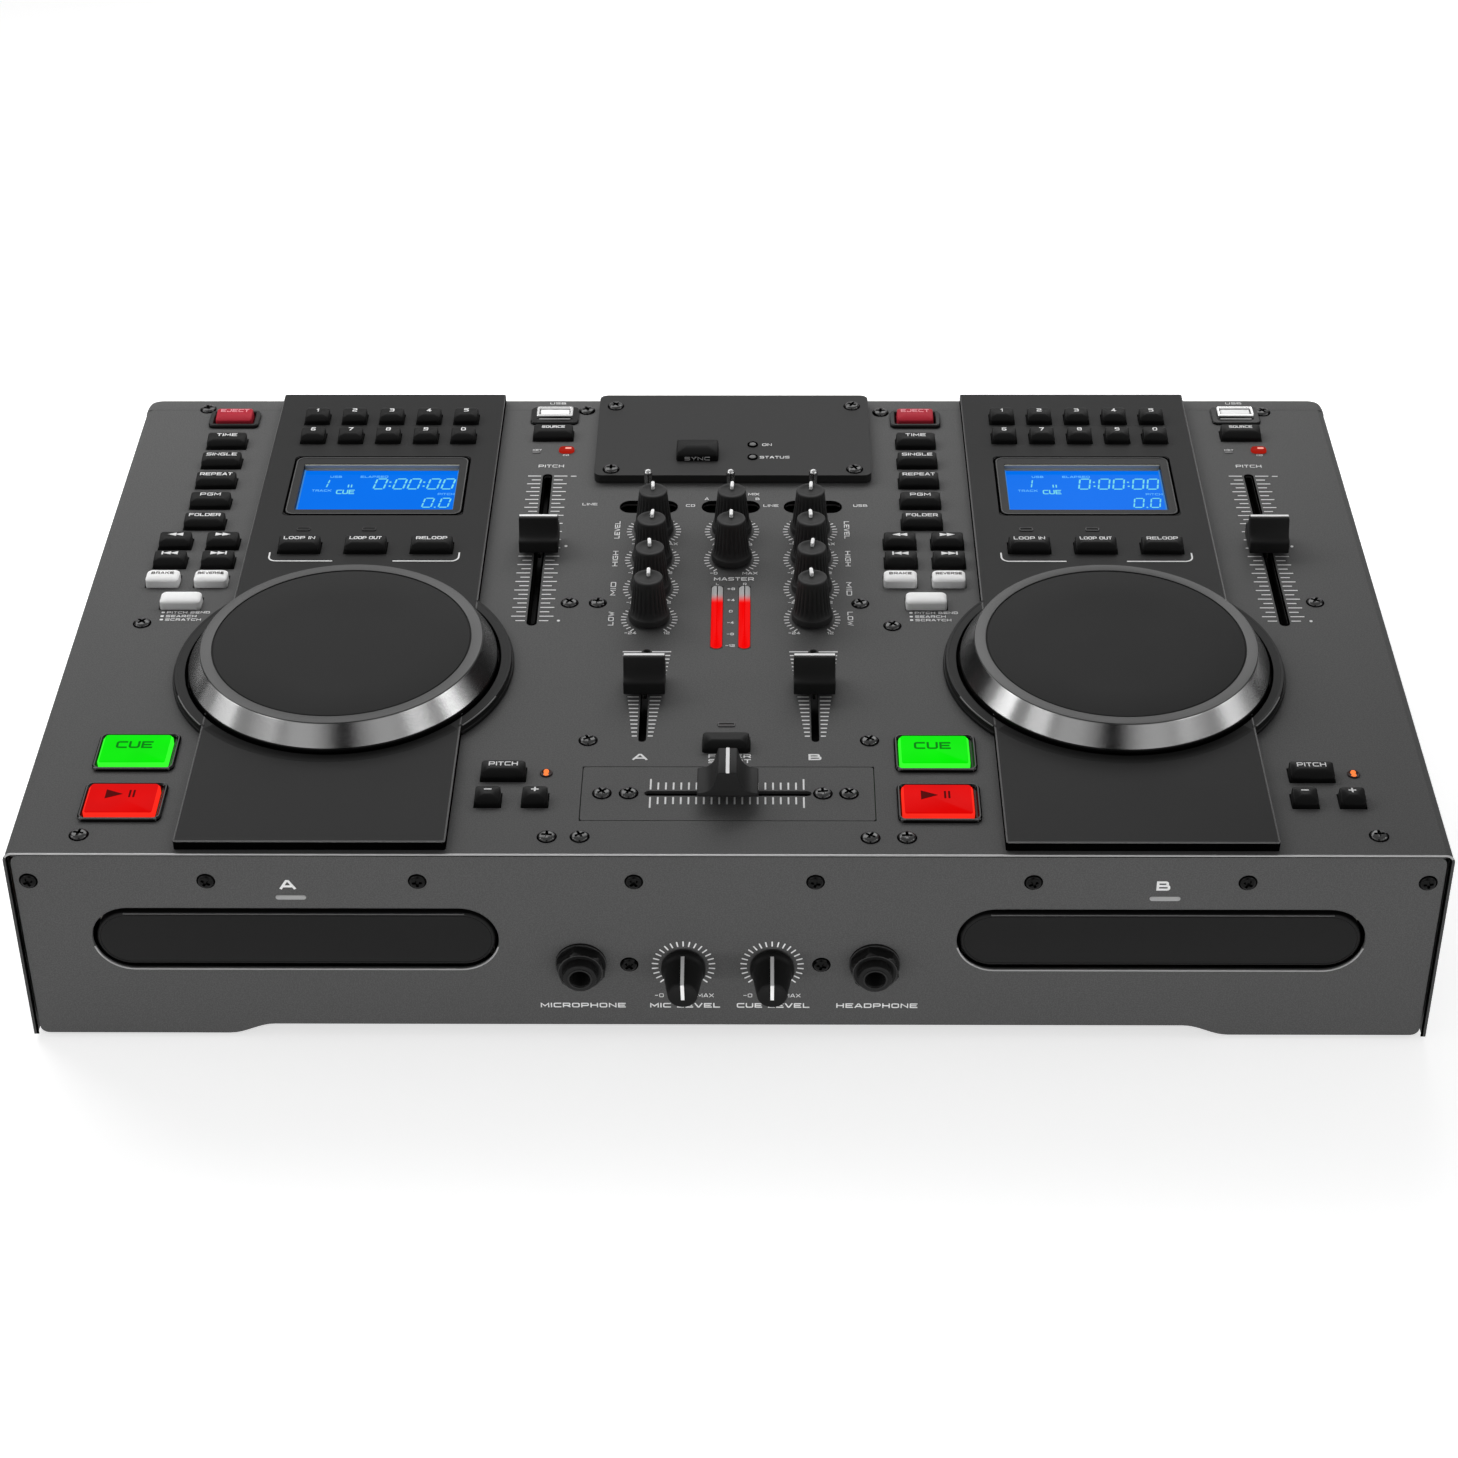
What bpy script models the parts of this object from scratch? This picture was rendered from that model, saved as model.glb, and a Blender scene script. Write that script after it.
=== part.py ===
"""A table-top player for two discs, with a small mixer between its decks.

Metres, +Z up. The origin is on the table under the middle of the whole object. +X is to the
right and the front panel faces -Y. Places across the deck are (x, y) with y counted back from
the front panel's face, and heights are counted from the deck's upper surface.
"""

import math

import bmesh
import bpy
from mathutils import Matrix, Vector

# Casing
CASE_WIDTH = 0.482
CASE_DEPTH = 0.300
DECK_HEIGHT = 0.0815
SHEET = 0.0012
BACK_CORNER_RADIUS = 0.007
TOP_EDGE_RADIUS = 0.003
FLOOR_CLEARANCE = 0.006
SKIRT_CLEARANCE = 0.0018

# Gaps between separate pieces
SEAT_GAP = 0.0003
HOLE_GAP = 0.0004
OVERRUN = 0.010
EMBED = 0.0004
WELD_DISTANCE = 0.0000005

# Round shapes
ROUND_SIDES = 20
JOG_SIDES = 64
HOLE_SIDES = 12
CORNER_STEPS = 4
END_STEPS = 12
EDGE_STEPS = 2
EVEN_PROFILE = 0.5
UPRIGHT_LIMIT = 0.5

# Front panel
FRONT_RECESS = 0.0008
FRONT_SIDE_GAP = 0.0010
FRONT_TOP_GAP = 0.0005
FRONT_CORNER_RADIUS = 0.003
ARCH_INSET = 0.084
ARCH_SLOPE_WIDTH = 0.016
ARCH_RISE = 0.0042

# Disc trays
TRAY_INSET = 0.0945
SLOT_WIDTH = 0.138
SLOT_HEIGHT = 0.0266
SLOT_DROP = 0.0372
DOOR_MARGIN = 0.0013
DOOR_THICKNESS = 0.004
DOOR_RECESS = 0.0016
TRAY_WIDTH = 0.1284
TRAY_THICKNESS = 0.009
TRAY_RAISE = 0.0026
TRAY_LENGTH = 0.172
TRAY_SIDE_WALL = 0.003
DISC_RADIUS = 0.060
DISC_CLEARANCE = 0.0006
DISC_RECESS = 0.0025
DISC_SETBACK = 0.0015
TRAY_FLOOR = 0.0015
SPINDLE_SLOT_HALF_WIDTH = 0.015

# Disc drives
DRIVE_WIDTH = 0.1335
DRIVE_LENGTH = 0.196
DRIVE_WALL = 0.0015
DRIVE_FRONT_GAP = 0.0009
DISC_HEADROOM = 0.0052
MOTOR_RADIUS = 0.013
MOTOR_HEIGHT = 0.007

# Chassis
FOOT_RADIUS = 0.009
FOOT_INSET = 0.046
FOOT_FRONT_Y = 0.027
FOOT_BACK_INSET = 0.025
CHASSIS_FRONT_Y = 0.0026
FLANGE_HEIGHT = 0.012
POST_RADIUS = 0.003
POST_OUTER_INSET = 0.0165
POST_INNER_X = 0.064
POST_FRONT_Y = 0.045
POST_BACK_INSET = 0.045
DRIVE_BOSS_RADIUS = 0.004
DRIVE_BOSS_INSET_X = 0.010
DRIVE_BOSS_INSET_Y = 0.030

# Control board, which carries every control on the deck
BOARD_SIDE_GAP = 0.012
BOARD_FRONT_Y = 0.010
BOARD_BACK_INSET = 0.009
BOARD_THICKNESS = 0.0016
BOARD_DROP = 0.0144
POT_HALF_WIDTH = 0.0045
POT_HEIGHT = 0.0065
SHAFT_RADIUS = 0.003
SHAFT_RISE = 0.012
SLIDER_BODY_HALF_WIDTH = 0.0045
SLIDER_BODY_DROP = 0.0074
SLIDER_BODY_MARGIN = 0.007
SWITCH_HALF_WIDTH = 0.0022

# Deck overlays and jog wheels
DECK_LEFT_INSET = 0.1022
DECK_RIGHT_INSET = 0.1032
PANEL_WIDTH = 0.0905
PANEL_FRONT_Y = 0.0022
PANEL_BACK_INSET = 0.0005
PANEL_RISE = 0.0035
PANEL_CORNER_RADIUS = 0.0008
JOG_Y = 0.1072
JOG_RING_RADIUS = 0.0603
JOG_RADIUS = 0.0554
JOG_WELL_GAP = 0.0006
JOG_RIM_RADIUS = 0.0504
JOG_TOP_RADIUS = 0.0462
JOG_TOP_RISE = 0.0125
JOG_TOP_RECESS = 0.0003
JOG_SKIRT_RISE = 0.0052
JOG_FLOOR_GAP = 0.0010
JOG_WALL = 0.0026
HUB_RADIUS = 0.010
HUB_DROP = 0.0062
HUB_HOLE_GAP = 0.0015
SPINDLE_RADIUS = 0.0043
SPINDLE_RISE = 0.0076
COLLAR_RADIUS = 0.008

# Displays
DISPLAY_Y = 0.2283
DISPLAY_WIDTH = 0.0693
DISPLAY_DEPTH = 0.0436
DISPLAY_CORNER_RADIUS = 0.002
WINDOW_Y = 0.2275
WINDOW_WIDTH = 0.0615
WINDOW_DEPTH = 0.0340
WINDOW_RECESS = 0.0028
DISPLAY_BODY_INSET = 0.0018
PANEL_OPENING_WIDTH = 0.080
PANEL_OPENING_FRONT_Y = 0.1725
PANEL_OPENING_BACK_Y = 0.2875

# Keys: a cap is high at its back edge and slopes down to the front
CAP_DEPTH = 0.0080
CAP_RISE = 0.0032
CAP_FRONT_SHARE = 0.42
CAP_CREST_SHARE = 0.52
CAP_SHOULDER_SHARES = (0.20, 0.78)
CAP_BACK_DROP_SHARE = 0.12
KEY_TRAVEL = 0.0008
WEB_GAP = 0.0004
WEB_THICKNESS = 0.0010
WEB_MARGIN = 0.0010

NUMBER_KEY_WIDTH = 0.0108
NUMBER_KEY_PITCH_X = 0.01505
NUMBER_KEY_FRONT_Y = 0.2600
NUMBER_KEY_PITCH_Y = 0.0151
NUMBER_KEY_COLUMNS = 5
NUMBER_KEY_ROWS = 2
LOOP_KEY_WIDTH = 0.0174
LOOP_KEY_PITCH_X = 0.0251
LOOP_KEY_FRONT_Y = 0.1787
LOOP_KEYS = 3

FUNCTION_X = -0.0647
FUNCTION_KEY_WIDTH = 0.0165
FUNCTION_KEY_FRONT_Y = 0.2008
FUNCTION_KEY_PITCH_Y = 0.01515
FUNCTION_KEYS = 5
SEARCH_KEY_WIDTH = 0.0136
SEARCH_KEY_SPREAD = 0.00905
SEARCH_KEY_FRONT_YS = (0.1867, 0.1735, 0.1607)
BEND_KEY_FRONT_Y = 0.1459
EJECT_X = -0.0642
EJECT_FRONT_Y = 0.2800
EJECT_WIDTH = 0.0156
EJECT_DEPTH = 0.0085
START_X = -0.0667
CUE_Y = 0.0560
PLAY_Y = 0.0277
START_KEY_WIDTH = 0.0244
START_KEY_DEPTH = 0.0175
START_KEY_RISE = 0.0022
START_KEY_BEVEL = 0.0006
SOURCE_X = 0.0662
SOURCE_FRONT_Y = 0.2678
SOURCE_WIDTH = 0.0168
PITCH_KEY_X = 0.0617
PITCH_KEY_FRONT_Y = 0.0399
PITCH_KEY_WIDTH = 0.0161
STEP_KEY_XS = (0.0574, 0.0734)
STEP_KEY_FRONT_Y = 0.0253
STEP_KEY_WIDTH = 0.0093

# Stick sockets for flash drives, standing on the control board
USB_X = 0.0660
USB_Y = 0.2875
USB_WIDTH = 0.0135
USB_DEPTH = 0.0060
USB_WALL = 0.0004
USB_FLOOR = 0.0015
USB_RISE = 0.0008

# Faders
FADER_SLOT_WIDTH = 0.0028
FADER_STEM_WIDTH = 0.0014
FADER_STEM_LENGTH = 0.0050
FADER_CAP_WIDTH = 0.0148
FADER_CAP_LENGTH = 0.0148
FADER_CAP_TOP = 0.0140
FADER_CAP_BOTTOM = 0.0020
FADER_RIDGE_SHARE = 0.16
FADER_WAIST_SHARES = (0.52, 0.62)
FADER_SADDLE_SHARES = (0.80, 0.46)
FADER_FOOT_SHARE = 0.40
PITCH_FADER_X = 0.0656
PITCH_SLOT_MID_Y = 0.1890
PITCH_SLOT_LENGTH = 0.1060
CHANNEL_X = 0.0302
CHANNEL_SLOT_MID_Y = 0.0917
CHANNEL_SLOT_LENGTH = 0.0570
CHANNEL_REST_Y = 0.0962
CROSS_Y = 0.0335
CROSS_SLOT_LENGTH = 0.0570
CROSS_CAP_LENGTH = 0.0208
CROSS_PLATE_WIDTH = 0.0996
CROSS_PLATE_DEPTH = 0.0300
CROSS_PLATE_CORNER_RADIUS = 0.001

# Mixer knobs
KNOB_XS = (-0.0300, 0.0300)
KNOB_YS = (0.2004, 0.1802, 0.1600, 0.1398)
MIDDLE_KNOB_YS = (0.2004, 0.1802)
KNOB_SKIRT_RADIUS = 0.0077
KNOB_SKIRT_RISE = 0.0032
KNOB_BODY_RADIUS = 0.0069
KNOB_TOP_RADIUS = 0.0054
KNOB_TOP_EDGE = 0.0006
KNOB_HEIGHT = 0.0185
KNOB_DECK_GAP = 0.0008
KNOB_BORE_GAP = 0.0003
FRONT_KNOB_X = 0.0151
FRONT_KNOB_DROP = 0.0490
FRONT_KNOB_HEIGHT = 0.0158
FRONT_KNOB_SKIRT_RADIUS = 0.0081
FRONT_KNOB_TOP_RADIUS = 0.0060
FRONT_SHAFT_REACH = 0.010
FRONT_BOARD_SETBACK = 0.0120
FRONT_BOARD_HALF_WIDTH = 0.031
FRONT_BOARD_HALF_HEIGHT = 0.011
BUSHING_RADIUS = 0.0035

# Toggle levers
TOGGLE_XS = (-0.0325, -0.0006, 0.0313)
TOGGLE_Y = 0.2180
TOGGLE_SLOT_LENGTH = 0.0222
TOGGLE_SLOT_WIDTH = 0.0058
TOGGLE_PIVOT_DROP = 0.0070
TOGGLE_BALL_RADIUS = 0.0025
TOGGLE_STICK_RADIUS = 0.0012
TOGGLE_TIP_RADIUS = 0.0018
TOGGLE_HEIGHT = 0.0170
TOGGLE_TIP_SHARE = 0.72
TOGGLE_SIDES = 12
TOGGLE_BODY_HALF_WIDTH = 0.0035
TOGGLE_BODY_HALF_LENGTH = 0.0060

# Plate behind the mixer, with its pairing key
PLATE_HALF_WIDTH = 0.0546
PLATE_FRONT_Y = 0.2355
PLATE_BACK_Y = 0.2985
PLATE_RISE = 0.0038
PLATE_CORNER_RADIUS = 0.003
PAIRING_X = -0.0141
PAIRING_FRONT_Y = 0.2465
PAIRING_WIDTH = 0.0154
PAIRING_DEPTH = 0.0100
PAIRING_RISE = 0.0040

# Start key between the channel faders, and the level meter's window
START_ALL_X = -0.0008
START_ALL_FRONT_Y = 0.0575
START_ALL_WIDTH = 0.0160
METER_X = 0.0051
METER_BAR_WIDTH = 0.0046
METER_FRONT_Y = 0.1210
METER_BACK_Y = 0.1618

# Sockets in the front panel
JACK_X = 0.0500
JACK_DROP = 0.0478
JACK_NUT_RADIUS = 0.0089
JACK_NUT_THICKNESS = 0.0042
JACK_BUSH_RADIUS = 0.0060
JACK_REACH = 0.0085
JACK_BORE_RADIUS = 0.0034
JACK_BORE_DEPTH = 0.032
JACK_BODY_HALF_WIDTH = 0.0085
JACK_BODY_LENGTH = 0.026
JACK_THREAD_RADIUS = 0.0048
NUT_SIDES = 6

# Rear sockets
PHONO_PLATE_INSET = 0.131
PHONO_PLATE_WIDTH = 0.078
PHONO_PLATE_HEIGHT = 0.034
PHONO_PLATE_THICKNESS = 0.0020
PHONO_Z = 0.040
PHONO_COLUMNS = 4
PHONO_ROWS = 2
PHONO_PITCH_X = 0.018
PHONO_PITCH_Z = 0.0155
PHONO_RADIUS = 0.0042
PHONO_BORE_RADIUS = 0.0017
PHONO_REACH = 0.0090
PHONO_BORE_DEPTH = 0.0120

# Mains inlet, switch and power supply
INLET_INSET = 0.063
SWITCH_INSET = 0.103
POWER_Z = 0.040
INLET_WIDTH = 0.0244
INLET_HEIGHT = 0.0168
INLET_DEPTH = 0.016
INLET_WALL = 0.0018
INLET_FLANGE_WIDTH = 0.082
INLET_FLANGE_HEIGHT = 0.030
INLET_FLANGE_INSET = 0.081
FLANGE_THICKNESS = 0.0018
PIN_WIDTH = 0.0020
PIN_HEIGHT = 0.0040
PIN_LENGTH = 0.0135
PIN_PITCH_X = 0.0070
PIN_RAISE = 0.0012
EARTH_RAISE = 0.0040
ROCKER_WIDTH = 0.0125
ROCKER_HEIGHT = 0.0190
ROCKER_PROUD = 0.0035
ROCKER_DEPTH = 0.0060
ROCKER_CUP_DEPTH = 0.0125
ROCKER_CUP_GAP = 0.0020
ROCKER_NECK = 0.0020
ROCKER_NECK_GAP = 0.0004
ROCKER_TILT = math.radians(6)
SUPPLY_LENGTH = 0.078
SUPPLY_BOARD_Z = 0.0190
SUPPLY_BOARD_THICKNESS = 0.0016
COIL_BLOCK_WIDTH = 0.034
COIL_BLOCK_LENGTH = 0.030
COIL_BLOCK_HEIGHT = 0.026
COIL_BLOCK_INSET = 0.008
SUPPLY_POST_INSET = 0.006

FRONT_REACH = FRONT_KNOB_HEIGHT - FRONT_RECESS
REAR_REACH = PHONO_REACH
FRONT_Y = FRONT_REACH - (CASE_DEPTH + FRONT_REACH + REAR_REACH) / 2
BACK_Y = FRONT_Y + CASE_DEPTH
DECK = DECK_HEIGHT
UNDER_DECK = DECK - SHEET
PANEL_TOP = DECK + PANEL_RISE
PLATE_TOP = DECK + PLATE_RISE
BOARD_TOP = DECK - BOARD_DROP
BOARD_BOTTOM = BOARD_TOP - BOARD_THICKNESS
WEB_TOP = UNDER_DECK - WEB_GAP
WEB_BOTTOM = WEB_TOP - WEB_THICKNESS
SWITCH_TOP = WEB_BOTTOM - KEY_TRAVEL - SEAT_GAP
BASE_TOP = FLOOR_CLEARANCE + SHEET
HALF_WIDTH = CASE_WIDTH / 2
INNER_HALF_WIDTH = HALF_WIDTH - SHEET
ARCH_HALF_WIDTH = HALF_WIDTH - ARCH_INSET
FOOT_X = HALF_WIDTH - FOOT_INSET
FOOT_BACK_Y = CASE_DEPTH - FOOT_BACK_INSET
POST_BACK_Y = CASE_DEPTH - POST_BACK_INSET
BOARD_BACK_Y = CASE_DEPTH - BOARD_BACK_INSET
PANEL_BACK_Y = CASE_DEPTH - PANEL_BACK_INSET
POST_OUTER_X = HALF_WIDTH - POST_OUTER_INSET
BOARD_HALF_WIDTH = HALF_WIDTH - BOARD_SIDE_GAP
TRAY_X = HALF_WIDTH - TRAY_INSET
PHONO_PLATE_X = PHONO_PLATE_INSET - HALF_WIDTH
INLET_X = HALF_WIDTH - INLET_INSET
SWITCH_X = HALF_WIDTH - SWITCH_INSET
INLET_FLANGE_MID_X = HALF_WIDTH - INLET_FLANGE_INSET
PANEL_FACE_Y = FRONT_Y + FRONT_RECESS
PANEL_REAR_Y = PANEL_FACE_Y + SHEET
SLOT_Z = DECK - SLOT_DROP
DOOR_Y = FRONT_Y + DOOR_RECESS
DOOR_WIDTH = SLOT_WIDTH - 2 * DOOR_MARGIN
DOOR_HEIGHT = SLOT_HEIGHT - 2 * DOOR_MARGIN
TRAY_Y = DOOR_Y + DOOR_THICKNESS
TRAY_BOTTOM = SLOT_Z - DOOR_HEIGHT / 2 + TRAY_RAISE
TRAY_TOP = TRAY_BOTTOM + TRAY_THICKNESS
DISC_Y = TRAY_Y + DISC_SETBACK + DISC_RADIUS + DISC_CLEARANCE
DRIVE_Y = TRAY_Y + DRIVE_FRONT_GAP
DRIVE_BOTTOM = TRAY_BOTTOM - SEAT_GAP - DRIVE_WALL
CHANNEL_TOP = TRAY_TOP + DISC_HEADROOM
DRIVE_TOP = CHANNEL_TOP + DRIVE_WALL
DECKS = (("left", DECK_LEFT_INSET - HALF_WIDTH), ("right", HALF_WIDTH - DECK_RIGHT_INSET))
SIDES = (("left", -1), ("right", 1))

parts = bpy.data.collections.new("disc_player")
cutters = bpy.data.collections.new("cutters")


def clear_scene():
    for old in list(bpy.data.objects):
        bpy.data.objects.remove(old, do_unlink=True)
    for collection in (parts, cutters):
        bpy.context.scene.collection.children.link(collection)
    cutters.hide_render = True


def material(name, colour, roughness, metallic=0.0, glow=0.0):
    made = bpy.data.materials.new(name)
    made.use_nodes = True
    shader = made.node_tree.nodes["Principled BSDF"]
    shader.inputs["Base Color"].default_value = (*colour, 1.0)
    shader.inputs["Roughness"].default_value = roughness
    shader.inputs["Metallic"].default_value = metallic
    if glow:
        shader.inputs["Emission Color"].default_value = (*colour, 1.0)
        shader.inputs["Emission Strength"].default_value = glow
    return made


# Solids, each made as a closed mesh in place


def mesh_of(shape, name):
    bmesh.ops.recalc_face_normals(shape, faces=shape.faces)
    mesh = bpy.data.meshes.new(name)
    shape.to_mesh(mesh)
    shape.free()
    return mesh


def block(low, high, bevel=0.0):
    """A box from one corner to the other, with its edges rounded by bevel."""
    low = Vector(low)
    high = Vector(high)
    size = high - low
    shape = bmesh.new()
    bmesh.ops.create_cube(shape, size=1)
    bmesh.ops.scale(shape, vec=size, verts=shape.verts)
    bmesh.ops.translate(shape, vec=(low + high) / 2, verts=shape.verts)
    if bevel:
        bmesh.ops.bevel(shape, geom=shape.edges[:], offset=bevel, segments=1, affect="EDGES")
    return mesh_of(shape, "block")


AXIS_TURNS = {
    "Z": Matrix.Identity(4),
    "X": Matrix(((0, 0, 1, 0), (1, 0, 0, 0), (0, 1, 0, 0), (0, 0, 0, 1))),
    "Y": Matrix(((1, 0, 0, 0), (0, 0, -1, 0), (0, 1, 0, 0), (0, 0, 0, 1))),
}


def along(axis, value):
    """The point at this value on an axis."""
    return Vector((value * (axis == "X"), value * (axis == "Y"), value * (axis == "Z")))


def rod(centre, radius, low, high, axis="Z", sides=ROUND_SIDES, top_radius=None):
    """A cylinder or cone along an axis from low to high; centre is its place across the axis."""
    shape = bmesh.new()
    bmesh.ops.create_cone(
        shape,
        cap_ends=True,
        segments=sides,
        radius1=radius,
        radius2=radius if top_radius is None else top_radius,
        depth=high - low,
    )
    turn = AXIS_TURNS[axis]
    place = turn @ Vector((*centre, 0)) + along(axis, (low + high) / 2)
    bmesh.ops.transform(shape, matrix=Matrix.Translation(place) @ turn, verts=shape.verts)
    return mesh_of(shape, "rod")


def prism(points, low, high, axis="Z"):
    """A flat outline extruded along an axis. The outline's plane is XY, YZ or XZ."""
    curve = bpy.data.curves.new("outline", "CURVE")
    curve.dimensions = "2D"
    curve.fill_mode = "BOTH"
    curve.extrude = (high - low) / 2
    spline = curve.splines.new("POLY")
    spline.points.add(len(points) - 1)
    for point, (u, v) in zip(spline.points, points):
        point.co = (u, v, 0, 1)
    spline.use_cyclic_u = True
    guide = bpy.data.objects.new("outline", curve)
    bpy.context.scene.collection.objects.link(guide)
    graph = bpy.context.evaluated_depsgraph_get()
    flat = bpy.data.meshes.new_from_object(guide.evaluated_get(graph))
    bpy.data.objects.remove(guide)
    shape = bmesh.new()
    shape.from_mesh(flat)
    bpy.data.meshes.remove(flat)
    bmesh.ops.remove_doubles(shape, verts=shape.verts, dist=WELD_DISTANCE)
    place = Matrix.Translation(along(axis, (low + high) / 2))
    bmesh.ops.transform(shape, matrix=place @ AXIS_TURNS[axis], verts=shape.verts)
    return mesh_of(shape, "prism")


def turned(profile, centre, axis="Z", sides=ROUND_SIDES):
    """A profile of (radius, height) turned round an axis through centre."""
    line = bpy.data.meshes.new("profile")
    line.from_pydata([(r, 0, z) for r, z in profile], [(i, i + 1) for i in range(len(profile) - 1)], [])
    guide = bpy.data.objects.new("profile", line)
    bpy.context.scene.collection.objects.link(guide)
    screw = guide.modifiers.new("turn", "SCREW")
    screw.steps = sides
    screw.render_steps = sides
    screw.use_merge_vertices = True
    screw.merge_threshold = WELD_DISTANCE
    graph = bpy.context.evaluated_depsgraph_get()
    raw = bpy.data.meshes.new_from_object(guide.evaluated_get(graph))
    bpy.data.objects.remove(guide)
    shape = bmesh.new()
    shape.from_mesh(raw)
    bpy.data.meshes.remove(raw)
    bmesh.ops.remove_doubles(shape, verts=shape.verts, dist=WELD_DISTANCE)
    place = Matrix.Translation(Vector(centre))
    bmesh.ops.transform(shape, matrix=place @ AXIS_TURNS[axis], verts=shape.verts)
    return mesh_of(shape, "turned")


def rounded(low, high, radius, steps=CORNER_STEPS):
    """The outline of a rectangle with round corners."""
    corners = (
        (high[0] - radius, high[1] - radius, 0),
        (low[0] + radius, high[1] - radius, 1),
        (low[0] + radius, low[1] + radius, 2),
        (high[0] - radius, low[1] + radius, 3),
    )
    points = []
    for u, v, quarter in corners:
        for step in range(steps + 1):
            angle = (quarter + step / steps) * math.pi / 2
            points.append((u + radius * math.cos(angle), v + radius * math.sin(angle)))
    return points


def slot(centre, length, width, lengthwise=0, steps=CORNER_STEPS):
    """The outline of a slot with round ends, its length along the first or second direction."""
    half = (length / 2, width / 2) if lengthwise == 0 else (width / 2, length / 2)
    low = (centre[0] - half[0], centre[1] - half[1])
    high = (centre[0] + half[0], centre[1] + half[1])
    # A hair off half the width keeps the end arcs from meeting in doubled points.
    return rounded(low, high, width / 2 * 0.99, steps)


def joined(meshes):
    shape = bmesh.new()
    for mesh in meshes:
        shape.from_mesh(mesh)
        bpy.data.meshes.remove(mesh)
    return mesh_of(shape, "joined")


def combine(owner, operation, meshes):
    """Adds a Boolean to the owner, with these meshes as its hidden operand."""
    tool = bpy.data.objects.new(f"{owner.name}_{operation.lower()}", joined(meshes))
    tool.hide_render = True
    tool.display_type = "WIRE"
    cutters.objects.link(tool)
    step = owner.modifiers.new(operation.lower(), "BOOLEAN")
    step.operation = operation
    step.solver = "EXACT"
    step.object = tool
    return step


def part(name, finish, solids, cuts=(), pivot=(0, 0, 0)):
    """One sub-part: its first solid, joined with the others and then cut. Its origin is at pivot."""
    mesh = solids[0]
    mesh.name = name
    mesh.transform(Matrix.Translation(-Vector(pivot)))
    mesh.shade_smooth()
    mesh.set_sharp_from_angle(angle=math.radians(30))
    mesh.materials.append(finish)
    made = bpy.data.objects.new(name, mesh)
    made.location = pivot
    parts.objects.link(made)
    if len(solids) > 1:
        combine(made, "UNION", solids[1:])
    for group in cuts:
        if group:
            # Openings may run into each other when a size changes.
            combine(made, "DIFFERENCE", group).use_self = True
    return made


def at(y):
    """A distance back from the front panel's plane, as a world Y."""
    return FRONT_Y + y


def opening(x, front_y, width, depth, gap=HOLE_GAP, low=UNDER_DECK, high=DECK):
    """A cutter for a key of this width and depth, whose front edge is at front_y."""
    half = width / 2 + gap
    return block(
        (x - half, at(front_y) - gap, low - OVERRUN),
        (x + half, at(front_y) + depth + gap, high + OVERRUN),
    )


# Keys


def cap(x, front_y, width, seat, depth=CAP_DEPTH, rise=CAP_RISE):
    """A key cap that stands on its web and rises above the surface called seat."""
    shoulder_in, shoulder_up = CAP_SHOULDER_SHARES
    front = at(front_y)
    outline = (
        (front, WEB_TOP - EMBED),
        (front + depth, WEB_TOP - EMBED),
        (front + depth, seat + rise * (1 - CAP_BACK_DROP_SHARE)),
        (front + depth * (1 - CAP_BACK_DROP_SHARE / 2), seat + rise),
        (front + depth * CAP_CREST_SHARE, seat + rise),
        (front + depth * shoulder_in, seat + rise * shoulder_up),
        (front, seat + rise * CAP_FRONT_SHARE),
    )
    return prism(outline, x - width / 2, x + width / 2, "X")


def web(places):
    """The thin moulding under the deck that carries a group of caps."""
    low_x = min(x - width / 2 for x, _, width, _ in places) - WEB_MARGIN
    high_x = max(x + width / 2 for x, _, width, _ in places) + WEB_MARGIN
    low_y = min(at(y) for _, y, _, _ in places) - WEB_MARGIN
    high_y = max(at(y) + depth for _, y, _, depth in places) + WEB_MARGIN
    return block((low_x, low_y, WEB_BOTTOM), (high_x, high_y, WEB_TOP))


def number_keys(deck_x):
    middle = (NUMBER_KEY_COLUMNS - 1) / 2
    return [
        (
            deck_x + (column - middle) * NUMBER_KEY_PITCH_X,
            NUMBER_KEY_FRONT_Y + row * NUMBER_KEY_PITCH_Y,
            NUMBER_KEY_WIDTH,
            CAP_DEPTH,
        )
        for row in range(NUMBER_KEY_ROWS)
        for column in range(NUMBER_KEY_COLUMNS)
    ]


def loop_keys(deck_x):
    middle = (LOOP_KEYS - 1) / 2
    return [
        (deck_x + (i - middle) * LOOP_KEY_PITCH_X, LOOP_KEY_FRONT_Y, LOOP_KEY_WIDTH, CAP_DEPTH)
        for i in range(LOOP_KEYS)
    ]


def function_keys(deck_x):
    x = deck_x + FUNCTION_X
    keys = [
        (x, FUNCTION_KEY_FRONT_Y + i * FUNCTION_KEY_PITCH_Y, FUNCTION_KEY_WIDTH, CAP_DEPTH)
        for i in range(FUNCTION_KEYS)
    ]
    for front_y in SEARCH_KEY_FRONT_YS:
        for side in (-1, 1):
            keys.append((x + side * SEARCH_KEY_SPREAD, front_y, SEARCH_KEY_WIDTH, CAP_DEPTH))
    keys.append((x, BEND_KEY_FRONT_Y, FUNCTION_KEY_WIDTH, CAP_DEPTH))
    return keys


def eject_key(deck_x):
    return [(deck_x + EJECT_X, EJECT_FRONT_Y, EJECT_WIDTH, EJECT_DEPTH)]


def source_key(deck_x):
    return [(deck_x + SOURCE_X, SOURCE_FRONT_Y, SOURCE_WIDTH, CAP_DEPTH)]


def pitch_keys(deck_x):
    keys = [(deck_x + PITCH_KEY_X, PITCH_KEY_FRONT_Y, PITCH_KEY_WIDTH, CAP_DEPTH)]
    for x in STEP_KEY_XS:
        keys.append((deck_x + x, STEP_KEY_FRONT_Y, STEP_KEY_WIDTH, CAP_DEPTH))
    return keys


def start_key(deck_x, middle_y):
    return [(deck_x + START_X, middle_y - START_KEY_DEPTH / 2, START_KEY_WIDTH, START_KEY_DEPTH)]


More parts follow.
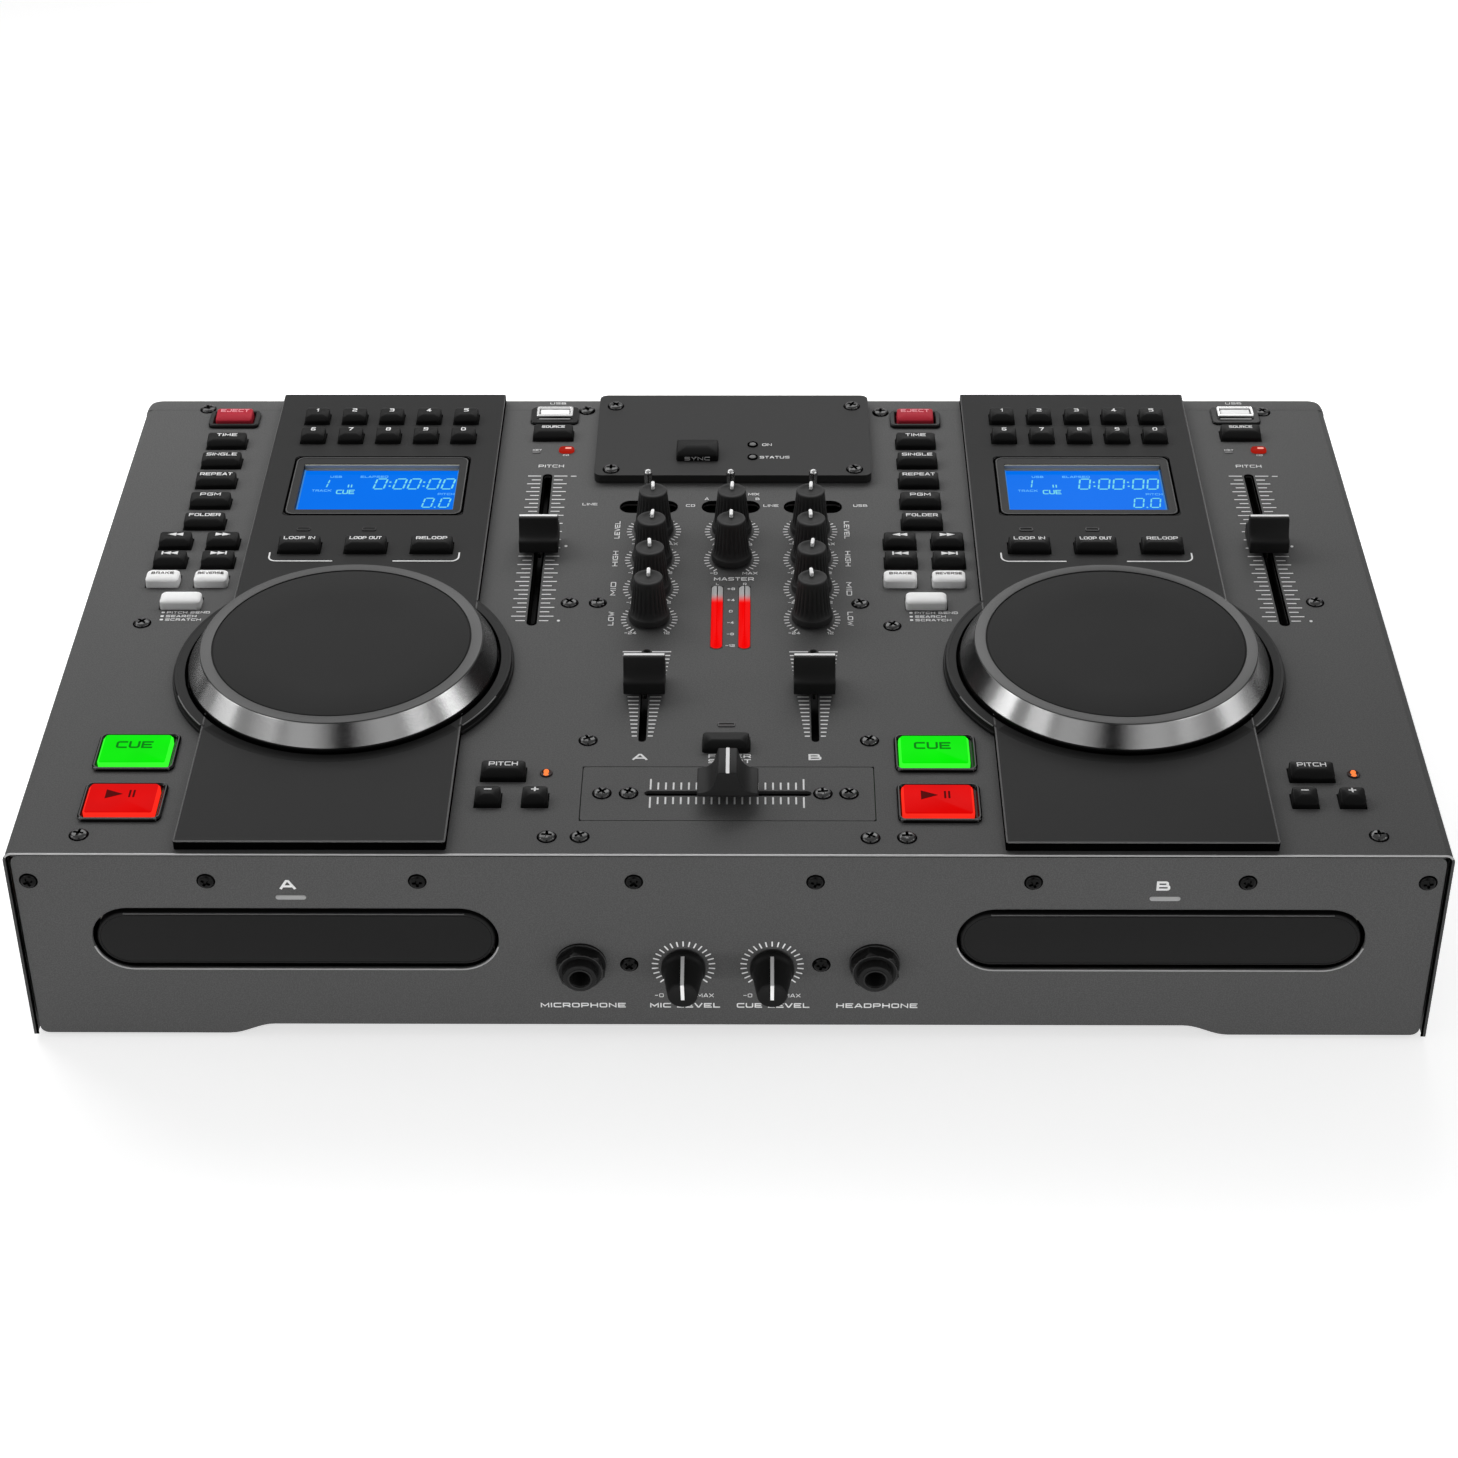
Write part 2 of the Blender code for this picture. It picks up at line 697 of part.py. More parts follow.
START_ALL = [(START_ALL_X, START_ALL_FRONT_Y, START_ALL_WIDTH, CAP_DEPTH)]
PAIRING = [(PAIRING_X, PAIRING_FRONT_Y, PAIRING_WIDTH, PAIRING_DEPTH)]


def deck_level_keys(deck_x):
    """The keys of one deck that come up through the cover itself."""
    return (
        function_keys(deck_x)
        + eject_key(deck_x)
        + source_key(deck_x)
        + pitch_keys(deck_x)
        + start_key(deck_x, CUE_Y)
        + start_key(deck_x, PLAY_Y)
    )


def key_group(name, finish, places, seat, rise=CAP_RISE):
    caps = [cap(x, y, width, seat, depth, rise) for x, y, width, depth in places]
    part(name, finish, [web(places), *caps])


def lit_key(name, finish, places):
    """A flat lit button on its web."""
    x, front_y, width, depth = places[0]
    low = (x - width / 2, at(front_y), WEB_TOP - EMBED)
    high = (x + width / 2, at(front_y) + depth, DECK + START_KEY_RISE)
    part(name, finish, [web(places), block(low, high, START_KEY_BEVEL)])


def key_switch(place):
    """The switch on the board under one cap."""
    x, front_y, _, depth = place
    y = at(front_y) + depth / 2
    half = SWITCH_HALF_WIDTH
    return block((x - half, y - half, BOARD_TOP - EMBED), (x + half, y + half, SWITCH_TOP))


# Casing


def cover_openings():
    """The cutters for everything that comes up through the deck."""
    found = []
    for _, deck_x in DECKS:
        found += [opening(*place) for place in deck_level_keys(deck_x)]
        found.append(
            block(
                (deck_x - PANEL_OPENING_WIDTH / 2, at(PANEL_OPENING_FRONT_Y), UNDER_DECK - OVERRUN),
                (deck_x + PANEL_OPENING_WIDTH / 2, at(PANEL_OPENING_BACK_Y), DECK + OVERRUN),
            )
        )
        hub = (deck_x, at(JOG_Y))
        found.append(rod(hub, HUB_RADIUS + HUB_HOLE_GAP, UNDER_DECK - OVERRUN, DECK + OVERRUN))
        found.append(
            block(
                (
                    deck_x + USB_X - USB_WIDTH / 2 - HOLE_GAP,
                    at(USB_Y) - USB_DEPTH / 2 - HOLE_GAP,
                    UNDER_DECK - OVERRUN,
                ),
                (
                    deck_x + USB_X + USB_WIDTH / 2 + HOLE_GAP,
                    at(USB_Y) + USB_DEPTH / 2 + HOLE_GAP,
                    DECK + OVERRUN,
                ),
            )
        )
        pitch_slot = slot(
            (deck_x + PITCH_FADER_X, at(PITCH_SLOT_MID_Y)), PITCH_SLOT_LENGTH, FADER_SLOT_WIDTH, 1
        )
        found.append(prism(pitch_slot, UNDER_DECK - OVERRUN, DECK + OVERRUN))
    for x in (-CHANNEL_X, CHANNEL_X):
        outline = slot((x, at(CHANNEL_SLOT_MID_Y)), CHANNEL_SLOT_LENGTH, FADER_SLOT_WIDTH, 1)
        found.append(prism(outline, UNDER_DECK - OVERRUN, DECK + OVERRUN))
    for x, y in knob_places():
        centre = (x, at(y))
        found.append(
            rod(centre, BUSHING_RADIUS + HOLE_GAP, UNDER_DECK - OVERRUN, DECK + OVERRUN, "Z", HOLE_SIDES)
        )
    for x in TOGGLE_XS:
        outline = slot((x, at(TOGGLE_Y)), TOGGLE_SLOT_LENGTH, TOGGLE_SLOT_WIDTH)
        found.append(prism(outline, UNDER_DECK - OVERRUN, DECK + OVERRUN))
    found.append(opening(*START_ALL[0]))
    found.append(opening(*PAIRING[0]))
    half_width = CROSS_PLATE_WIDTH / 2 + SEAT_GAP
    half_depth = CROSS_PLATE_DEPTH / 2 + SEAT_GAP
    found.append(
        block(
            (-half_width, at(CROSS_Y) - half_depth, UNDER_DECK - OVERRUN),
            (half_width, at(CROSS_Y) + half_depth, DECK + OVERRUN),
        )
    )
    for x in (-METER_X, METER_X):
        found.append(
            block(
                (x - METER_BAR_WIDTH / 2, at(METER_FRONT_Y), UNDER_DECK - OVERRUN),
                (x + METER_BAR_WIDTH / 2, at(METER_BACK_Y), DECK + OVERRUN),
            )
        )
    return found


def rear_openings():
    """The cutters for the sockets in the rear wall."""
    low_y = BACK_Y - SHEET - OVERRUN / 2
    high_y = BACK_Y + OVERRUN
    found = []
    for x, z in phono_places():
        centre = (x, z)
        found.append(rod(centre, PHONO_RADIUS + HOLE_GAP, low_y, high_y, "Y", HOLE_SIDES))
    half_x = INLET_WIDTH / 2 + INLET_WALL + HOLE_GAP
    half_z = INLET_HEIGHT / 2 + INLET_WALL + HOLE_GAP
    found.append(
        block((INLET_X - half_x, low_y, POWER_Z - half_z), (INLET_X + half_x, high_y, POWER_Z + half_z)),
    )
    half_x = ROCKER_WIDTH / 2 + ROCKER_CUP_GAP + INLET_WALL + HOLE_GAP
    half_z = ROCKER_HEIGHT / 2 + ROCKER_CUP_GAP + INLET_WALL + HOLE_GAP
    found.append(
        block((SWITCH_X - half_x, low_y, POWER_Z - half_z), (SWITCH_X + half_x, high_y, POWER_Z + half_z))
    )
    return found


def top_cover(finish):
    """The deck with its two sides and the rear wall, drawn from one sheet, open at the front and below."""
    half = HALF_WIDTH
    outer = rounded((-half, FRONT_Y - BACK_CORNER_RADIUS), (half, BACK_Y), BACK_CORNER_RADIUS)
    inner_half = half - SHEET
    inner_radius = BACK_CORNER_RADIUS - SHEET
    inner = rounded((-inner_half, FRONT_Y - OVERRUN * 2), (inner_half, BACK_Y - SHEET), inner_radius)
    body = prism(outer, SKIRT_CLEARANCE, DECK)
    shape = bmesh.new()
    shape.from_mesh(body)
    top_edges = [
        edge
        for edge in shape.edges
        if all(vert.co.z > DECK - SEAT_GAP for vert in edge.verts) and len(edge.link_faces) == 2
        and any(abs(face.normal.z) < UPRIGHT_LIMIT for face in edge.link_faces)
    ]
    bmesh.ops.bevel(
        shape,
        geom=top_edges,
        offset=TOP_EDGE_RADIUS,
        segments=EDGE_STEPS,
        affect="EDGES",
        profile=EVEN_PROFILE,
    )
    shape.to_mesh(body)
    shape.free()
    front_trim = block(
        (-half - OVERRUN, FRONT_Y - OVERRUN * 2, SKIRT_CLEARANCE - OVERRUN),
        (half + OVERRUN, FRONT_Y, DECK + OVERRUN),
    )
    hollow = prism(inner, SKIRT_CLEARANCE - OVERRUN, UNDER_DECK)
    part("top_cover", finish, [body], [[hollow], [front_trim], cover_openings(), rear_openings()])


def front_outline():
    """The front panel seen from the front: its lower edge rises in the middle, between the feet."""
    half = INNER_HALF_WIDTH - FRONT_SIDE_GAP
    top = UNDER_DECK - FRONT_TOP_GAP
    low = SKIRT_CLEARANCE
    outline = []
    corners = rounded((-half, low), (half, top), FRONT_CORNER_RADIUS)
    quarter = CORNER_STEPS + 1
    outline += corners[: 3 * quarter]
    steps = CORNER_STEPS * 2
    for side in (-1, 1):
        for step in range(steps + 1):
            share = step / steps
            rise = (1 - math.cos(math.pi * share)) / 2
            inward = share if side < 0 else 1 - share
            x = side * (ARCH_HALF_WIDTH + ARCH_SLOPE_WIDTH * (1 - inward))
            outline.append((x, low + ARCH_RISE * (rise if side < 0 else 1 - rise)))
    return outline + corners[3 * quarter :]


def front_panel(finish):
    low_y = PANEL_FACE_Y - OVERRUN
    high_y = PANEL_REAR_Y + OVERRUN
    cuts = []
    for _, side in SIDES:
        cuts.append(
            prism(
                slot((side * TRAY_X, SLOT_Z), SLOT_WIDTH, SLOT_HEIGHT, 0, END_STEPS),
                low_y,
                high_y,
                "Y",
            )
        )
        jack = (side * JACK_X, DECK - JACK_DROP)
        cuts.append(rod(jack, JACK_THREAD_RADIUS + HOLE_GAP, low_y, high_y, "Y"))
        knob = (side * FRONT_KNOB_X, DECK - FRONT_KNOB_DROP)
        cuts.append(rod(knob, BUSHING_RADIUS + HOLE_GAP, low_y, high_y, "Y", HOLE_SIDES))
    part("front_panel", finish, [prism(front_outline(), PANEL_FACE_Y, PANEL_REAR_Y, "Y")], [cuts])


def chassis(finish):
    """The bottom sheet with its feet, side flanges and the posts for what it carries."""
    half = INNER_HALF_WIDTH - FRONT_SIDE_GAP
    low_y = FRONT_Y + CHASSIS_FRONT_Y
    high_y = BACK_Y - SHEET - FRONT_SIDE_GAP
    corner = BACK_CORNER_RADIUS
    base = prism(rounded((-half, low_y), (half, high_y), corner), FLOOR_CLEARANCE, BASE_TOP)
    extras = []
    for side in (-1, 1):
        for y in (FOOT_FRONT_Y, FOOT_BACK_Y):
            extras.append(rod((side * FOOT_X, at(y)), FOOT_RADIUS, 0, FLOOR_CLEARANCE + EMBED))
        edge = side * half
        inner = edge - side * SHEET
        extras.append(
            block(
                (min(edge, inner), low_y + 2 * corner, FLOOR_CLEARANCE + EMBED),
                (max(edge, inner), high_y - 2 * corner, FLOOR_CLEARANCE + FLANGE_HEIGHT),
            )
        )
        for x in (POST_INNER_X, POST_OUTER_X):
            for y in (POST_FRONT_Y, POST_BACK_Y):
                extras.append(
                    rod(
                        (side * x, at(y)),
                        POST_RADIUS,
                        BASE_TOP - EMBED,
                        BOARD_BOTTOM - SEAT_GAP,
                        "Z",
                        HOLE_SIDES,
                    )
                )
        for drive_side in (-1, 1):
            x = side * TRAY_X + drive_side * (DRIVE_WIDTH / 2 - DRIVE_BOSS_INSET_X)
            for y in (DRIVE_Y + DRIVE_BOSS_INSET_Y, DRIVE_Y + DRIVE_LENGTH - DRIVE_BOSS_INSET_Y):
                extras.append(
                    rod(
                        (x, y),
                        DRIVE_BOSS_RADIUS,
                        BASE_TOP - EMBED,
                        DRIVE_BOTTOM - SEAT_GAP,
                        "Z",
                        HOLE_SIDES,
                    )
                )
    half_supply = INLET_FLANGE_WIDTH / 2 - SUPPLY_POST_INSET
    supply_front = BACK_Y - SUPPLY_LENGTH
    for x in (INLET_FLANGE_MID_X - half_supply, INLET_FLANGE_MID_X + half_supply):
        for y in (supply_front + SUPPLY_POST_INSET, BACK_Y - 2 * SUPPLY_POST_INSET):
            extras.append(
                rod((x, y), POST_RADIUS, BASE_TOP - EMBED, SUPPLY_BOARD_Z - SEAT_GAP, "Z", HOLE_SIDES),
            )
    part("chassis", finish, [base, *extras])


# Decks


def deck_panel(name, finish, deck_x):
    """The raised overlay of one deck, with the round surround of its jog wheel."""
    seat = DECK + SEAT_GAP
    half = PANEL_WIDTH / 2
    low = (deck_x - half, at(PANEL_FRONT_Y))
    high = (deck_x + half, at(PANEL_BACK_Y))
    plate = prism(rounded(low, high, PANEL_CORNER_RADIUS), seat, PANEL_TOP)
    centre = (deck_x, at(JOG_Y))
    ring = rod(centre, JOG_RING_RADIUS, seat, PANEL_TOP, "Z", JOG_SIDES)
    well = rod(centre, JOG_RADIUS + JOG_WELL_GAP, DECK - OVERRUN, PANEL_TOP + OVERRUN, "Z", JOG_SIDES)
    holes = [opening(*place, HOLE_GAP, DECK, PANEL_TOP) for place in number_keys(deck_x)]
    holes += [opening(*place, HOLE_GAP, DECK, PANEL_TOP) for place in loop_keys(deck_x)]
    display = rounded(
        (deck_x - DISPLAY_WIDTH / 2 - SEAT_GAP, at(DISPLAY_Y) - DISPLAY_DEPTH / 2 - SEAT_GAP),
        (deck_x + DISPLAY_WIDTH / 2 + SEAT_GAP, at(DISPLAY_Y) + DISPLAY_DEPTH / 2 + SEAT_GAP),
        DISPLAY_CORNER_RADIUS,
    )
    holes.append(prism(display, DECK - OVERRUN, PANEL_TOP + OVERRUN))
    part(name, finish, [plate, ring], [[well], holes])


def display(name, finish, deck_x):
    """The display's frame with its recessed window, on a body that reaches down to the board."""
    y = at(DISPLAY_Y)
    half_x = DISPLAY_WIDTH / 2
    half_y = DISPLAY_DEPTH / 2
    frame = prism(
        rounded((deck_x - half_x, y - half_y), (deck_x + half_x, y + half_y), DISPLAY_CORNER_RADIUS),
        DECK + SEAT_GAP,
        PANEL_TOP,
    )
    inset = DISPLAY_BODY_INSET
    body = block(
        (deck_x - half_x + inset, y - half_y + inset, BOARD_TOP + SEAT_GAP),
        (deck_x + half_x - inset, y + half_y - inset, DECK + SEAT_GAP + EMBED),
    )
    window = block(
        (deck_x - WINDOW_WIDTH / 2, at(WINDOW_Y) - WINDOW_DEPTH / 2, PANEL_TOP - WINDOW_RECESS),
        (deck_x + WINDOW_WIDTH / 2, at(WINDOW_Y) + WINDOW_DEPTH / 2, PANEL_TOP + OVERRUN),
    )
    part(name, finish, [frame, body], [[window]])


def jog_wheel(name, finish, deck_x):
    """A hollow wheel on a hub, with a bevelled rim round its flat top."""
    profile = (
        (0, DECK + JOG_TOP_RISE - JOG_TOP_RECESS),
        (JOG_TOP_RADIUS - JOG_TOP_RECESS, DECK + JOG_TOP_RISE - JOG_TOP_RECESS),
        (JOG_TOP_RADIUS, DECK + JOG_TOP_RISE),
        (JOG_RIM_RADIUS, DECK + JOG_TOP_RISE),
        (JOG_RADIUS, DECK + JOG_SKIRT_RISE),
        (JOG_RADIUS, DECK + JOG_FLOOR_GAP),
        (JOG_RADIUS - JOG_WALL, DECK + JOG_FLOOR_GAP),
        (JOG_RADIUS - JOG_WALL, DECK + JOG_SKIRT_RISE - JOG_FLOOR_GAP),
        (JOG_RIM_RADIUS - JOG_WALL, DECK + JOG_TOP_RISE - JOG_WALL),
        (HUB_RADIUS, DECK + JOG_TOP_RISE - JOG_WALL),
        (HUB_RADIUS, DECK - HUB_DROP),
        (SPINDLE_RADIUS + SEAT_GAP, DECK - HUB_DROP),
        (SPINDLE_RADIUS + SEAT_GAP, DECK + SPINDLE_RISE + SEAT_GAP),
        (0, DECK + SPINDLE_RISE + SEAT_GAP),
    )
    pivot = (deck_x, at(JOG_Y), 0)
    part(name, finish, [turned(profile, pivot, "Z", JOG_SIDES)], pivot=pivot)


# Faders and knobs


def fader_outline(middle, length):
    """Half of a fader cap's side view is a ridge, a hollow face and a foot; this is the whole of it."""
    height = FADER_CAP_TOP - FADER_CAP_BOTTOM
    half = length / 2
    waist_out, waist_up = FADER_WAIST_SHARES
    saddle_out, saddle_up = FADER_SADDLE_SHARES
    side = (
        (1, 0),
        (1, FADER_FOOT_SHARE),
        (saddle_out, saddle_up),
        (waist_out, waist_up),
        (FADER_RIDGE_SHARE * 2, 1),
    )
    bottom = DECK + FADER_CAP_BOTTOM
    right = [(middle + half * out, bottom + height * up) for out, up in side]
    left = [(middle - half * out, bottom + height * up) for out, up in reversed(side)]
    return right + left


def fader_cap(name, finish, x, y, lengthwise, length):
    """A fader cap on its stem. Lengthwise 1 travels along Y and 0 along X."""
    half = FADER_CAP_WIDTH / 2
    stem = (FADER_STEM_WIDTH / 2, FADER_STEM_LENGTH / 2)
    if lengthwise:
        body = prism(fader_outline(at(y), length), x - half, x + half, "X")
    else:
        body = prism(fader_outline(x, length), at(y) - half, at(y) + half, "Y")
        stem = (stem[1], stem[0])
    post = block(
        (x - stem[0], at(y) - stem[1], DECK - SLIDER_BODY_DROP + SEAT_GAP),
        (x + stem[0], at(y) + stem[1], DECK + FADER_CAP_BOTTOM + EMBED),
    )
    part(name, finish, [body, post], pivot=(x, at(y), DECK))


def slider_body(x, y, length, lengthwise):
    """The slide control on the board under a fader."""
    half = (SLIDER_BODY_HALF_WIDTH, length / 2 + SLIDER_BODY_MARGIN)
    if not lengthwise:
        half = (half[1], half[0])
    return block(
        (x - half[0], at(y) - half[1], BOARD_TOP - EMBED),
        (x + half[0], at(y) + half[1], DECK - SLIDER_BODY_DROP),
    )


def knob_places():
    return [(x, y) for x in KNOB_XS for y in KNOB_YS] + [(0, y) for y in MIDDLE_KNOB_YS]


def knob_profile(base, height, skirt_radius, top_radius, shaft_rise):
    """From the middle of the top down the outside, across the bottom and up the shaft's bore."""
    return (
        (0, base + height),
        (top_radius - KNOB_TOP_EDGE, base + height),
        (top_radius, base + height - KNOB_TOP_EDGE),
        (KNOB_BODY_RADIUS, base + KNOB_SKIRT_RISE + KNOB_TOP_EDGE),
        (skirt_radius - KNOB_TOP_EDGE, base + KNOB_SKIRT_RISE),
        (skirt_radius, base + KNOB_DECK_GAP),
        (SHAFT_RADIUS + KNOB_BORE_GAP, base + KNOB_DECK_GAP),
        (SHAFT_RADIUS + KNOB_BORE_GAP, base + shaft_rise + SEAT_GAP),
        (0, base + shaft_rise + SEAT_GAP),
    )


def knob(name, finish, x, y):
    profile = knob_profile(DECK, KNOB_HEIGHT, KNOB_SKIRT_RADIUS, KNOB_TOP_RADIUS, SHAFT_RISE)
    pivot = (x, at(y), 0)
    part(name, finish, [turned(profile, pivot)], pivot=pivot)


def front_knob(name, finish, x):
    profile = knob_profile(
        0, FRONT_KNOB_HEIGHT, FRONT_KNOB_SKIRT_RADIUS, FRONT_KNOB_TOP_RADIUS, FRONT_SHAFT_REACH
    )
    pivot = (x, PANEL_FACE_Y, DECK - FRONT_KNOB_DROP)
    part(name, finish, [turned(profile, pivot, "Y")], pivot=pivot)


def toggle(name, finish, x):
    """A lever that swings about its ball, just above the switch body."""
    pivot = (x, at(TOGGLE_Y), DECK - TOGGLE_PIVOT_DROP)
    reach = TOGGLE_PIVOT_DROP + TOGGLE_HEIGHT
    ball_steps = 3
    profile = [(0, reach), (TOGGLE_TIP_RADIUS, reach - KNOB_TOP_EDGE)]
    profile.append((TOGGLE_TIP_RADIUS, reach * TOGGLE_TIP_SHARE))
    profile.append((TOGGLE_STICK_RADIUS, reach * TOGGLE_TIP_SHARE - TOGGLE_TIP_RADIUS))
    start = math.asin(TOGGLE_STICK_RADIUS / TOGGLE_BALL_RADIUS)
    for step in range(ball_steps + 1):
        angle = start + (math.pi - start) * step / ball_steps
        profile.append((TOGGLE_BALL_RADIUS * math.sin(angle), TOGGLE_BALL_RADIUS * math.cos(angle)))
    profile[-1] = (0, -TOGGLE_BALL_RADIUS)
    part(name, finish, [turned(profile, pivot, "Z", TOGGLE_SIDES)], pivot=pivot)


# Boards and what they carry


def control_board(finish):
    """The board under the deck, with its switches, slide controls, shafts and stick sockets."""
    board = block(
        (
            -BOARD_HALF_WIDTH,
            at(BOARD_FRONT_Y),
            BOARD_BOTTOM,
        ), (BOARD_HALF_WIDTH, at(BOARD_BACK_Y), BOARD_TOP)
    )
    fitted = []
    sockets = []
    for _, deck_x in DECKS:
        for place in deck_level_keys(deck_x) + number_keys(deck_x) + loop_keys(deck_x):
            fitted.append(key_switch(place))
        fitted.append(slider_body(deck_x + PITCH_FADER_X, PITCH_SLOT_MID_Y, PITCH_SLOT_LENGTH, 1))
        spindle = (
            (0, DECK + SPINDLE_RISE),
            (SPINDLE_RADIUS, DECK + SPINDLE_RISE),
            (SPINDLE_RADIUS, DECK - HUB_DROP - SEAT_GAP),
            (COLLAR_RADIUS, DECK - HUB_DROP - SEAT_GAP),
            (COLLAR_RADIUS, BOARD_TOP - EMBED),
            (0, BOARD_TOP - EMBED),
        )
        fitted.append(turned(spindle, (deck_x, at(JOG_Y), 0)))
        x = deck_x + USB_X
        y = at(USB_Y)
        fitted.append(
            block(
                (x - USB_WIDTH / 2, y - USB_DEPTH / 2, BOARD_TOP - EMBED),
                (x + USB_WIDTH / 2, y + USB_DEPTH / 2, DECK + USB_RISE),
            )
        )
        sockets.append(
            block(
                (x - USB_WIDTH / 2 + USB_WALL, y - USB_DEPTH / 2 + USB_WALL, BOARD_TOP + USB_FLOOR),
                (x + USB_WIDTH / 2 - USB_WALL, y + USB_DEPTH / 2 - USB_WALL, DECK + OVERRUN),
            )
        )
    for x in (-CHANNEL_X, CHANNEL_X):
        fitted.append(slider_body(x, CHANNEL_SLOT_MID_Y, CHANNEL_SLOT_LENGTH, 1))
    fitted.append(slider_body(0, CROSS_Y, CROSS_SLOT_LENGTH, 0))
    for x, y in knob_places():
        fitted.append(pot((x, at(y))))
    for x in TOGGLE_XS:
        top = DECK - TOGGLE_PIVOT_DROP - TOGGLE_BALL_RADIUS - SEAT_GAP
        low = (x - TOGGLE_BODY_HALF_LENGTH, at(TOGGLE_Y) - TOGGLE_BODY_HALF_WIDTH, BOARD_TOP - EMBED)
        high = (x + TOGGLE_BODY_HALF_LENGTH, at(TOGGLE_Y) + TOGGLE_BODY_HALF_WIDTH, top)
        fitted.append(block(low, high))
    fitted.append(key_switch(START_ALL[0]))
    fitted.append(key_switch(PAIRING[0]))
    part("control_board", finish, [board, *fitted], [sockets])


def pot(centre):
    """A rotary control: a round body, its bushing in the deck and its shaft."""
    profile = (
        (0, DECK + SHAFT_RISE),
        (SHAFT_RADIUS, DECK + SHAFT_RISE),
        (SHAFT_RADIUS, DECK),
        (BUSHING_RADIUS, DECK),
        (BUSHING_RADIUS, BOARD_TOP + POT_HEIGHT),
        (POT_HALF_WIDTH * 2, BOARD_TOP + POT_HEIGHT),
        (POT_HALF_WIDTH * 2, BOARD_TOP - EMBED),
        (0, BOARD_TOP - EMBED),
    )
    return turned(profile, (*centre, 0), "Z", HOLE_SIDES)


def front_board(finish):
    """The small upright board behind the front panel, with the two level controls."""
    z = DECK - FRONT_KNOB_DROP
    front = PANEL_REAR_Y + FRONT_BOARD_SETBACK
    board = block(
        (-FRONT_BOARD_HALF_WIDTH, front, z - FRONT_BOARD_HALF_HEIGHT),
        (FRONT_BOARD_HALF_WIDTH, front + BOARD_THICKNESS, z + FRONT_BOARD_HALF_HEIGHT),
    )
    fitted = []
    for _, side in SIDES:
        # The profile's heights are distances forward from the panel's face.
        back = PANEL_FACE_Y - front - EMBED
        profile = (
            (0, FRONT_SHAFT_REACH),
            (SHAFT_RADIUS, FRONT_SHAFT_REACH),
            (SHAFT_RADIUS, 0),
            (BUSHING_RADIUS, 0),
            (BUSHING_RADIUS, back + POT_HEIGHT),
            (POT_HALF_WIDTH * 2, back + POT_HEIGHT),
            (POT_HALF_WIDTH * 2, back),
            (0, back),
        )
        fitted.append(turned(profile, (side * FRONT_KNOB_X, PANEL_FACE_Y, z), "Y", HOLE_SIDES))
    part("front_board", finish, [board, *fitted])


def jack(name, finish, x):
    """A socket for a 6.3 mm plug: body, thread through the panel, nut and bush."""
    z = DECK - JACK_DROP
    profile = (
        (0, JACK_REACH),
        (JACK_BUSH_RADIUS - KNOB_TOP_EDGE, JACK_REACH),
        (JACK_BUSH_RADIUS, JACK_REACH - KNOB_TOP_EDGE),
        (JACK_BUSH_RADIUS, SEAT_GAP),
        (JACK_THREAD_RADIUS, SEAT_GAP),
        (JACK_THREAD_RADIUS, -SHEET - SEAT_GAP - EMBED),
        (0, -SHEET - SEAT_GAP - EMBED),
    )
    sleeve = turned(profile, (x, PANEL_FACE_Y, z), "Y")
    nut_front = PANEL_FACE_Y - SEAT_GAP - JACK_NUT_THICKNESS
    nut = rod((x, z), JACK_NUT_RADIUS, nut_front, PANEL_FACE_Y - SEAT_GAP, "Y", NUT_SIDES)
    half = JACK_BODY_HALF_WIDTH
    body_front = PANEL_REAR_Y + SEAT_GAP
    body = block((x - half, body_front, z - half), (x + half, body_front + JACK_BODY_LENGTH, z + half))
    bore = rod(
        (x, z),
        JACK_BORE_RADIUS,
        PANEL_FACE_Y - JACK_REACH - OVERRUN,
        PANEL_FACE_Y - JACK_REACH + JACK_BORE_DEPTH,
        "Y",
    )
    part(name, finish, [body, sleeve, nut], [[bore]])


def disc_drive(name, finish, x):
    """A drive's frame: a sleeve that the tray runs in, with its motor below."""
    half = DRIVE_WIDTH / 2
    back = DRIVE_Y + DRIVE_LENGTH
    frame = block((x - half, DRIVE_Y, DRIVE_BOTTOM), (x + half, back, DRIVE_TOP))
    run = TRAY_WIDTH / 2 + SEAT_GAP
    channel = block(
        (x - run, DRIVE_Y - OVERRUN, TRAY_BOTTOM - SEAT_GAP),
        (x + run, back - DRIVE_WALL, CHANNEL_TOP),
    )
    motor = rod((x, DISC_Y), MOTOR_RADIUS, DRIVE_BOTTOM - MOTOR_HEIGHT, DRIVE_BOTTOM + EMBED)
    part(name, finish, [frame, motor], [[channel]])


def disc_tray(name, finish, x):
    """A sliding tray with its round recess, behind a door with round ends."""
    half = TRAY_WIDTH / 2
    back = TRAY_Y + TRAY_LENGTH
    door = prism(slot((x, SLOT_Z), DOOR_WIDTH, DOOR_HEIGHT, 0, END_STEPS), DOOR_Y, TRAY_Y, "Y")
    slide = block((x - half, TRAY_Y - EMBED, TRAY_BOTTOM), (x + half, back, TRAY_TOP))
    recess = rod(
        (x, DISC_Y),
        DISC_RADIUS + DISC_CLEARANCE,
        TRAY_TOP - DISC_RECESS,
        TRAY_TOP + OVERRUN,
        "Z",
        JOG_SIDES,
    )
    pocket_top = TRAY_TOP - DISC_RECESS - TRAY_FLOOR
    wall = TRAY_SIDE_WALL
    pocket = block(
        (x - half + wall, TRAY_Y + wall, TRAY_BOTTOM - OVERRUN),
        (x + half - wall, back - wall, pocket_top),
    )
    arm = SPINDLE_SLOT_HALF_WIDTH
    window = block(
        (x - arm, DISC_Y - arm, pocket_top - OVERRUN),
        (x + arm, back - 2 * arm, TRAY_TOP + OVERRUN),
    )
    part(name, finish, [door, slide], [[recess], [pocket], [window]], pivot=(x, DOOR_Y, SLOT_Z))


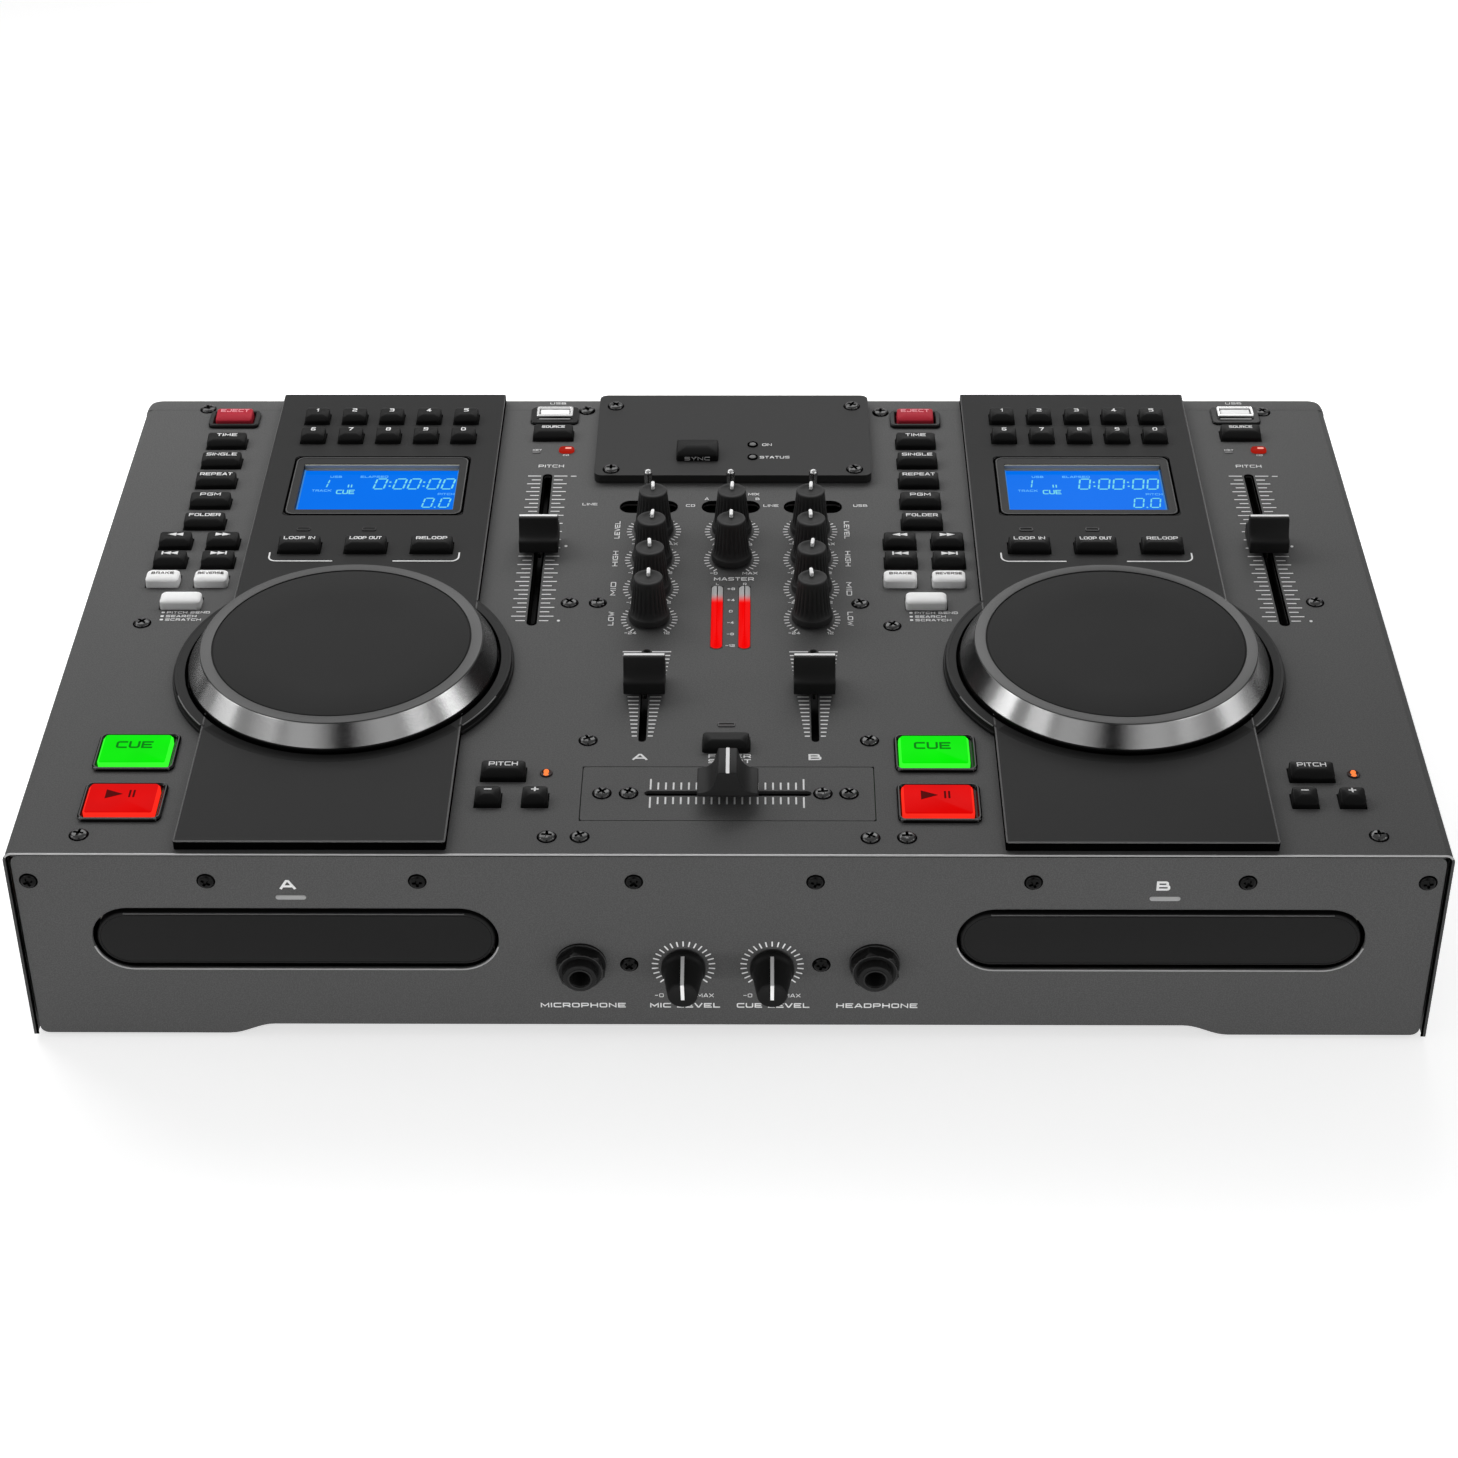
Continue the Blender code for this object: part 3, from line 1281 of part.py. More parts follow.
def center_plate(finish):
    outline = rounded(
        (-PLATE_HALF_WIDTH, at(PLATE_FRONT_Y)), (PLATE_HALF_WIDTH, at(PLATE_BACK_Y)), PLATE_CORNER_RADIUS
    )
    holes = [opening(*PAIRING[0], HOLE_GAP, DECK, PLATE_TOP)]
    part("center_plate", finish, [prism(outline, DECK + SEAT_GAP, PLATE_TOP)], [holes])


def crossfader_plate(finish):
    half_x = CROSS_PLATE_WIDTH / 2
    half_y = CROSS_PLATE_DEPTH / 2
    y = at(CROSS_Y)
    plate = prism(
        rounded((-half_x, y - half_y), (half_x, y + half_y), CROSS_PLATE_CORNER_RADIUS),
        UNDER_DECK,
        DECK,
    )
    gap = prism(slot((0, y), CROSS_SLOT_LENGTH, FADER_SLOT_WIDTH), UNDER_DECK - OVERRUN, DECK + OVERRUN)
    part("crossfader_plate", finish, [plate], [[gap]])


# Rear sockets and power


def phono_places():
    middle_x = (PHONO_COLUMNS - 1) / 2
    middle_z = (PHONO_ROWS - 1) / 2
    return [
        (PHONO_PLATE_X + (column - middle_x) * PHONO_PITCH_X, PHONO_Z + (row - middle_z) * PHONO_PITCH_Z)
        for column in range(PHONO_COLUMNS)
        for row in range(PHONO_ROWS)
    ]


def rear_jacks(finish):
    """The phono sockets on one moulding behind the rear wall."""
    face = BACK_Y - SHEET - SEAT_GAP
    half_x = PHONO_PLATE_WIDTH / 2
    half_z = PHONO_PLATE_HEIGHT / 2
    plate = block(
        (PHONO_PLATE_X - half_x, face - PHONO_PLATE_THICKNESS, PHONO_Z - half_z),
        (PHONO_PLATE_X + half_x, face, PHONO_Z + half_z),
    )
    shells = []
    bores = []
    for x, z in phono_places():
        shells.append(rod((x, z), PHONO_RADIUS, face - EMBED, BACK_Y + PHONO_REACH, "Y", HOLE_SIDES))
        bores.append(
            rod(
                (x, z),
                PHONO_BORE_RADIUS,
                BACK_Y + PHONO_REACH - PHONO_BORE_DEPTH,
                BACK_Y + PHONO_REACH + OVERRUN,
                "Y",
                NUT_SIDES * 2,
            )
        )
    part("rear_jacks", finish, [plate, *shells], [bores])


def power_supply(finish):
    """The mains inlet and switch housing behind one flange, with the supply board they are soldered to."""
    flange_y = BACK_Y + SEAT_GAP
    half_x = INLET_FLANGE_WIDTH / 2
    half_z = INLET_FLANGE_HEIGHT / 2
    mid = INLET_FLANGE_MID_X
    flange = block(
        (
            mid - half_x,
            flange_y,
            POWER_Z - half_z,
        ), (mid + half_x, flange_y + FLANGE_THICKNESS, POWER_Z + half_z)
    )
    rear = flange_y + FLANGE_THICKNESS
    floor = rear - INLET_DEPTH
    shell_x = INLET_WIDTH / 2 + INLET_WALL
    shell_z = INLET_HEIGHT / 2 + INLET_WALL
    inlet = block(
        (
            INLET_X - shell_x,
            floor - INLET_WALL,
            POWER_Z - shell_z,
        ), (INLET_X + shell_x, flange_y + EMBED, POWER_Z + shell_z)
    )
    cup_x = ROCKER_WIDTH / 2 + ROCKER_CUP_GAP
    cup_z = ROCKER_HEIGHT / 2 + ROCKER_CUP_GAP
    cup_y = rear - ROCKER_CUP_DEPTH
    housing = block(
        (SWITCH_X - cup_x - INLET_WALL, cup_y - INLET_WALL, POWER_Z - cup_z - INLET_WALL),
        (SWITCH_X + cup_x + INLET_WALL, flange_y + EMBED, POWER_Z + cup_z + INLET_WALL),
    )
    board_top = SUPPLY_BOARD_Z + SUPPLY_BOARD_THICKNESS
    board = block(
        (
            mid - half_x,
            BACK_Y - SUPPLY_LENGTH,
            SUPPLY_BOARD_Z,
        ), (mid + half_x, BACK_Y - SUPPLY_POST_INSET, board_top)
    )
    leg = block(
        (INLET_X - shell_x, floor - INLET_WALL, board_top - EMBED),
        (INLET_X + shell_x, floor + INLET_WALL, POWER_Z - shell_z + EMBED),
    )
    coil_x = mid - half_x + COIL_BLOCK_INSET
    coil_y = BACK_Y - SUPPLY_LENGTH + COIL_BLOCK_INSET
    coil = block(
        (coil_x, coil_y, board_top - EMBED),
        (coil_x + COIL_BLOCK_WIDTH, coil_y + COIL_BLOCK_LENGTH, board_top + COIL_BLOCK_HEIGHT),
    )
    made = part("power_supply", finish, [flange, inlet])
    combine(made, "UNION", [housing])
    combine(made, "UNION", [leg])
    combine(made, "UNION", [board])
    combine(made, "UNION", [coil])
    recess = block(
        (INLET_X - INLET_WIDTH / 2, floor, POWER_Z - INLET_HEIGHT / 2),
        (INLET_X + INLET_WIDTH / 2, rear + OVERRUN, POWER_Z + INLET_HEIGHT / 2),
    )
    cup = block(
        (SWITCH_X - cup_x, cup_y, POWER_Z - cup_z),
        (SWITCH_X + cup_x, rear + OVERRUN, POWER_Z + cup_z),
    )
    combine(made, "DIFFERENCE", [recess, cup])
    pins = []
    for step, raise_z in ((-1, PIN_RAISE), (0, EARTH_RAISE), (1, PIN_RAISE)):
        x = INLET_X + step * PIN_PITCH_X
        z = POWER_Z + raise_z
        low = (x - PIN_WIDTH / 2, floor - EMBED, z - PIN_HEIGHT / 2)
        pins.append(block(low, (x + PIN_WIDTH / 2, floor + PIN_LENGTH, z + PIN_HEIGHT / 2)))
    combine(made, "UNION", pins)


def power_switch(finish):
    """The rocker, which tips about a line across its cup and rests on one side."""
    face = BACK_Y + SEAT_GAP + FLANGE_THICKNESS
    pivot = (SWITCH_X, face - ROCKER_PROUD, POWER_Z)
    half_x = ROCKER_WIDTH / 2
    half_z = ROCKER_HEIGHT / 2
    low = face - ROCKER_DEPTH
    outline = (
        (low, POWER_Z - half_z),
        (face + ROCKER_PROUD, POWER_Z - half_z),
        (face, POWER_Z),
        (face + ROCKER_PROUD, POWER_Z + half_z),
        (low, POWER_Z + half_z),
    )
    half_neck = ROCKER_NECK / 2
    neck = block(
        (SWITCH_X - half_x / 2, face - ROCKER_CUP_DEPTH + ROCKER_NECK_GAP, POWER_Z - half_neck),
        (SWITCH_X + half_x / 2, low + EMBED, POWER_Z + half_neck),
    )
    rocker = prism(outline, SWITCH_X - half_x, SWITCH_X + half_x, "X")
    made = part("power_switch", finish, [rocker, neck], pivot=pivot)
    made.rotation_euler.x = ROCKER_TILT


def build():
    clear_scene()
    steel = material("painted_steel", (0.10, 0.10, 0.10), 0.55)
    overlay = material("overlay_plastic", (0.045, 0.045, 0.045), 0.45)
    black = material("black_plastic", (0.012, 0.012, 0.012), 0.4)
    rim = material("brushed_rim", (0.45, 0.45, 0.46), 0.3, 1.0)
    glass = material("display_glass", (0.0, 0.22, 1.0), 0.2, 0.0, 1.0)
    green = material("cue_lens", (0.0, 1.0, 0.0), 0.3, 0.0, 1.0)
    red = material("play_lens", (0.9, 0.0, 0.0), 0.3, 0.0, 1.0)
    rose = material("eject_plastic", (0.6, 0.04, 0.07), 0.35)
    board = material("circuit_board", (0.02, 0.12, 0.05), 0.5)
    zinc = material("zinc_steel", (0.55, 0.55, 0.56), 0.4, 1.0)
    chrome = material("chrome", (0.7, 0.7, 0.7), 0.15, 1.0)

    top_cover(steel)
    front_panel(steel)
    chassis(steel)
    center_plate(overlay)
    crossfader_plate(steel)
    control_board(board)
    front_board(board)
    rear_jacks(black)
    power_supply(black)
    power_switch(black)
    for side_name, deck_x in DECKS:
        deck_panel(f"deck_panel_{side_name}", overlay, deck_x)
        display(f"display_{side_name}", glass, deck_x)
        jog_wheel(f"jog_wheel_{side_name}", rim, deck_x)
        key_group(f"number_keys_{side_name}", black, number_keys(deck_x), PANEL_TOP)
        key_group(f"loop_keys_{side_name}", black, loop_keys(deck_x), PANEL_TOP)
        key_group(f"function_keys_{side_name}", black, function_keys(deck_x), DECK)
        key_group(f"eject_key_{side_name}", rose, eject_key(deck_x), DECK)
        key_group(f"source_key_{side_name}", black, source_key(deck_x), DECK)
        key_group(f"pitch_keys_{side_name}", black, pitch_keys(deck_x), DECK)
        lit_key(f"cue_button_{side_name}", green, start_key(deck_x, CUE_Y))
        lit_key(f"play_button_{side_name}", red, start_key(deck_x, PLAY_Y))
        fader_cap(
            f"pitch_fader_{side_name}", black, deck_x + PITCH_FADER_X, PITCH_SLOT_MID_Y, 1, FADER_CAP_LENGTH
        )
    for side_name, side in SIDES:
        disc_drive(f"disc_drive_{side_name}", zinc, side * TRAY_X)
        disc_tray(f"disc_tray_{side_name}", black, side * TRAY_X)
        fader_cap(
            f"channel_fader_{side_name}",
            black,
            side * CHANNEL_X,
            CHANNEL_REST_Y,
            1,
            FADER_CAP_LENGTH,
        )
        for band, y in zip(("level", "high", "mid", "low"), KNOB_YS):
            knob(f"{band}_knob_{side_name}", black, side * KNOB_XS[1], y)
    for knob_name, y in zip(("cue_mix_knob", "master_knob"), MIDDLE_KNOB_YS):
        knob(knob_name, black, 0, y)
    for knob_name, side in (("microphone_knob", -1), ("headphone_knob", 1)):
        front_knob(knob_name, black, side * FRONT_KNOB_X)
    jack("microphone_jack", black, -JACK_X)
    jack("headphone_jack", black, JACK_X)
    for toggle_name, x in zip(("input_toggle_left", "cue_toggle", "input_toggle_right"), TOGGLE_XS):
        toggle(toggle_name, chrome, x)
    fader_cap("crossfader", black, 0, CROSS_Y, 0, CROSS_CAP_LENGTH)
    key_group("fader_start_key", black, START_ALL, DECK)
    key_group("pairing_key", black, PAIRING, PLATE_TOP, PAIRING_RISE)


build()
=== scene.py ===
"""Looks for the two-deck disc player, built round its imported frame. Metres, +Z up."""

import math

import bmesh
import bpy
from mathutils import Matrix, Vector


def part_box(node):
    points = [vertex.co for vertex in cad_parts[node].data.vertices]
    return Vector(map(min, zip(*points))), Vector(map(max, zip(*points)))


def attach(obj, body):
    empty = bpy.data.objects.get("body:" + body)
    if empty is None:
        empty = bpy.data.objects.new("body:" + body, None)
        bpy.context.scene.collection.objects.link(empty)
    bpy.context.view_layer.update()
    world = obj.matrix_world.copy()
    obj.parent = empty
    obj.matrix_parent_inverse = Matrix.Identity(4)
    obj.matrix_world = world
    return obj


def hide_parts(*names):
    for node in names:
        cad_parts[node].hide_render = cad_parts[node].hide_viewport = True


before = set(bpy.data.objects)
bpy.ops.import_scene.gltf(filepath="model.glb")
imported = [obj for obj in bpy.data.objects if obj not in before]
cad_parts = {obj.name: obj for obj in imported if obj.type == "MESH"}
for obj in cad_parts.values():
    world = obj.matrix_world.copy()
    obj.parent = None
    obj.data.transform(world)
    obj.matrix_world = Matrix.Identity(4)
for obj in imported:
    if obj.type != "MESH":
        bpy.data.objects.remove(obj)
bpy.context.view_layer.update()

MM = 0.001
FRONT_Y = -0.147
BACK_Y = 0.153
DECK = 0.0815
PANEL_TOP = DECK + 0.0035
PLATE_TOP = DECK + 0.0038
PANEL_FACE_Y = FRONT_Y + 0.0008
HALF_WIDTH = 0.241
FILM = 0.00006
CASING = "casing"
DECKS = (("left", -0.1388), ("right", 0.1378))
SIDES = (("left", -1), ("right", 1))
QUARTER = math.pi / 2


def at(y):
    """A distance back from the front panel, as a world Y."""
    return FRONT_Y + y


def srgb(code):
    """A display colour such as "5e5e5e" as linear values with alpha."""
    values = [int(code[i : i + 2], 16) / 255 for i in (0, 2, 4)]
    return (*[v / 12.92 if v <= 0.04045 else ((v + 0.055) / 1.055) ** 2.4 for v in values], 1.0)


# Material nodes


def node(tree, kind, **settings):
    made = tree.nodes.new(kind)
    for key, value in settings.items():
        if key in made.inputs:
            made.inputs[key].default_value = value
        else:
            setattr(made, key, value)
    return made


def fed(tree, made, values, output):
    """Gives a node its inputs, each a socket or a constant, and returns one of its outputs."""
    for key, value in values:
        if isinstance(value, bpy.types.NodeSocket):
            tree.links.new(value, made.inputs[key])
        else:
            made.inputs[key].default_value = value
    return made.outputs[output]


def maths(tree, operation, *values):
    return fed(tree, node(tree, "ShaderNodeMath", operation=operation), enumerate(values), "Value")


def vectors(tree, operation, *values, output="Vector"):
    return fed(tree, node(tree, "ShaderNodeVectorMath", operation=operation), enumerate(values), output)


def scaled(tree, vector, factor):
    made = node(tree, "ShaderNodeVectorMath", operation="SCALE")
    return fed(tree, made, ((0, vector), ("Scale", factor)), "Vector")


def ranged(tree, value, low, high, start=0.0, end=1.0, kind="LINEAR"):
    made = node(tree, "ShaderNodeMapRange", interpolation_type=kind)
    limits = (("From Min", start), ("From Max", end), ("To Min", low), ("To Max", high))
    return fed(tree, made, (("Value", value), *limits), "Result")


def split(tree, vector):
    made = node(tree, "ShaderNodeSeparateXYZ")
    tree.links.new(vector, made.inputs["Vector"])
    return made.outputs


def noise(tree, where, size, detail, roughness=0.5):
    """Noise whose lumps are size millimetres wide."""
    made = node(tree, "ShaderNodeTexNoise", Scale=1000 / size, Detail=detail, Roughness=roughness)
    return fed(tree, made, (("Vector", where),), "Fac")


def bumped(tree, height, strength, distance):
    made = node(tree, "ShaderNodeBump", Strength=strength, Distance=distance)
    tree.links.new(fed(tree, made, (("Height", height),), "Normal"), shader_of(tree).inputs["Normal"])


def object_place(tree):
    return node(tree, "ShaderNodeTexCoord").outputs["Object"]


def shader_of(tree):
    return tree.nodes["Principled BSDF"]


def recoloured(material, factor, first=None, second=None):
    """Blends two colours into a material's base by a factor; None stands for the colour it has."""
    tree = material.node_tree
    base = shader_of(tree).inputs["Base Color"]
    own = base.links[0].from_socket
    mix = node(tree, "ShaderNodeMix", data_type="RGBA")
    ends = (("A", srgb(first) if first else own), ("B", srgb(second) if second else own))
    tree.links.new(fed(tree, mix, (("Factor", factor), *ends), "Result"), base)
    return material


def surface(
    name,
    colour,
    roughness,
    metallic=0.0,
    grain=0.0,
    grain_size=0.4,
    mottle=0.06,
    mottle_size=30,
    speck=0.0,
    rough_spread=0.05,
    shine=0.12,
    ior=1.3,
):
    """A material whose colour and roughness drift slightly, with a fine bump of grain_size millimetres."""
    made = bpy.data.materials.new(name)
    made.use_nodes = True
    tree = made.node_tree
    shader = shader_of(tree)
    where = object_place(tree)
    drift = noise(tree, where, mottle_size, 3.0, 0.6)
    fine = noise(tree, where, grain_size, 2.0, 0.55)
    shown = scaled(tree, srgb(colour)[:3], ranged(tree, drift, 1 - mottle, 1 + mottle))
    if speck:
        shown = scaled(tree, shown, ranged(tree, fine, 1 - speck, 1 + speck, 0.42, 0.60))
    tree.links.new(shown, shader.inputs["Base Color"])
    gloss = ranged(tree, drift, roughness - rough_spread, roughness + rough_spread)
    tree.links.new(gloss, shader.inputs["Roughness"])
    if grain:
        bumped(tree, fine, grain, grain_size * MM * 0.2)
    shader.inputs["Metallic"].default_value = metallic
    shader.inputs["Specular IOR Level"].default_value = 0.5 if metallic else shine
    shader.inputs["IOR"].default_value = ior
    return made


def glowing(name, colour, strength, base="101010", roughness=0.25, grain_size=1.5, spread=0.12):
    """A lens lit from behind, a little uneven."""
    made = surface(name, base, roughness, mottle=0.1, shine=0.1, ior=1.12)
    tree = made.node_tree
    drift = noise(tree, object_place(tree), grain_size * 10, 1.0)
    shader_of(tree).inputs["Emission Color"].default_value = srgb(colour)
    power = ranged(tree, drift, strength * (1 - spread), strength * (1 + spread))
    tree.links.new(power, shader_of(tree).inputs["Emission Strength"])
    return made


def turned_metal(name, colour, roughness, lines, anisotropy):
    """Metal turned on a lathe about its object's own Z axis: fine rings, and streaks that fan out."""
    made = surface(name, colour, roughness, 1.0, mottle=0.05)
    tree = made.node_tree
    where = object_place(tree)
    axes = split(tree, where)
    angle = maths(tree, "ARCTAN2", axes["Y"], axes["X"])
    radius = vectors(tree, "LENGTH", vectors(tree, "MULTIPLY", where, (1, 1, 0)), output="Value")
    polar = node(tree, "ShaderNodeCombineXYZ")
    tree.links.new(maths(tree, "MULTIPLY", maths(tree, "SINE", angle), 0.004), polar.inputs["X"])
    tree.links.new(maths(tree, "SUBTRACT", radius, axes["Z"]), polar.inputs["Y"])
    bumped(tree, noise(tree, polar.outputs["Vector"], lines, 3.0, 0.7), 0.35, lines * MM * 0.25)
    shader = shader_of(tree)
    tangent = node(tree, "ShaderNodeTangent", direction_type="RADIAL", axis="Z")
    tree.links.new(tangent.outputs["Tangent"], shader.inputs["Tangent"])
    shader.inputs["Anisotropic"].default_value = anisotropy
    shader.inputs["Anisotropic Rotation"].default_value = 0.25
    return made


# Materials. Fine is a moulded plastic's grain, and coat is that of the sprayed sheet.

fine = {"grain": 0.1, "grain_size": 0.3}
coat = {"grain": 0.5, "grain_size": 0.45, "mottle": 0.03, "mottle_size": 60}
smooth_film = {"grain": 0.1, "grain_size": 0.25, "mottle": 0.03, "mottle_size": 50, "shine": 0.1}
printed = {"mottle": 0.05, "mottle_size": 3}
small = {"grain_size": 0.3, "mottle": 0.08, "mottle_size": 8}
handled = {"grain_size": 0.25, "mottle": 0.08, "mottle_size": 6, "shine": 0.3}

paint = surface("powder_coat", "595959", 0.5, speck=0.10, **coat)
front_paint = surface("front_coat", "575757", 0.5, speck=0.12, **coat)
overlay = surface("overlay", "333333", 0.42, grain=0.12, grain_size=0.25, mottle=0.03, mottle_size=50)
ring_black = surface("ring_plastic", "1e1e1e", 0.38, grain=0.15, grain_size=0.3, shine=0.25, ior=1.2)
# The cover sheet's cut edge on the sides, darker than on top: painted shade
shaded_edge_paint = surface("shaded_edge_paint", "484848", 0.55, grain=0.2, grain_size=0.3)
film_black = surface("film", "2b2b2b", 0.45, **smooth_film)
# The cover sheet's cut edge along the top, pale: a painted highlight
lit_edge_paint = surface("lit_sheet_edge_paint", "a2a2a2", 0.4, 0.3, grain=0.2, grain_size=0.3)
key_black = surface("key_plastic", "181818", 0.34, grain=0.2, shine=0.3, ior=1.17, **small)
knob_black = surface("knob_rubber", "343434", 0.45, grain=0.3, ior=1.2, **handled)
front_knob_black = surface("front_knob", "1e1e1e", 0.42, grain=0.15, ior=1.17, **handled)
cap_grain = {"grain": 0.12, "grain_size": 0.25, "mottle": 0.06, "mottle_size": 8}
cap_black = surface("cap_plastic", "262626", 0.42, shine=0.25, ior=1.2, **cap_grain)
gloss_black = surface("gloss_plastic", "080808", 0.2, grain=0.05, grain_size=0.5, shine=0.3)
hollow = surface("inner_black", "060606", 0.8, mottle=0.1)
ink = surface("white_ink", "ececec", 0.5, **printed)
white_key = surface("white_key", "fcfcfc", 0.42, grain=0.1, mottle=0.05, mottle_size=8, shine=0.2)
rose = surface("eject_plastic", "b02c3a", 0.35, grain=0.1, shine=0.2, ior=1.2, **small)
rose_ink = surface("eject_print", "f0a0aa", 0.5, **printed)
pointer_white = surface("pointer_white", "fbfbfb", 0.4, mottle=0.04, mottle_size=3)
# A paler line, a painted highlight on knob skirts and on jack nuts and washers
painted_edge_glint = surface("painted_edge_glint", "3f3f3f", 0.3, mottle=0.05)
# Near black for painted shadows in gaps, slots and round screws; also the plate lamps' black collars
shadow_black_paint = surface("shadow_black", "030303", 0.8, mottle=0.1, shine=0.0, ior=1.05)
# A pale line, a painted highlight on edges
painted_highlight_line = surface("painted_highlight_line", "5c5c5c", 0.4, mottle=0.05)
edge_black = surface("edge_plastic", "161616", 0.25, grain=0.08, grain_size=0.3, shine=0.35)
# The tray lamps' pale window, also a painted highlight along the tray slots
pale_window_and_glint = surface("lamp_window_and_glint", "a6a6a6", 0.35, grain=0.1, mottle=0.06, mottle_size=4)
bezel_grey = surface("bezel_plastic", "1e1e1e", 0.3, grain=0.08, grain_size=0.3, shine=0.3)
# Pale grey for painted glints on edges, also the plate lamps' domes
glint_and_lamp_grey = surface("glint_and_lamp_grey_paint", "747474", 0.35, grain=0.08, grain_size=0.3)
red_ring = surface("red_plastic", "b01818", 0.4, grain=0.08)
screw_steel = surface("screw_steel", "383838", 0.2, 1.0, rough_spread=0.08, **fine)
screw_black = surface("screw_black", "070707", 0.2, shine=0.35, ior=1.25, **fine)
chrome = surface("chrome", "8c8c8c", 0.2, 1.0, grain=0.03, grain_size=0.6)
shell_steel = surface("shell_steel", "c9c9c9", 0.24, 1.0, grain=0.08, grain_size=0.3)
zinc = surface("zinc_sheet", "a5a5a0", 0.38, 1.0, grain=0.2, grain_size=0.8, mottle=0.15, mottle_size=6)
gold = surface("gold_contact", "d8b060", 0.25, 1.0, grain=0.05, grain_size=0.3)
board_green = surface("circuit_board", "1d4a2c", 0.45, grain=0.2, grain_size=0.6, mottle=0.15, mottle_size=5)
display_frame = surface("display_frame", "303030", 0.35, **fine)
disc_matte = surface("wheel_top", "2f2f2f", 0.6, grain=0.2, grain_size=0.3, mottle=0.02, shine=0.1)
rim_grey = turned_metal("turned_rim", "373737", 0.42, 0.16, 0.5)
bevel_metal = turned_metal("turned_bevel", "787878", 0.20, 0.2, 0.6)
jack_gloss = surface("jack_plastic", "1b1b1b", 0.24, grain=0.05, shine=0.4, ior=1.25)
jack_ring = surface("jack_ring", "2c2c2c", 0.22, 0.7, grain=0.05)
tray_black = surface("tray_plastic", "1e1e1e", 0.38, grain=0.2, grain_size=0.3, shine=0.2)
lcd_wall = surface("display_wall", "b8b8a8", 0.35, grain=0.05, grain_size=0.5)
led_off = surface("led_off", "6e6e6e", 0.3, mottle=0.1)
led_dark = surface("led_dark", "3a3030", 0.3, mottle=0.1)
led_smoke = surface("led_smoke", "343030", 0.2, mottle=0.1)
meter_rim = surface("meter_rim", "6a1410", 0.4, mottle=0.05)
lcd_rim = glowing("display_edge", "40a0ff", 0.5, "405060")
lcd_blue = glowing("lcd_blue", "0071ee", 1.0, "000408", 0.15, 4.0, 0.05)
lcd_text = glowing("lcd_digits", "80e8f4", 0.9, "102028")
lcd_dim = glowing("lcd_small", "60b8ff", 1.0, "203040")
lens_green = glowing("cue_lens", "00f400", 0.95, "000400", 0.3)
lens_green_edge = glowing("cue_lens_edge", "38ff30", 1.0, "104010", 0.25)
lens_red = glowing("play_lens", "e40000", 0.95, "040000", 0.3)
lens_red_edge = glowing("play_lens_edge", "ff2a1c", 1.0, "401010", 0.25)
led_red = glowing("led_red", "a01c10", 1.0, "300000")
led_core = glowing("led_core", "ffb0a0", 1.0, "400000")
led_orange = glowing("led_orange", "ff8040", 1.2, "501000")
marks_blue = glowing("lens_print_green", "008a10", 0.8, "000400", 0.4)
marks_red = glowing("lens_print_red", "5c0000", 0.8, "040000", 0.4)


def meter_material():
    """Lit red from the front of the bar, fading to grey glass at its back."""
    made = surface("level_bar", "8f8f8f", 0.35, mottle=0.04, shine=0.1, ior=1.12)
    tree = made.node_tree
    y = split(tree, object_place(tree))["Y"]
    share = ranged(tree, y, 0.0, 1.0, at(0.1500), at(0.1565), "SMOOTHSTEP")
    tree.links.new(ranged(tree, share, 0.95, 0.0), shader_of(tree).inputs["Emission Strength"])
    shader_of(tree).inputs["Emission Color"].default_value = srgb("f80505")
    return recoloured(made, share, "080000", "b8b8b8")


def board_material():
    """The board is green, what stands on it is black, and shafts and sockets are bare metal."""
    made = surface("board_and_parts", "1d4a2c", 0.45, grain=0.2, grain_size=0.6, mottle=0.12, mottle_size=5)
    tree = made.node_tree
    board_face = 0.0673
    above = maths(tree, "GREATER_THAN", split(tree, object_place(tree))["Z"], board_face)
    return recoloured(made, above, None, "0a0a0a")


def panel_material():
    """The film's colour on level faces, and near black on everything that stands up: the moulding's own
    black, deepened by painted shade.
    """
    made = surface("deck_film", "2b2b2b", 0.45, **smooth_film)
    tree = made.node_tree
    normal = node(tree, "ShaderNodeNewGeometry").outputs["True Normal"]
    level = maths(tree, "GREATER_THAN", split(tree, normal)["Z"], 0.9)
    return recoloured(made, level, "030303")


def shade_material():
    """A painted shadow of the wheel on the surround in front of it: darkest next to the wheel, fading into
    the film outwards and to the sides.
    """
    made = surface("surround_shade", "1c1c1c", 0.5, shine=0.05, mottle=0.03, mottle_size=50)
    tree = made.node_tree
    where = object_place(tree)
    radius = vectors(tree, "LENGTH", vectors(tree, "MULTIPLY", where, (1, 1, 0)), output="Value")
    outward = ranged(tree, radius, 0.0, 1.0, 0.0580, 0.0606, "SMOOTHSTEP")
    sideways = ranged(tree, split(tree, where)["Y"], 0.0, 1.0, -0.050, -0.030, "SMOOTHSTEP")
    return recoloured(made, maths(tree, "MAXIMUM", outward, sideways), None, "2b2b2b")


meter = meter_material()
film = panel_material()
shade = shade_material()

# Solids, kept as bmesh data until a Shape takes them


def with_normals(made):
    bmesh.ops.recalc_face_normals(made, faces=made.faces)
    return made


def welded(made, distance=1e-7):
    bmesh.ops.remove_doubles(made, verts=made.verts, dist=distance)
    return with_normals(made)


def lofted(rings, closed_ends=True):
    """Skins a list of rings, each a list of points in the same order."""
    made = bmesh.new()
    rows = [[made.verts.new(p) for p in ring] for ring in rings]
    count = len(rows[0])
    for low, high in zip(rows, rows[1:]):
        for i in range(count):
            j = (i + 1) % count
            made.faces.new((low[i], low[j], high[j], high[i]))
    if closed_ends:
        made.faces.new(rows[0][::-1])
        made.faces.new(rows[-1])
    return with_normals(made)


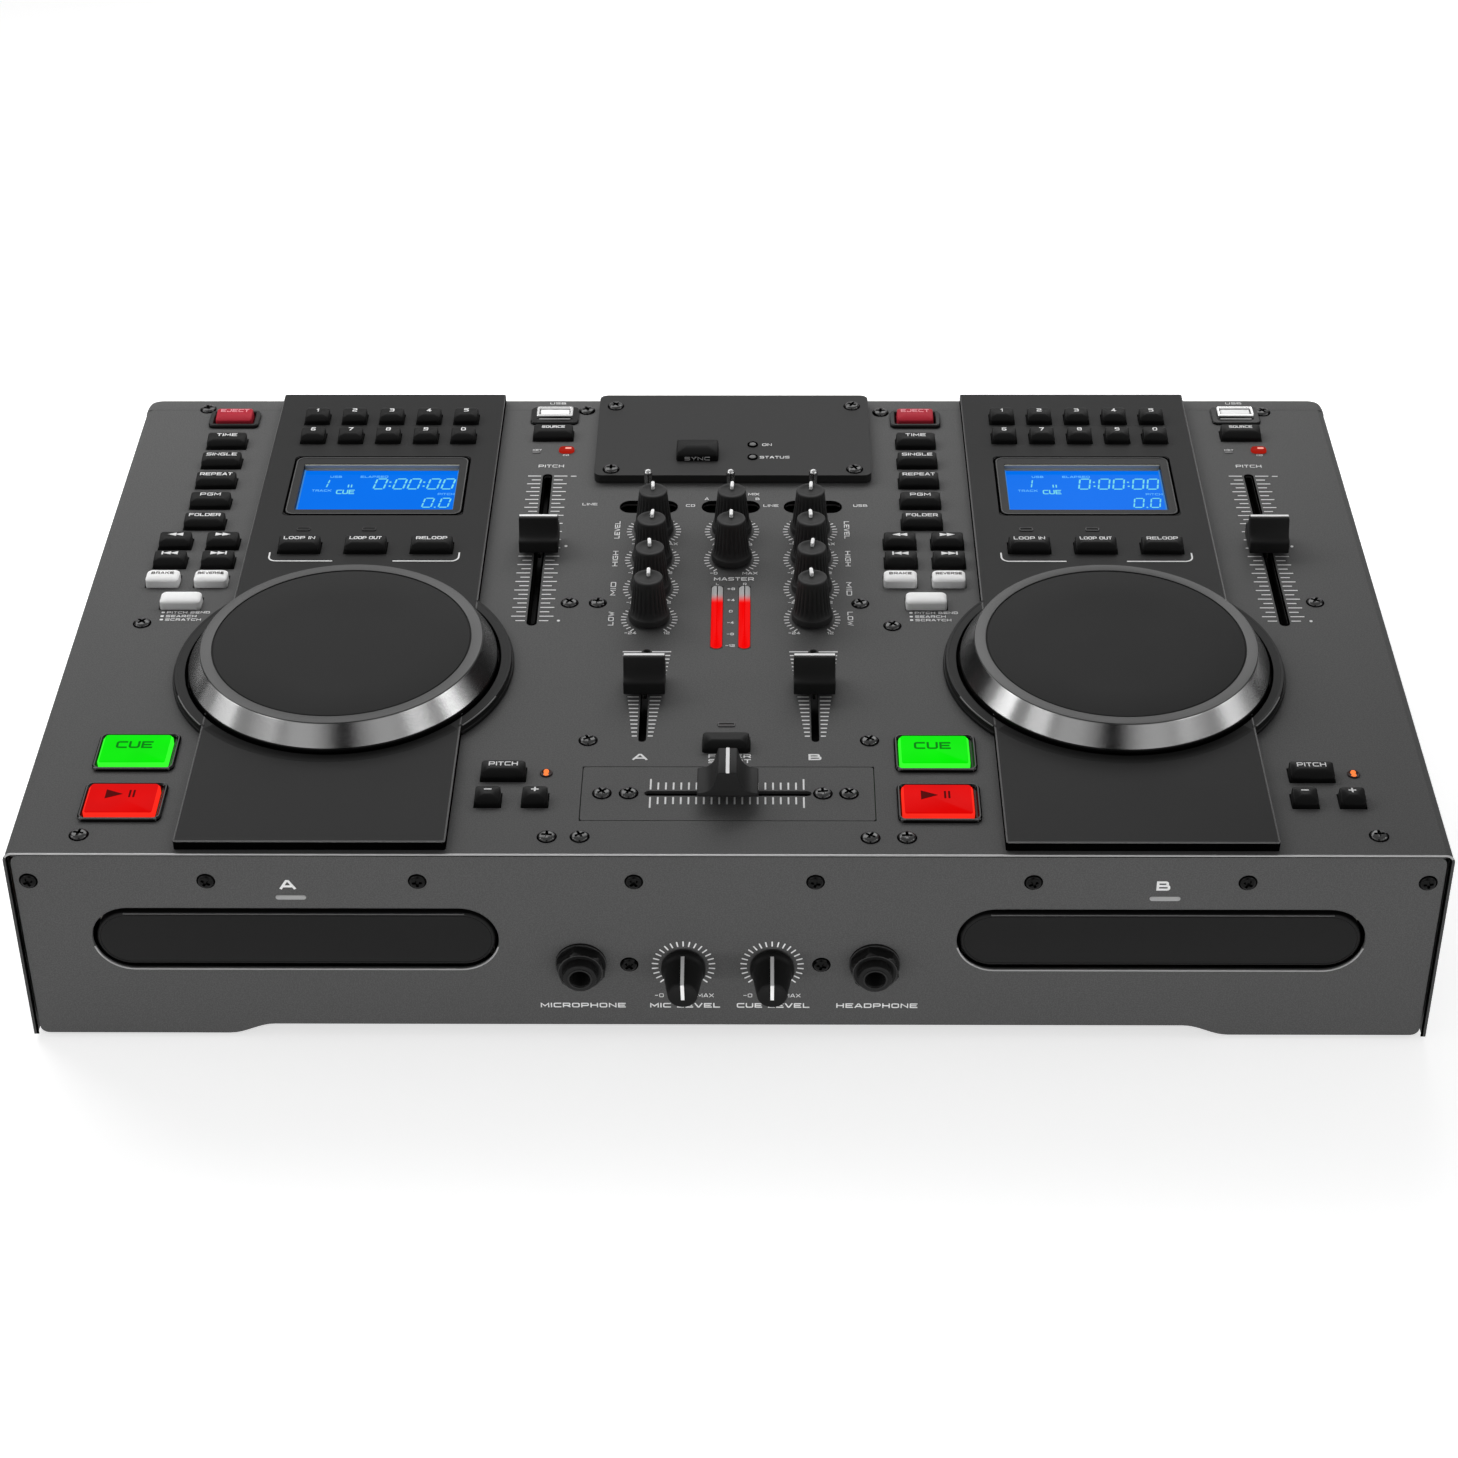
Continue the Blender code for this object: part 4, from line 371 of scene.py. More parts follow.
def rounded(low, high, radius, steps=4):
    """The outline of a rectangle with round corners."""
    radius = min(radius, (high[0] - low[0]) / 2 * 0.999, (high[1] - low[1]) / 2 * 0.999)
    (left, front), (right, back) = low, high
    corners = ((right, back, -1, -1), (left, back, 1, -1), (left, front, 1, 1), (right, front, -1, 1))
    points = []
    for quarter, (u, v, inward_u, inward_v) in enumerate(corners):
        for step in range(steps + 1):
            angle = (quarter + step / steps) * QUARTER
            across, up = inward_u + math.cos(angle), inward_v + math.sin(angle)
            points.append((u + radius * across, v + radius * up))
    return points


def stacked(levels, low, high, corner, steps=4):
    """A round-cornered outline drawn in by each level's inset, at its height; corner gives the radius."""
    rings = []
    for inset, z in levels:
        start, end = (low[0] + inset, low[1] + inset), (high[0] - inset, high[1] - inset)
        outline = rounded(start, end, corner(inset), steps)
        rings.append([(x, y, z(y) if callable(z) else z) for x, y in outline])
    return rings


def soft_edge(edge, high, steps, start=0):
    """Levels that round an upper edge."""
    angles = [step / steps * QUARTER for step in range(start, steps + 1)]
    return [(edge * (1 - math.cos(angle)), high - edge * (1 - math.sin(angle))) for angle in angles]


def corners_of(centre, size):
    """The low and high corners of a rectangle."""
    low, high = ([centre[k] + sign * size[k] / 2 for k in (0, 1)] for sign in (-1, 1))
    return low, high


def tile(centre, size, low, high, radius=0.0005, edge=0.0, steps=4, edge_steps=2):
    """A slab with round corners, standing on XY, its upper edge rounded by edge."""
    levels = [(0.0, low), *(soft_edge(edge, high, edge_steps) if edge else [(0.0, high)])]
    ends = corners_of(centre, size)
    return lofted(stacked(levels, *ends, lambda inset: max(radius - inset, radius * 0.3), steps))


def hoop(centre, outer, inner, low, high, radius, edge=0.0, steps=5):
    """A frame between two rectangles with round corners; its inner corners are tighter by its width."""
    tight = max(radius - (outer[0] - inner[0]) / 2, 0.0002)
    outside = ((radius, low, 0.0), (radius, high - edge, 0.0), (radius, high, edge))
    inside = ((tight, high, -edge), (tight, high - edge, 0.0), (tight, low, 0.0))
    rings = []
    for size, levels in ((outer, outside), (inner, inside)):
        for corner, z, inset in levels:
            turn = max(corner - inset, 0.0001)
            rings += stacked([(inset, z)], *corners_of(centre, size), lambda _, turn=turn: turn, steps)
    return welded(lofted([*rings, rings[0]], False))


def lathe(profile, segments=48, wave=None, start=0.0):
    """A profile of (radius, height) round Z. A radius may be a function of the angle, and wave scales it."""
    made = bmesh.new()
    rows = []
    for radius, z in profile:
        if radius == 0:
            rows.append([made.verts.new((0, 0, z))])
            continue
        row = []
        for i in range(segments):
            angle = (i + start) / segments * math.tau
            r = (radius(angle) if callable(radius) else radius) * (wave(angle, z) if wave else 1)
            row.append(made.verts.new((r * math.cos(angle), r * math.sin(angle), z)))
        rows.append(row)
    for low, high in zip(rows, rows[1:]):
        for i in range(segments):
            j = (i + 1) % segments
            corners = [low[i % len(low)], low[j % len(low)], high[j % len(high)], high[i % len(high)]]
            unique = list(dict.fromkeys(corners))
            if len(unique) > 2:
                made.faces.new(unique)
    return with_normals(made)


def washer(profile, segments=96):
    """A closed ring section of (radius, height) points turned round Z."""
    return welded(lathe([*profile, profile[0]], segments))


def flat_ring(inner, outer, low, high, segments=96):
    return washer([(outer, low), (outer, high), (inner, high), (inner, low)], segments)


def swept(section, centre, first, last, steps):
    """The rings of a section of (radius, height) points swept round a centre between two angles."""
    rings = []
    for step in range(steps + 1):
        angle = first + (last - first) * step / steps
        c, s = math.cos(angle), math.sin(angle)
        rings.append([(centre[0] + r * c, centre[1] + r * s, z) for r, z in section])
    return rings


def fillet(points, radii, steps=3):
    """Rounds the corners of an open or closed path in a plane."""
    made = []
    for i, point in enumerate(points):
        here = Vector(point)
        if not radii[i]:
            made.append(tuple(here))
            continue
        before = Vector(points[i - 1]) - here
        after = Vector(points[(i + 1) % len(points)]) - here
        reach = min(radii[i], before.length * 0.45, after.length * 0.45)
        start = here + before.normalized() * reach
        end = here + after.normalized() * reach
        for step in range(steps + 1):
            t = step / steps
            made.append(tuple(start * (1 - t) ** 2 + here * 2 * t * (1 - t) + end * t**2))
    return made


def extruded(profile, low, high, edge):
    """A YZ profile run along X, with its two ends rounded by edge towards the origin."""
    stations = [(inset, -up) for inset, up in soft_edge(edge, 0.0, 3)]
    spans = [max(abs(point[k]) for point in profile) for k in (0, 1)]
    rings = []
    for base, way, row in ((low, 1, stations), (high, -1, stations[::-1])):
        for along, inset in row:
            y_share, z_share = (1 - inset / span for span in spans)
            rings.append([(base + way * along, y * y_share, z * z_share) for y, z in profile])
    return lofted(rings)


def poured(solid, into):
    """Moves a solid's faces into another bmesh."""
    carrier = bpy.data.meshes.new("carrier")
    solid.to_mesh(carrier)
    solid.free()
    into.from_mesh(carrier)
    bpy.data.meshes.remove(carrier)


# Each character is a few strokes on a grid. A point is a column digit and a row digit, and the
# capitals are eight rows high. A stroke that ends in o closes on itself.

GLYPHS = {
    "A": "00 38 48 70,12 62", "B": "08 00,00 70 74 04,04 64 68 08", "C": "78 08 00 70",
    "D": "08 00,00 70 78 08", "E": "70 00,00 08,08 78,04 64", "F": "00 08,08 78,04 64",
    "G": "78 08 00 70 74,74 44", "H": "00 08,70 78,04 74", "I": "00 08", "J": "02 00 60 68",
    "K": "00 08,78 24 70,04 24", "L": "08 00,00 60", "M": "00 08 42 88 80", "N": "00 08 70 78",
    "O": "08 78 70 00o", "P": "00 08,08 78 73 03", "R": "00 08,08 78 73 03,43 70",
    "S": "78 08 04 74 70 00", "T": "08 68,38 30", "U": "08 00 70 78", "V": "08 30 40 78",
    "W": "08 20 46 60 88",
    "X": "00 78,08 70", "Y": "08 34 68,34 30", "0": "08 68 60 00o", "1": "06 28 20",
    "2": "08 68 64 04 00,00 60", "3": "08 68 60 00,64 14", "4": "48 40,48 02,02 62",
    "5": "68 08,08 05,05 65 60 00", "6": "68 08 00 60 64 04", "7": "08 68,68 20",
    "8": "08 68 60 00o,04 64", "9": "00 60 68 08 04 64", "-": "04 44", "+": "04 64,31 37",
    "∞": "03 05 35 53 83 85 55 33o",
}
SOFT = "BCDGJOPRSU0235689∞"
ROWS = 8
CAPITALS = 0.7
MARK_GAP = 3
SPACE = 5


def ribbon(path, closed, half, low, high):
    """A flat stroke of even width along a path, square at its ends."""
    path = [Vector(point) for point in path]
    if not closed:
        path[0] += (path[0] - path[1]).normalized() * half
        path[-1] += (path[-1] - path[-2]).normalized() * half
    rings = []
    for i, here in enumerate(path):
        before = here - path[i - 1]
        after = path[(i + 1) % len(path)] - here
        if not closed and i == 0:
            before = after
        if not closed and i == len(path) - 1:
            after = before
        along = (before.normalized() + after.normalized()).normalized()
        reach = half / max(along.dot(after.normalized()), 0.6)
        aside = Vector((-along.y, along.x)) * reach
        sides = ((here + aside, low), (here - aside, low), (here - aside, high), (here + aside, high))
        rings.append([(point.x, point.y, z) for point, z in sides])
    if not closed:
        return lofted(rings)
    return welded(lofted(rings + rings[:1], False), 1e-8)


def letters(text, size, width=None, weight=0.16):
    """Flat lettering in XY, centred, as strokes whose weight is a share of the capitals' height."""
    tall = size * CAPITALS
    thick = tall * weight
    paths, start = [], 0
    for mark in text:
        if mark == " ":
            start += SPACE
            continue
        columns = 0
        for stroke in GLYPHS[mark].split(","):
            points = [(int(point[0]), int(point[1])) for point in stroke.rstrip("o").split()]
            columns = max([columns] + [column for column, _ in points])
            paths.append(([(start + column, row) for column, row in points], stroke[-1] == "o", mark in SOFT))
        start += columns + MARK_GAP
    length = max(start - MARK_GAP, 0.1)
    across = (width - thick) / length if width else tall / ROWS * 0.92
    up = (tall - thick) / ROWS
    made = bmesh.new()
    for i, (points, closed, soft) in enumerate(paths):
        path = [((column - length / 2) * across, (row - ROWS / 2) * up, 0) for column, row in points]
        if soft:
            radii = [tall * 0.2 if closed or 0 < k < len(path) - 1 else 0 for k in range(len(path))]
            path = fillet(path, radii)
        # Each stroke is a hair thicker than the one before, so that crossings don't flicker
        flat = [point[:2] for point in path]
        poured(ribbon(flat, closed, thick / 2, -FILM / 2, FILM / 2 + i * 0.0000015), made)
    return made


def bar(width, height):
    """A flat bar centred on the origin."""
    return tile((0, 0), (width, height), -FILM / 2, FILM / 2, min(width, height) * 0.2, steps=1)


# Placing solids


def turned(degrees, axis="Z"):
    return Matrix.Rotation(math.radians(degrees), 4, axis)


def placed(x=0, y=0, z=0, turn=0.0, tilt=0.0):
    """A move to a place, after a turn about Z and a tilt about X, in degrees."""
    return Matrix.Translation((x, y, z)) @ turned(turn) @ turned(tilt, "X")


def printed_at(x, y, z):
    """The place of a bar that lies on a face z high."""
    return placed(x, at(y), z + FILM / 2)


FRONT_TURN = turned(90, "X")
BACK_TURN = turned(180) @ FRONT_TURN
RAISED = Matrix.Translation((0, 0, FILM / 2))


def on_front(x, z, turn=0.0, y=PANEL_FACE_Y):
    """Places something drawn on XY with its back down onto the front panel, facing the viewer."""
    return Matrix.Translation((x, y, z)) @ FRONT_TURN @ turned(turn)


def on_back(x, z, turn=0.0, y=BACK_Y):
    return Matrix.Translation((x, y, z)) @ BACK_TURN @ turned(turn)


def middle_of(node_name):
    """The middle of a CAD node's box."""
    low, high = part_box(node_name)
    return [(low[k] + high[k]) / 2 for k in range(3)]


def origin_of(node_name):
    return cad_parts[node_name].matrix_world.translation


class Shape:
    """One piece in the making: solids go in with their materials, and come out as one object."""

    def __init__(self, name, body, slot=None, replaces=(), origin=(0, 0, 0)):
        self.name = name
        self.body = body
        self.slot = slot
        self.replaces = replaces
        self.origin = Vector(origin)
        self.mesh = bmesh.new()
        self.materials = []

    def add(self, solid, material, matrix=None, flat=False):
        if material not in self.materials:
            self.materials.append(material)
        index = self.materials.index(material)
        for face in solid.faces:
            face.material_index = index
            face.smooth = not flat
        if matrix is not None:
            bmesh.ops.transform(solid, matrix=matrix, verts=solid.verts)
        poured(solid, self.mesh)

    def done(self, sharp=35):
        data = bpy.data.meshes.new(self.name)
        bmesh.ops.translate(self.mesh, vec=-self.origin, verts=self.mesh.verts)
        self.mesh.to_mesh(data)
        self.mesh.free()
        for material in self.materials:
            data.materials.append(material)
        data.set_sharp_from_angle(angle=math.radians(sharp))
        made = bpy.data.objects.new(self.name, data)
        made.location = self.origin
        bpy.context.scene.collection.objects.link(made)
        bpy.context.view_layer.update()
        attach(made, self.body)
        if self.replaces:
            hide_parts(*self.replaces)


def moving(node_name, ending, slot, origin):
    """The shape that stands in for a moving CAD node."""
    return Shape(node_name + ending, node_name, slot, (node_name,), origin)


def tick_ring(shape, place, inner, outer, reach, count, width):
    """Short lines round a knob, as far as reach degrees to both sides of twelve."""
    for i in range(count):
        angle = reach * (2 * i / (count - 1) - 1)
        line = tile((0, (inner + outer) / 2), (width, outer - inner), 0, FILM, width / 3, steps=1)
        shape.add(line, ink, place @ turned(-angle))


def word(shape, text, x, y, z, size, material=None, turn=0.0, width=None, weight=0.16):
    """Lettering lying flat; width stretches it to that length."""
    shape.add(letters(text, size, width, weight), material or ink, placed(x, at(y), z + FILM / 2, turn), True)


# The casing keeps its CAD solids and gets its finishes

DRESSES = {
    "top_cover": paint,
    "crossfader_plate": paint,
    "front_panel": front_paint,
    "chassis": front_paint,
    "center_plate": overlay,
    "control_board": board_material(),
    "front_board": board_green,
    "power_supply": jack_gloss,
    "power_switch": gloss_black,
    "rear_jacks": jack_gloss,
}
for deck, _ in DECKS:
    DRESSES |= {f"deck_panel_{deck}": film, f"display_{deck}": display_frame, f"disc_drive_{deck}": zinc}
for name, material in DRESSES.items():
    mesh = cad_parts[name].data
    mesh.materials.clear()
    mesh.materials.append(material)


# Screws, pan-headed with a cross recess, each ringed by a painted shadow

SCREW_RADIUS = 0.0030
# Places in millimetres, as X and the distance back from the front panel
DECK_SCREWS = (
    (-215.3, 293.6), (-216.7, 136.8), (-217.1, 10.1), (-60.0, 292.4), (-59.9, 150.5), (-49.4, 150.5),
    (48.0, 150.1), (59.4, 135.4), (59.8, 290.9), (-49.0, 64.0), (49.0, 64.0), (-60.3, 9.4), (-49.3, 9.5),
    (47.8, 9.1), (60.0, 9.2), (215.3, 291.2), (216.5, 151.2), (217.3, 10.5),
    (-42.9, 33.5), (-33.8, 33.5), (32.3, 33.5), (41.2, 33.5),
)
PLATE_SCREWS = ((-48, 289.5), (48, 289.5), (-48, 240), (48, 240))
FRONT_SCREWS = (-233.9, -174.4, -103.6, -31.2, 29.5, 102.2, 173.6, 233.5)
LOW_FRONT_SCREWS = (-33.6, 31.9)
# Places on the rear wall are X and Z
BACK_SCREWS = [(x, z) for x in (-228, -160, -60, 20, 90, 228) for z in (12, 72)]
INLET_SCREWS = ((124, 52), (196, 52), (124, 28), (196, 28))
INLET_FACE_Y = BACK_Y + 0.0021


def turned_outline(sides, radius):
    """A radius for each direction, alike on every side: radius takes the angle from a side's middle."""
    part = math.tau / sides
    return lambda angle: radius((angle + part / 2) % part - part / 2)


def screw(place, radius=SCREW_RADIUS, metal=screw_steel):
    arm, width = radius * 0.60, radius * 0.17
    cross = turned_outline(4, lambda turn: min(arm / math.cos(turn), width / max(abs(math.sin(turn)), 1e-6)))
    shares = ((1, 0), (1, 0.06), (0.93, 0.20), (0.80, 0.30), (0.66, 0.35))
    profile = [(0, 0), *((radius * out, radius * up) for out, up in shares)]
    profile += [(cross, radius * 0.37), (cross, radius * 0.06), (0, radius * 0.04)]
    screws.add(lathe(profile, 40, start=0.5), metal, place)
    # A flat black ring round the head: a painted shadow
    shadow_ring = [(radius * 0.98, 0), (radius * 1.13, 0), (radius * 1.11, FILM), (radius * 0.98, FILM)]
    screws.add(washer(shadow_ring, 40), shadow_black_paint, place)


screws = Shape("screws", CASING, "casing")
for i, (x, y) in enumerate(DECK_SCREWS):
    screw(placed(x * MM, at(y * MM), DECK, 17 + 31 * i))
for i, (x, y) in enumerate(PLATE_SCREWS):
    screw(placed(x * MM, at(y * MM), PLATE_TOP, 40 + 25 * i))
for row, z, first, step in ((FRONT_SCREWS, 0.0123, 20, 37), (LOW_FRONT_SCREWS, 0.0484, 45, 30)):
    for i, x in enumerate(row):
        screw(on_front(x * MM, DECK - z, first + step * i), 0.0028, screw_black)
for i, (x, z) in enumerate([*BACK_SCREWS, *INLET_SCREWS]):
    screw(on_back(x * MM, z * MM, 23 * i, BACK_Y if i < len(BACK_SCREWS) else INLET_FACE_Y), 0.0023)
screws.done()


# The cut edge of the cover sheet, painted pale on top as a highlight and darker on the sides as shade, with a
# painted shadow line inside, and the bend at its back

SHEET_BEND = 0.003


def edge_band(start, top_depth, side_depth, lift, first=0, last=None):
    """A thin band on the cut edge of the cover sheet, between two depths in from its outer face."""
    low = 0.0019
    steps = 6
    stations = [(-HALF_WIDTH, low, 1.0, 0.0, side_depth)]
    for side in (-1, 1):
        for step in range(steps + 1):
            share = step / steps
            angle = QUARTER * (2 - share if side < 0 else 1 - share)
            x, z = math.cos(angle), math.sin(angle)
            depth = top_depth + (side_depth - top_depth) * (1 - share if side < 0 else share)
            across, up = side * (HALF_WIDTH - SHEET_BEND), DECK - SHEET_BEND
            stations.append((across + SHEET_BEND * x, up + SHEET_BEND * z, -x, -z, depth))
    stations.append((HALF_WIDTH, low, -1.0, 0.0, side_depth))
    face, back = FRONT_Y - lift, FRONT_Y + 0.0002
    rings = []
    for x, z, inward_x, inward_z, depth in stations[first:last]:
        near, far = ((x + inward_x * reach, z + inward_z * reach) for reach in (start - 0.00003, depth))
        corners = ((near, face), (far, face), (far, back), (near, back))
        rings.append([(point[0], y, point[1]) for point, y in corners])
    return lofted(rings)


def back_fold():
    """The cover's tight bend along the back edge of the deck, with its two round corners."""
    corner = 0.0065
    front, low = BACK_Y - 0.0070, DECK - 0.0050
    spots = [HALF_WIDTH - corner * (1 - math.sin(step / 10 * 1.45)) for step in range(11)]
    rings = []
    for x in [-spot for spot in reversed(spots)] + spots:
        beyond = max(abs(x) - (HALF_WIDTH - corner), 0)
        drop = max(abs(x) - (HALF_WIDTH - SHEET_BEND), 0)
        back = BACK_Y + 0.0008 - (corner - math.sqrt(corner**2 - beyond**2))
        high = DECK + 0.00004 - (SHEET_BEND - math.sqrt(SHEET_BEND**2 - drop**2))
        profile = [(front, low, 0), (front, high, 0), (back, high, 0), (back, low, 0)]
        rings.append([(x, y, z) for y, z, _ in fillet(profile, [0, 0, 0.0007, 0.0003])])
    return lofted(rings)


edge = Shape("cover_edge", CASING, "casing")
# A painted highlight along the top of the cut edge, with a painted shadow line under it
edge.add(edge_band(0.0, 0.0006, 0.0008, 0.00012, 3, -3), lit_edge_paint)
edge.add(edge_band(0.0006, 0.0010, 0.0017, 0.00008, 3, -3), shadow_black_paint)
# On the sides the cut edge is darker, painted shade, with the same painted shadow line
for first, last in ((0, 4), (-4, None)):
    edge.add(edge_band(0.0, 0.0006, 0.0009, 0.00012, first, last), shaded_edge_paint)
    edge.add(edge_band(0.0009, 0.0010, 0.0017, 0.00008, first, last), shadow_black_paint)
edge.add(back_fold(), paint)
edge.done()


# Keys. Each cap has a level back half, which carries its legend, and a front half that falls away.

CAP_DEPTH = 0.0080
CAP_RISE = 0.0036
CAP_TRIM = 0.96
CAP_CROWN = 0.0003
PILLOW_RISE = CAP_RISE * 0.92
SKIRT = 0.0006
SIGN_SHARE = 0.71


def cap_solid(width, depth, levels, corner):
    """A cap over the origin, its front edge at y 0, from levels of (inset, height)."""
    half = width * CAP_TRIM / 2
    return lofted(stacked(levels, (-half, 0), (half, depth), lambda inset: max(corner - inset * 0.6, 0.0002)))


def cap(width, depth=CAP_DEPTH, rise=CAP_RISE, dip=0.45, nose=0.42, edge=0.0005):
    """A low nose, a sweep up to a level back, and round corners."""

    def top(drop):
        def height(y):
            share = min(max(y / (depth * dip), 0.0), 1.0)
            return drop + rise * (nose + (1 - nose) * math.sin(share * QUARTER))

        return height

    draft = 0.0002
    levels = [(0.0, -SKIRT), *((draft + inset, top(drop)) for inset, drop in soft_edge(edge, 0.0, 3))]
    reach = depth / 2 - CAP_CROWN - draft - edge
    levels += [(draft + edge + reach * share, top(0.0)) for share in (0.35, 0.6, 0.85, 1.0)]
    return cap_solid(width, depth, levels, 0.0013)


def pillow(width):
    """A cap with a softly domed top."""
    rise, reach = PILLOW_RISE, CAP_DEPTH / 2 - CAP_CROWN
    levels = [(0.0, -SKIRT), (0.0001, rise * 0.55)]
    for share in (0.04, 0.1, 0.18, 0.3, 0.5, 0.75, 1.0):
        swell = math.sqrt(1 - (1 - share) ** 2.6)
        levels.append((reach * share, rise * 0.62 + (rise * 0.38 + CAP_CROWN) * swell))
    return cap_solid(width, CAP_DEPTH, levels, 0.0019)


def triangle(width, height, side=1):
    """A flat arrow head centred on the origin; side -1 points left."""
    points = [(-side * width / 2, -height / 2), (side * width / 2, 0), (-side * width / 2, height / 2)]
    return lofted([[(x, y, z) for x, y in points] for z in (-FILM / 2, FILM / 2)])


def seek_sign(side, stopped):
    """Two arrow heads, with a bar at their tip for the skip keys, as (solid, x) pairs."""
    size = 0.0031
    height, step = size * 0.72, size * 0.85
    signs = [(triangle(size, height, side), way * side * step / 2) for way in (-1, 1)]
    if stopped:
        signs.append((bar(size * 0.2, height), side * (step + size * 0.12)))
    return signs


def legend(shape, text, x, front, z, size, width, depth=CAP_DEPTH, material=None, back=0.29):
    """A word of a given width on the level back part of a cap."""
    word(shape, text, x, front + depth * (1 - back), z + CAP_RISE, size, material, width=width, weight=0.18)


def key_shape(node_name, slot="key_plastic"):
    return moving(node_name, "_caps", slot, origin_of(node_name))


def collar(x, front, width, z, material):
    """A flush collar that narrows a key's opening to the cap."""
    wide = width * CAP_TRIM + 0.0005
    middle = (x, at(front) + CAP_DEPTH / 2)
    size = (wide + 0.0040, CAP_DEPTH + 0.0016)
    collars.add(hoop(middle, size, (wide, CAP_DEPTH + 0.0005), z - 0.0004, z + 0.00003, 0.0014), material)


def key(shape, width, x, front, z=DECK, around=paint, edge=0.0005):
    """A black cap in its collar."""
    shape.add(cap(width, edge=edge), key_black, placed(x, at(front), z))
    collar(x, front, width, z, around)


NUMBER_PITCH = 0.01505
NUMBER_ROWS = (("12345", 0.2751), ("67890", 0.2600))
LOOP_KEYS = (("LOOP IN", 0.0119), ("LOOP OUT", 0.0121), ("RELOOP", 0.0118))
LOOP_PITCH = 0.0251
LOOP_FRONT = 0.1787
MODE_KEYS = (("FOLDER", 0.0122), ("PGM", 0.0080), ("REPEAT", 0.0127), ("SINGLE", 0.0121), ("TIME", 0.0081))
MODE_PITCH = 0.01515
MODE_FRONT = 0.2008
FUNCTION_X = -0.0647
SEEK_X = 0.00905
SEEK_ROWS = ((0.1867, False), (0.1735, True))
WHITE_SHIFT = -0.0007
WHITE_FRONT = 0.1607
WHITE_KEYS = ((-SEEK_X, WHITE_FRONT, 0.0131), (SEEK_X, WHITE_FRONT, 0.0131), (0, 0.1459, 0.0159))
WHITE_WORDS = ((-SEEK_X, "BRAKE", 0.0084), (SEEK_X, "REVERSE", 0.0098))
EJECT_X = -0.0642
EJECT_FRONT = 0.2800
EJECT_DEPTH = 0.0085
SOURCE_X = 0.0662
SOURCE_FRONT = 0.2678
PITCH_X = 0.0617
PITCH_FRONT = 0.0399
BEND_FRONT = 0.0253
BEND_KEYS = ((0.0574, ((0.0026, 0.0006),)), (0.0734, ((0.0026, 0.0006), (0.0006, 0.0024))))
MIDDLE_X = -0.0009

collars = Shape("key_collars", CASING, "casing")
for side, deck_x in DECKS:
    keys = key_shape(f"number_keys_{side}")
    for row, front in NUMBER_ROWS:
        for i, digit in enumerate(row):
            x = deck_x + (i - 2) * NUMBER_PITCH + 0.0006
            key(keys, 0.0103, x, front, PANEL_TOP, film_black)
            legend(keys, digit, x, front, PANEL_TOP, 0.0034, 0.0009 if digit == "1" else 0.0019)
    keys.done()

    keys = key_shape(f"loop_keys_{side}")
    for i, (text, width) in enumerate(LOOP_KEYS):
        x = deck_x + (i - 1) * LOOP_PITCH
        key(keys, 0.0167, x, LOOP_FRONT, PANEL_TOP, film_black, 0.0007)
        legend(keys, text, x, LOOP_FRONT, PANEL_TOP, 0.0029, width)
    keys.done()

    keys = key_shape(f"function_keys_{side}")
    middle = deck_x + FUNCTION_X
    for i, (text, width) in enumerate(MODE_KEYS):
        front = MODE_FRONT + i * MODE_PITCH
        key(keys, 0.0165, middle, front)
        legend(keys, text, middle, front, DECK, 0.0030, width)
    for front, stopped in SEEK_ROWS:
        for way in (-1, 1):
            x = middle + way * SEEK_X
            key(keys, 0.0130, x, front)
            for sign, shift in seek_sign(way, stopped):
                keys.add(sign, ink, printed_at(x + shift, front + CAP_DEPTH * SIGN_SHARE, DECK + CAP_RISE))
    middle += WHITE_SHIFT
    for x, front, width in WHITE_KEYS:
        keys.add(pillow(width), white_key, placed(middle + x, at(front), DECK))
        collar(middle + x, front, width, DECK, paint)
    for x, text, width in WHITE_WORDS:
        high = DECK + PILLOW_RISE + CAP_CROWN
        word(keys, text, middle + x, WHITE_FRONT + CAP_DEPTH * 0.58, high, 0.0021, led_dark, width=width)
    keys.done()

    x = deck_x + EJECT_X
    keys = key_shape(f"eject_key_{side}", "eject_plastic")
    keys.add(cap(0.0156, EJECT_DEPTH, CAP_RISE, 0.55, 0.62), rose, placed(x, at(EJECT_FRONT), DECK))
    legend(keys, "EJECT", x, EJECT_FRONT, DECK, 0.0030, 0.0114, EJECT_DEPTH, rose_ink, 0.25)
    keys.done()

    x = deck_x + SOURCE_X
    keys = key_shape(f"source_key_{side}")
    key(keys, 0.0168, x, SOURCE_FRONT)
    legend(keys, "SOURCE", x, SOURCE_FRONT, DECK, 0.0026, 0.0093)
    keys.done()

    keys = key_shape(f"pitch_keys_{side}")
    key(keys, 0.0161, deck_x + PITCH_X, PITCH_FRONT)
    legend(keys, "PITCH", deck_x + PITCH_X, PITCH_FRONT, DECK, 0.0032, 0.0100)
    for x, bars in BEND_KEYS:
        key(keys, 0.0093, deck_x + x, BEND_FRONT)
        for i, size in enumerate(bars):
            high = DECK + CAP_RISE + i * 0.00001
            keys.add(bar(*size), ink, printed_at(deck_x + x, BEND_FRONT + CAP_DEPTH * 0.72, high))
    keys.done()

keys = key_shape("fader_start_key")
key(keys, 0.0172, MIDDLE_X, 0.0565)
keys.done()

keys = key_shape("pairing_key")
pairing_x, pairing_y = -0.0141, at(0.2465)
keys.add(cap(0.0176, 0.0100, 0.0044, 0.6, 0.5, 0.0008), key_black, placed(pairing_x, pairing_y, PLATE_TOP))
upright = placed(pairing_x, pairing_y - FILM / 2, PLATE_TOP + 0.0010, 0, 90)
keys.add(letters("SYNC", 0.0021, 0.0100), ink, upright, True)
keys.done()
collars.done()


# Lit cue and play keys: a lens whose faceted border is paler than its face

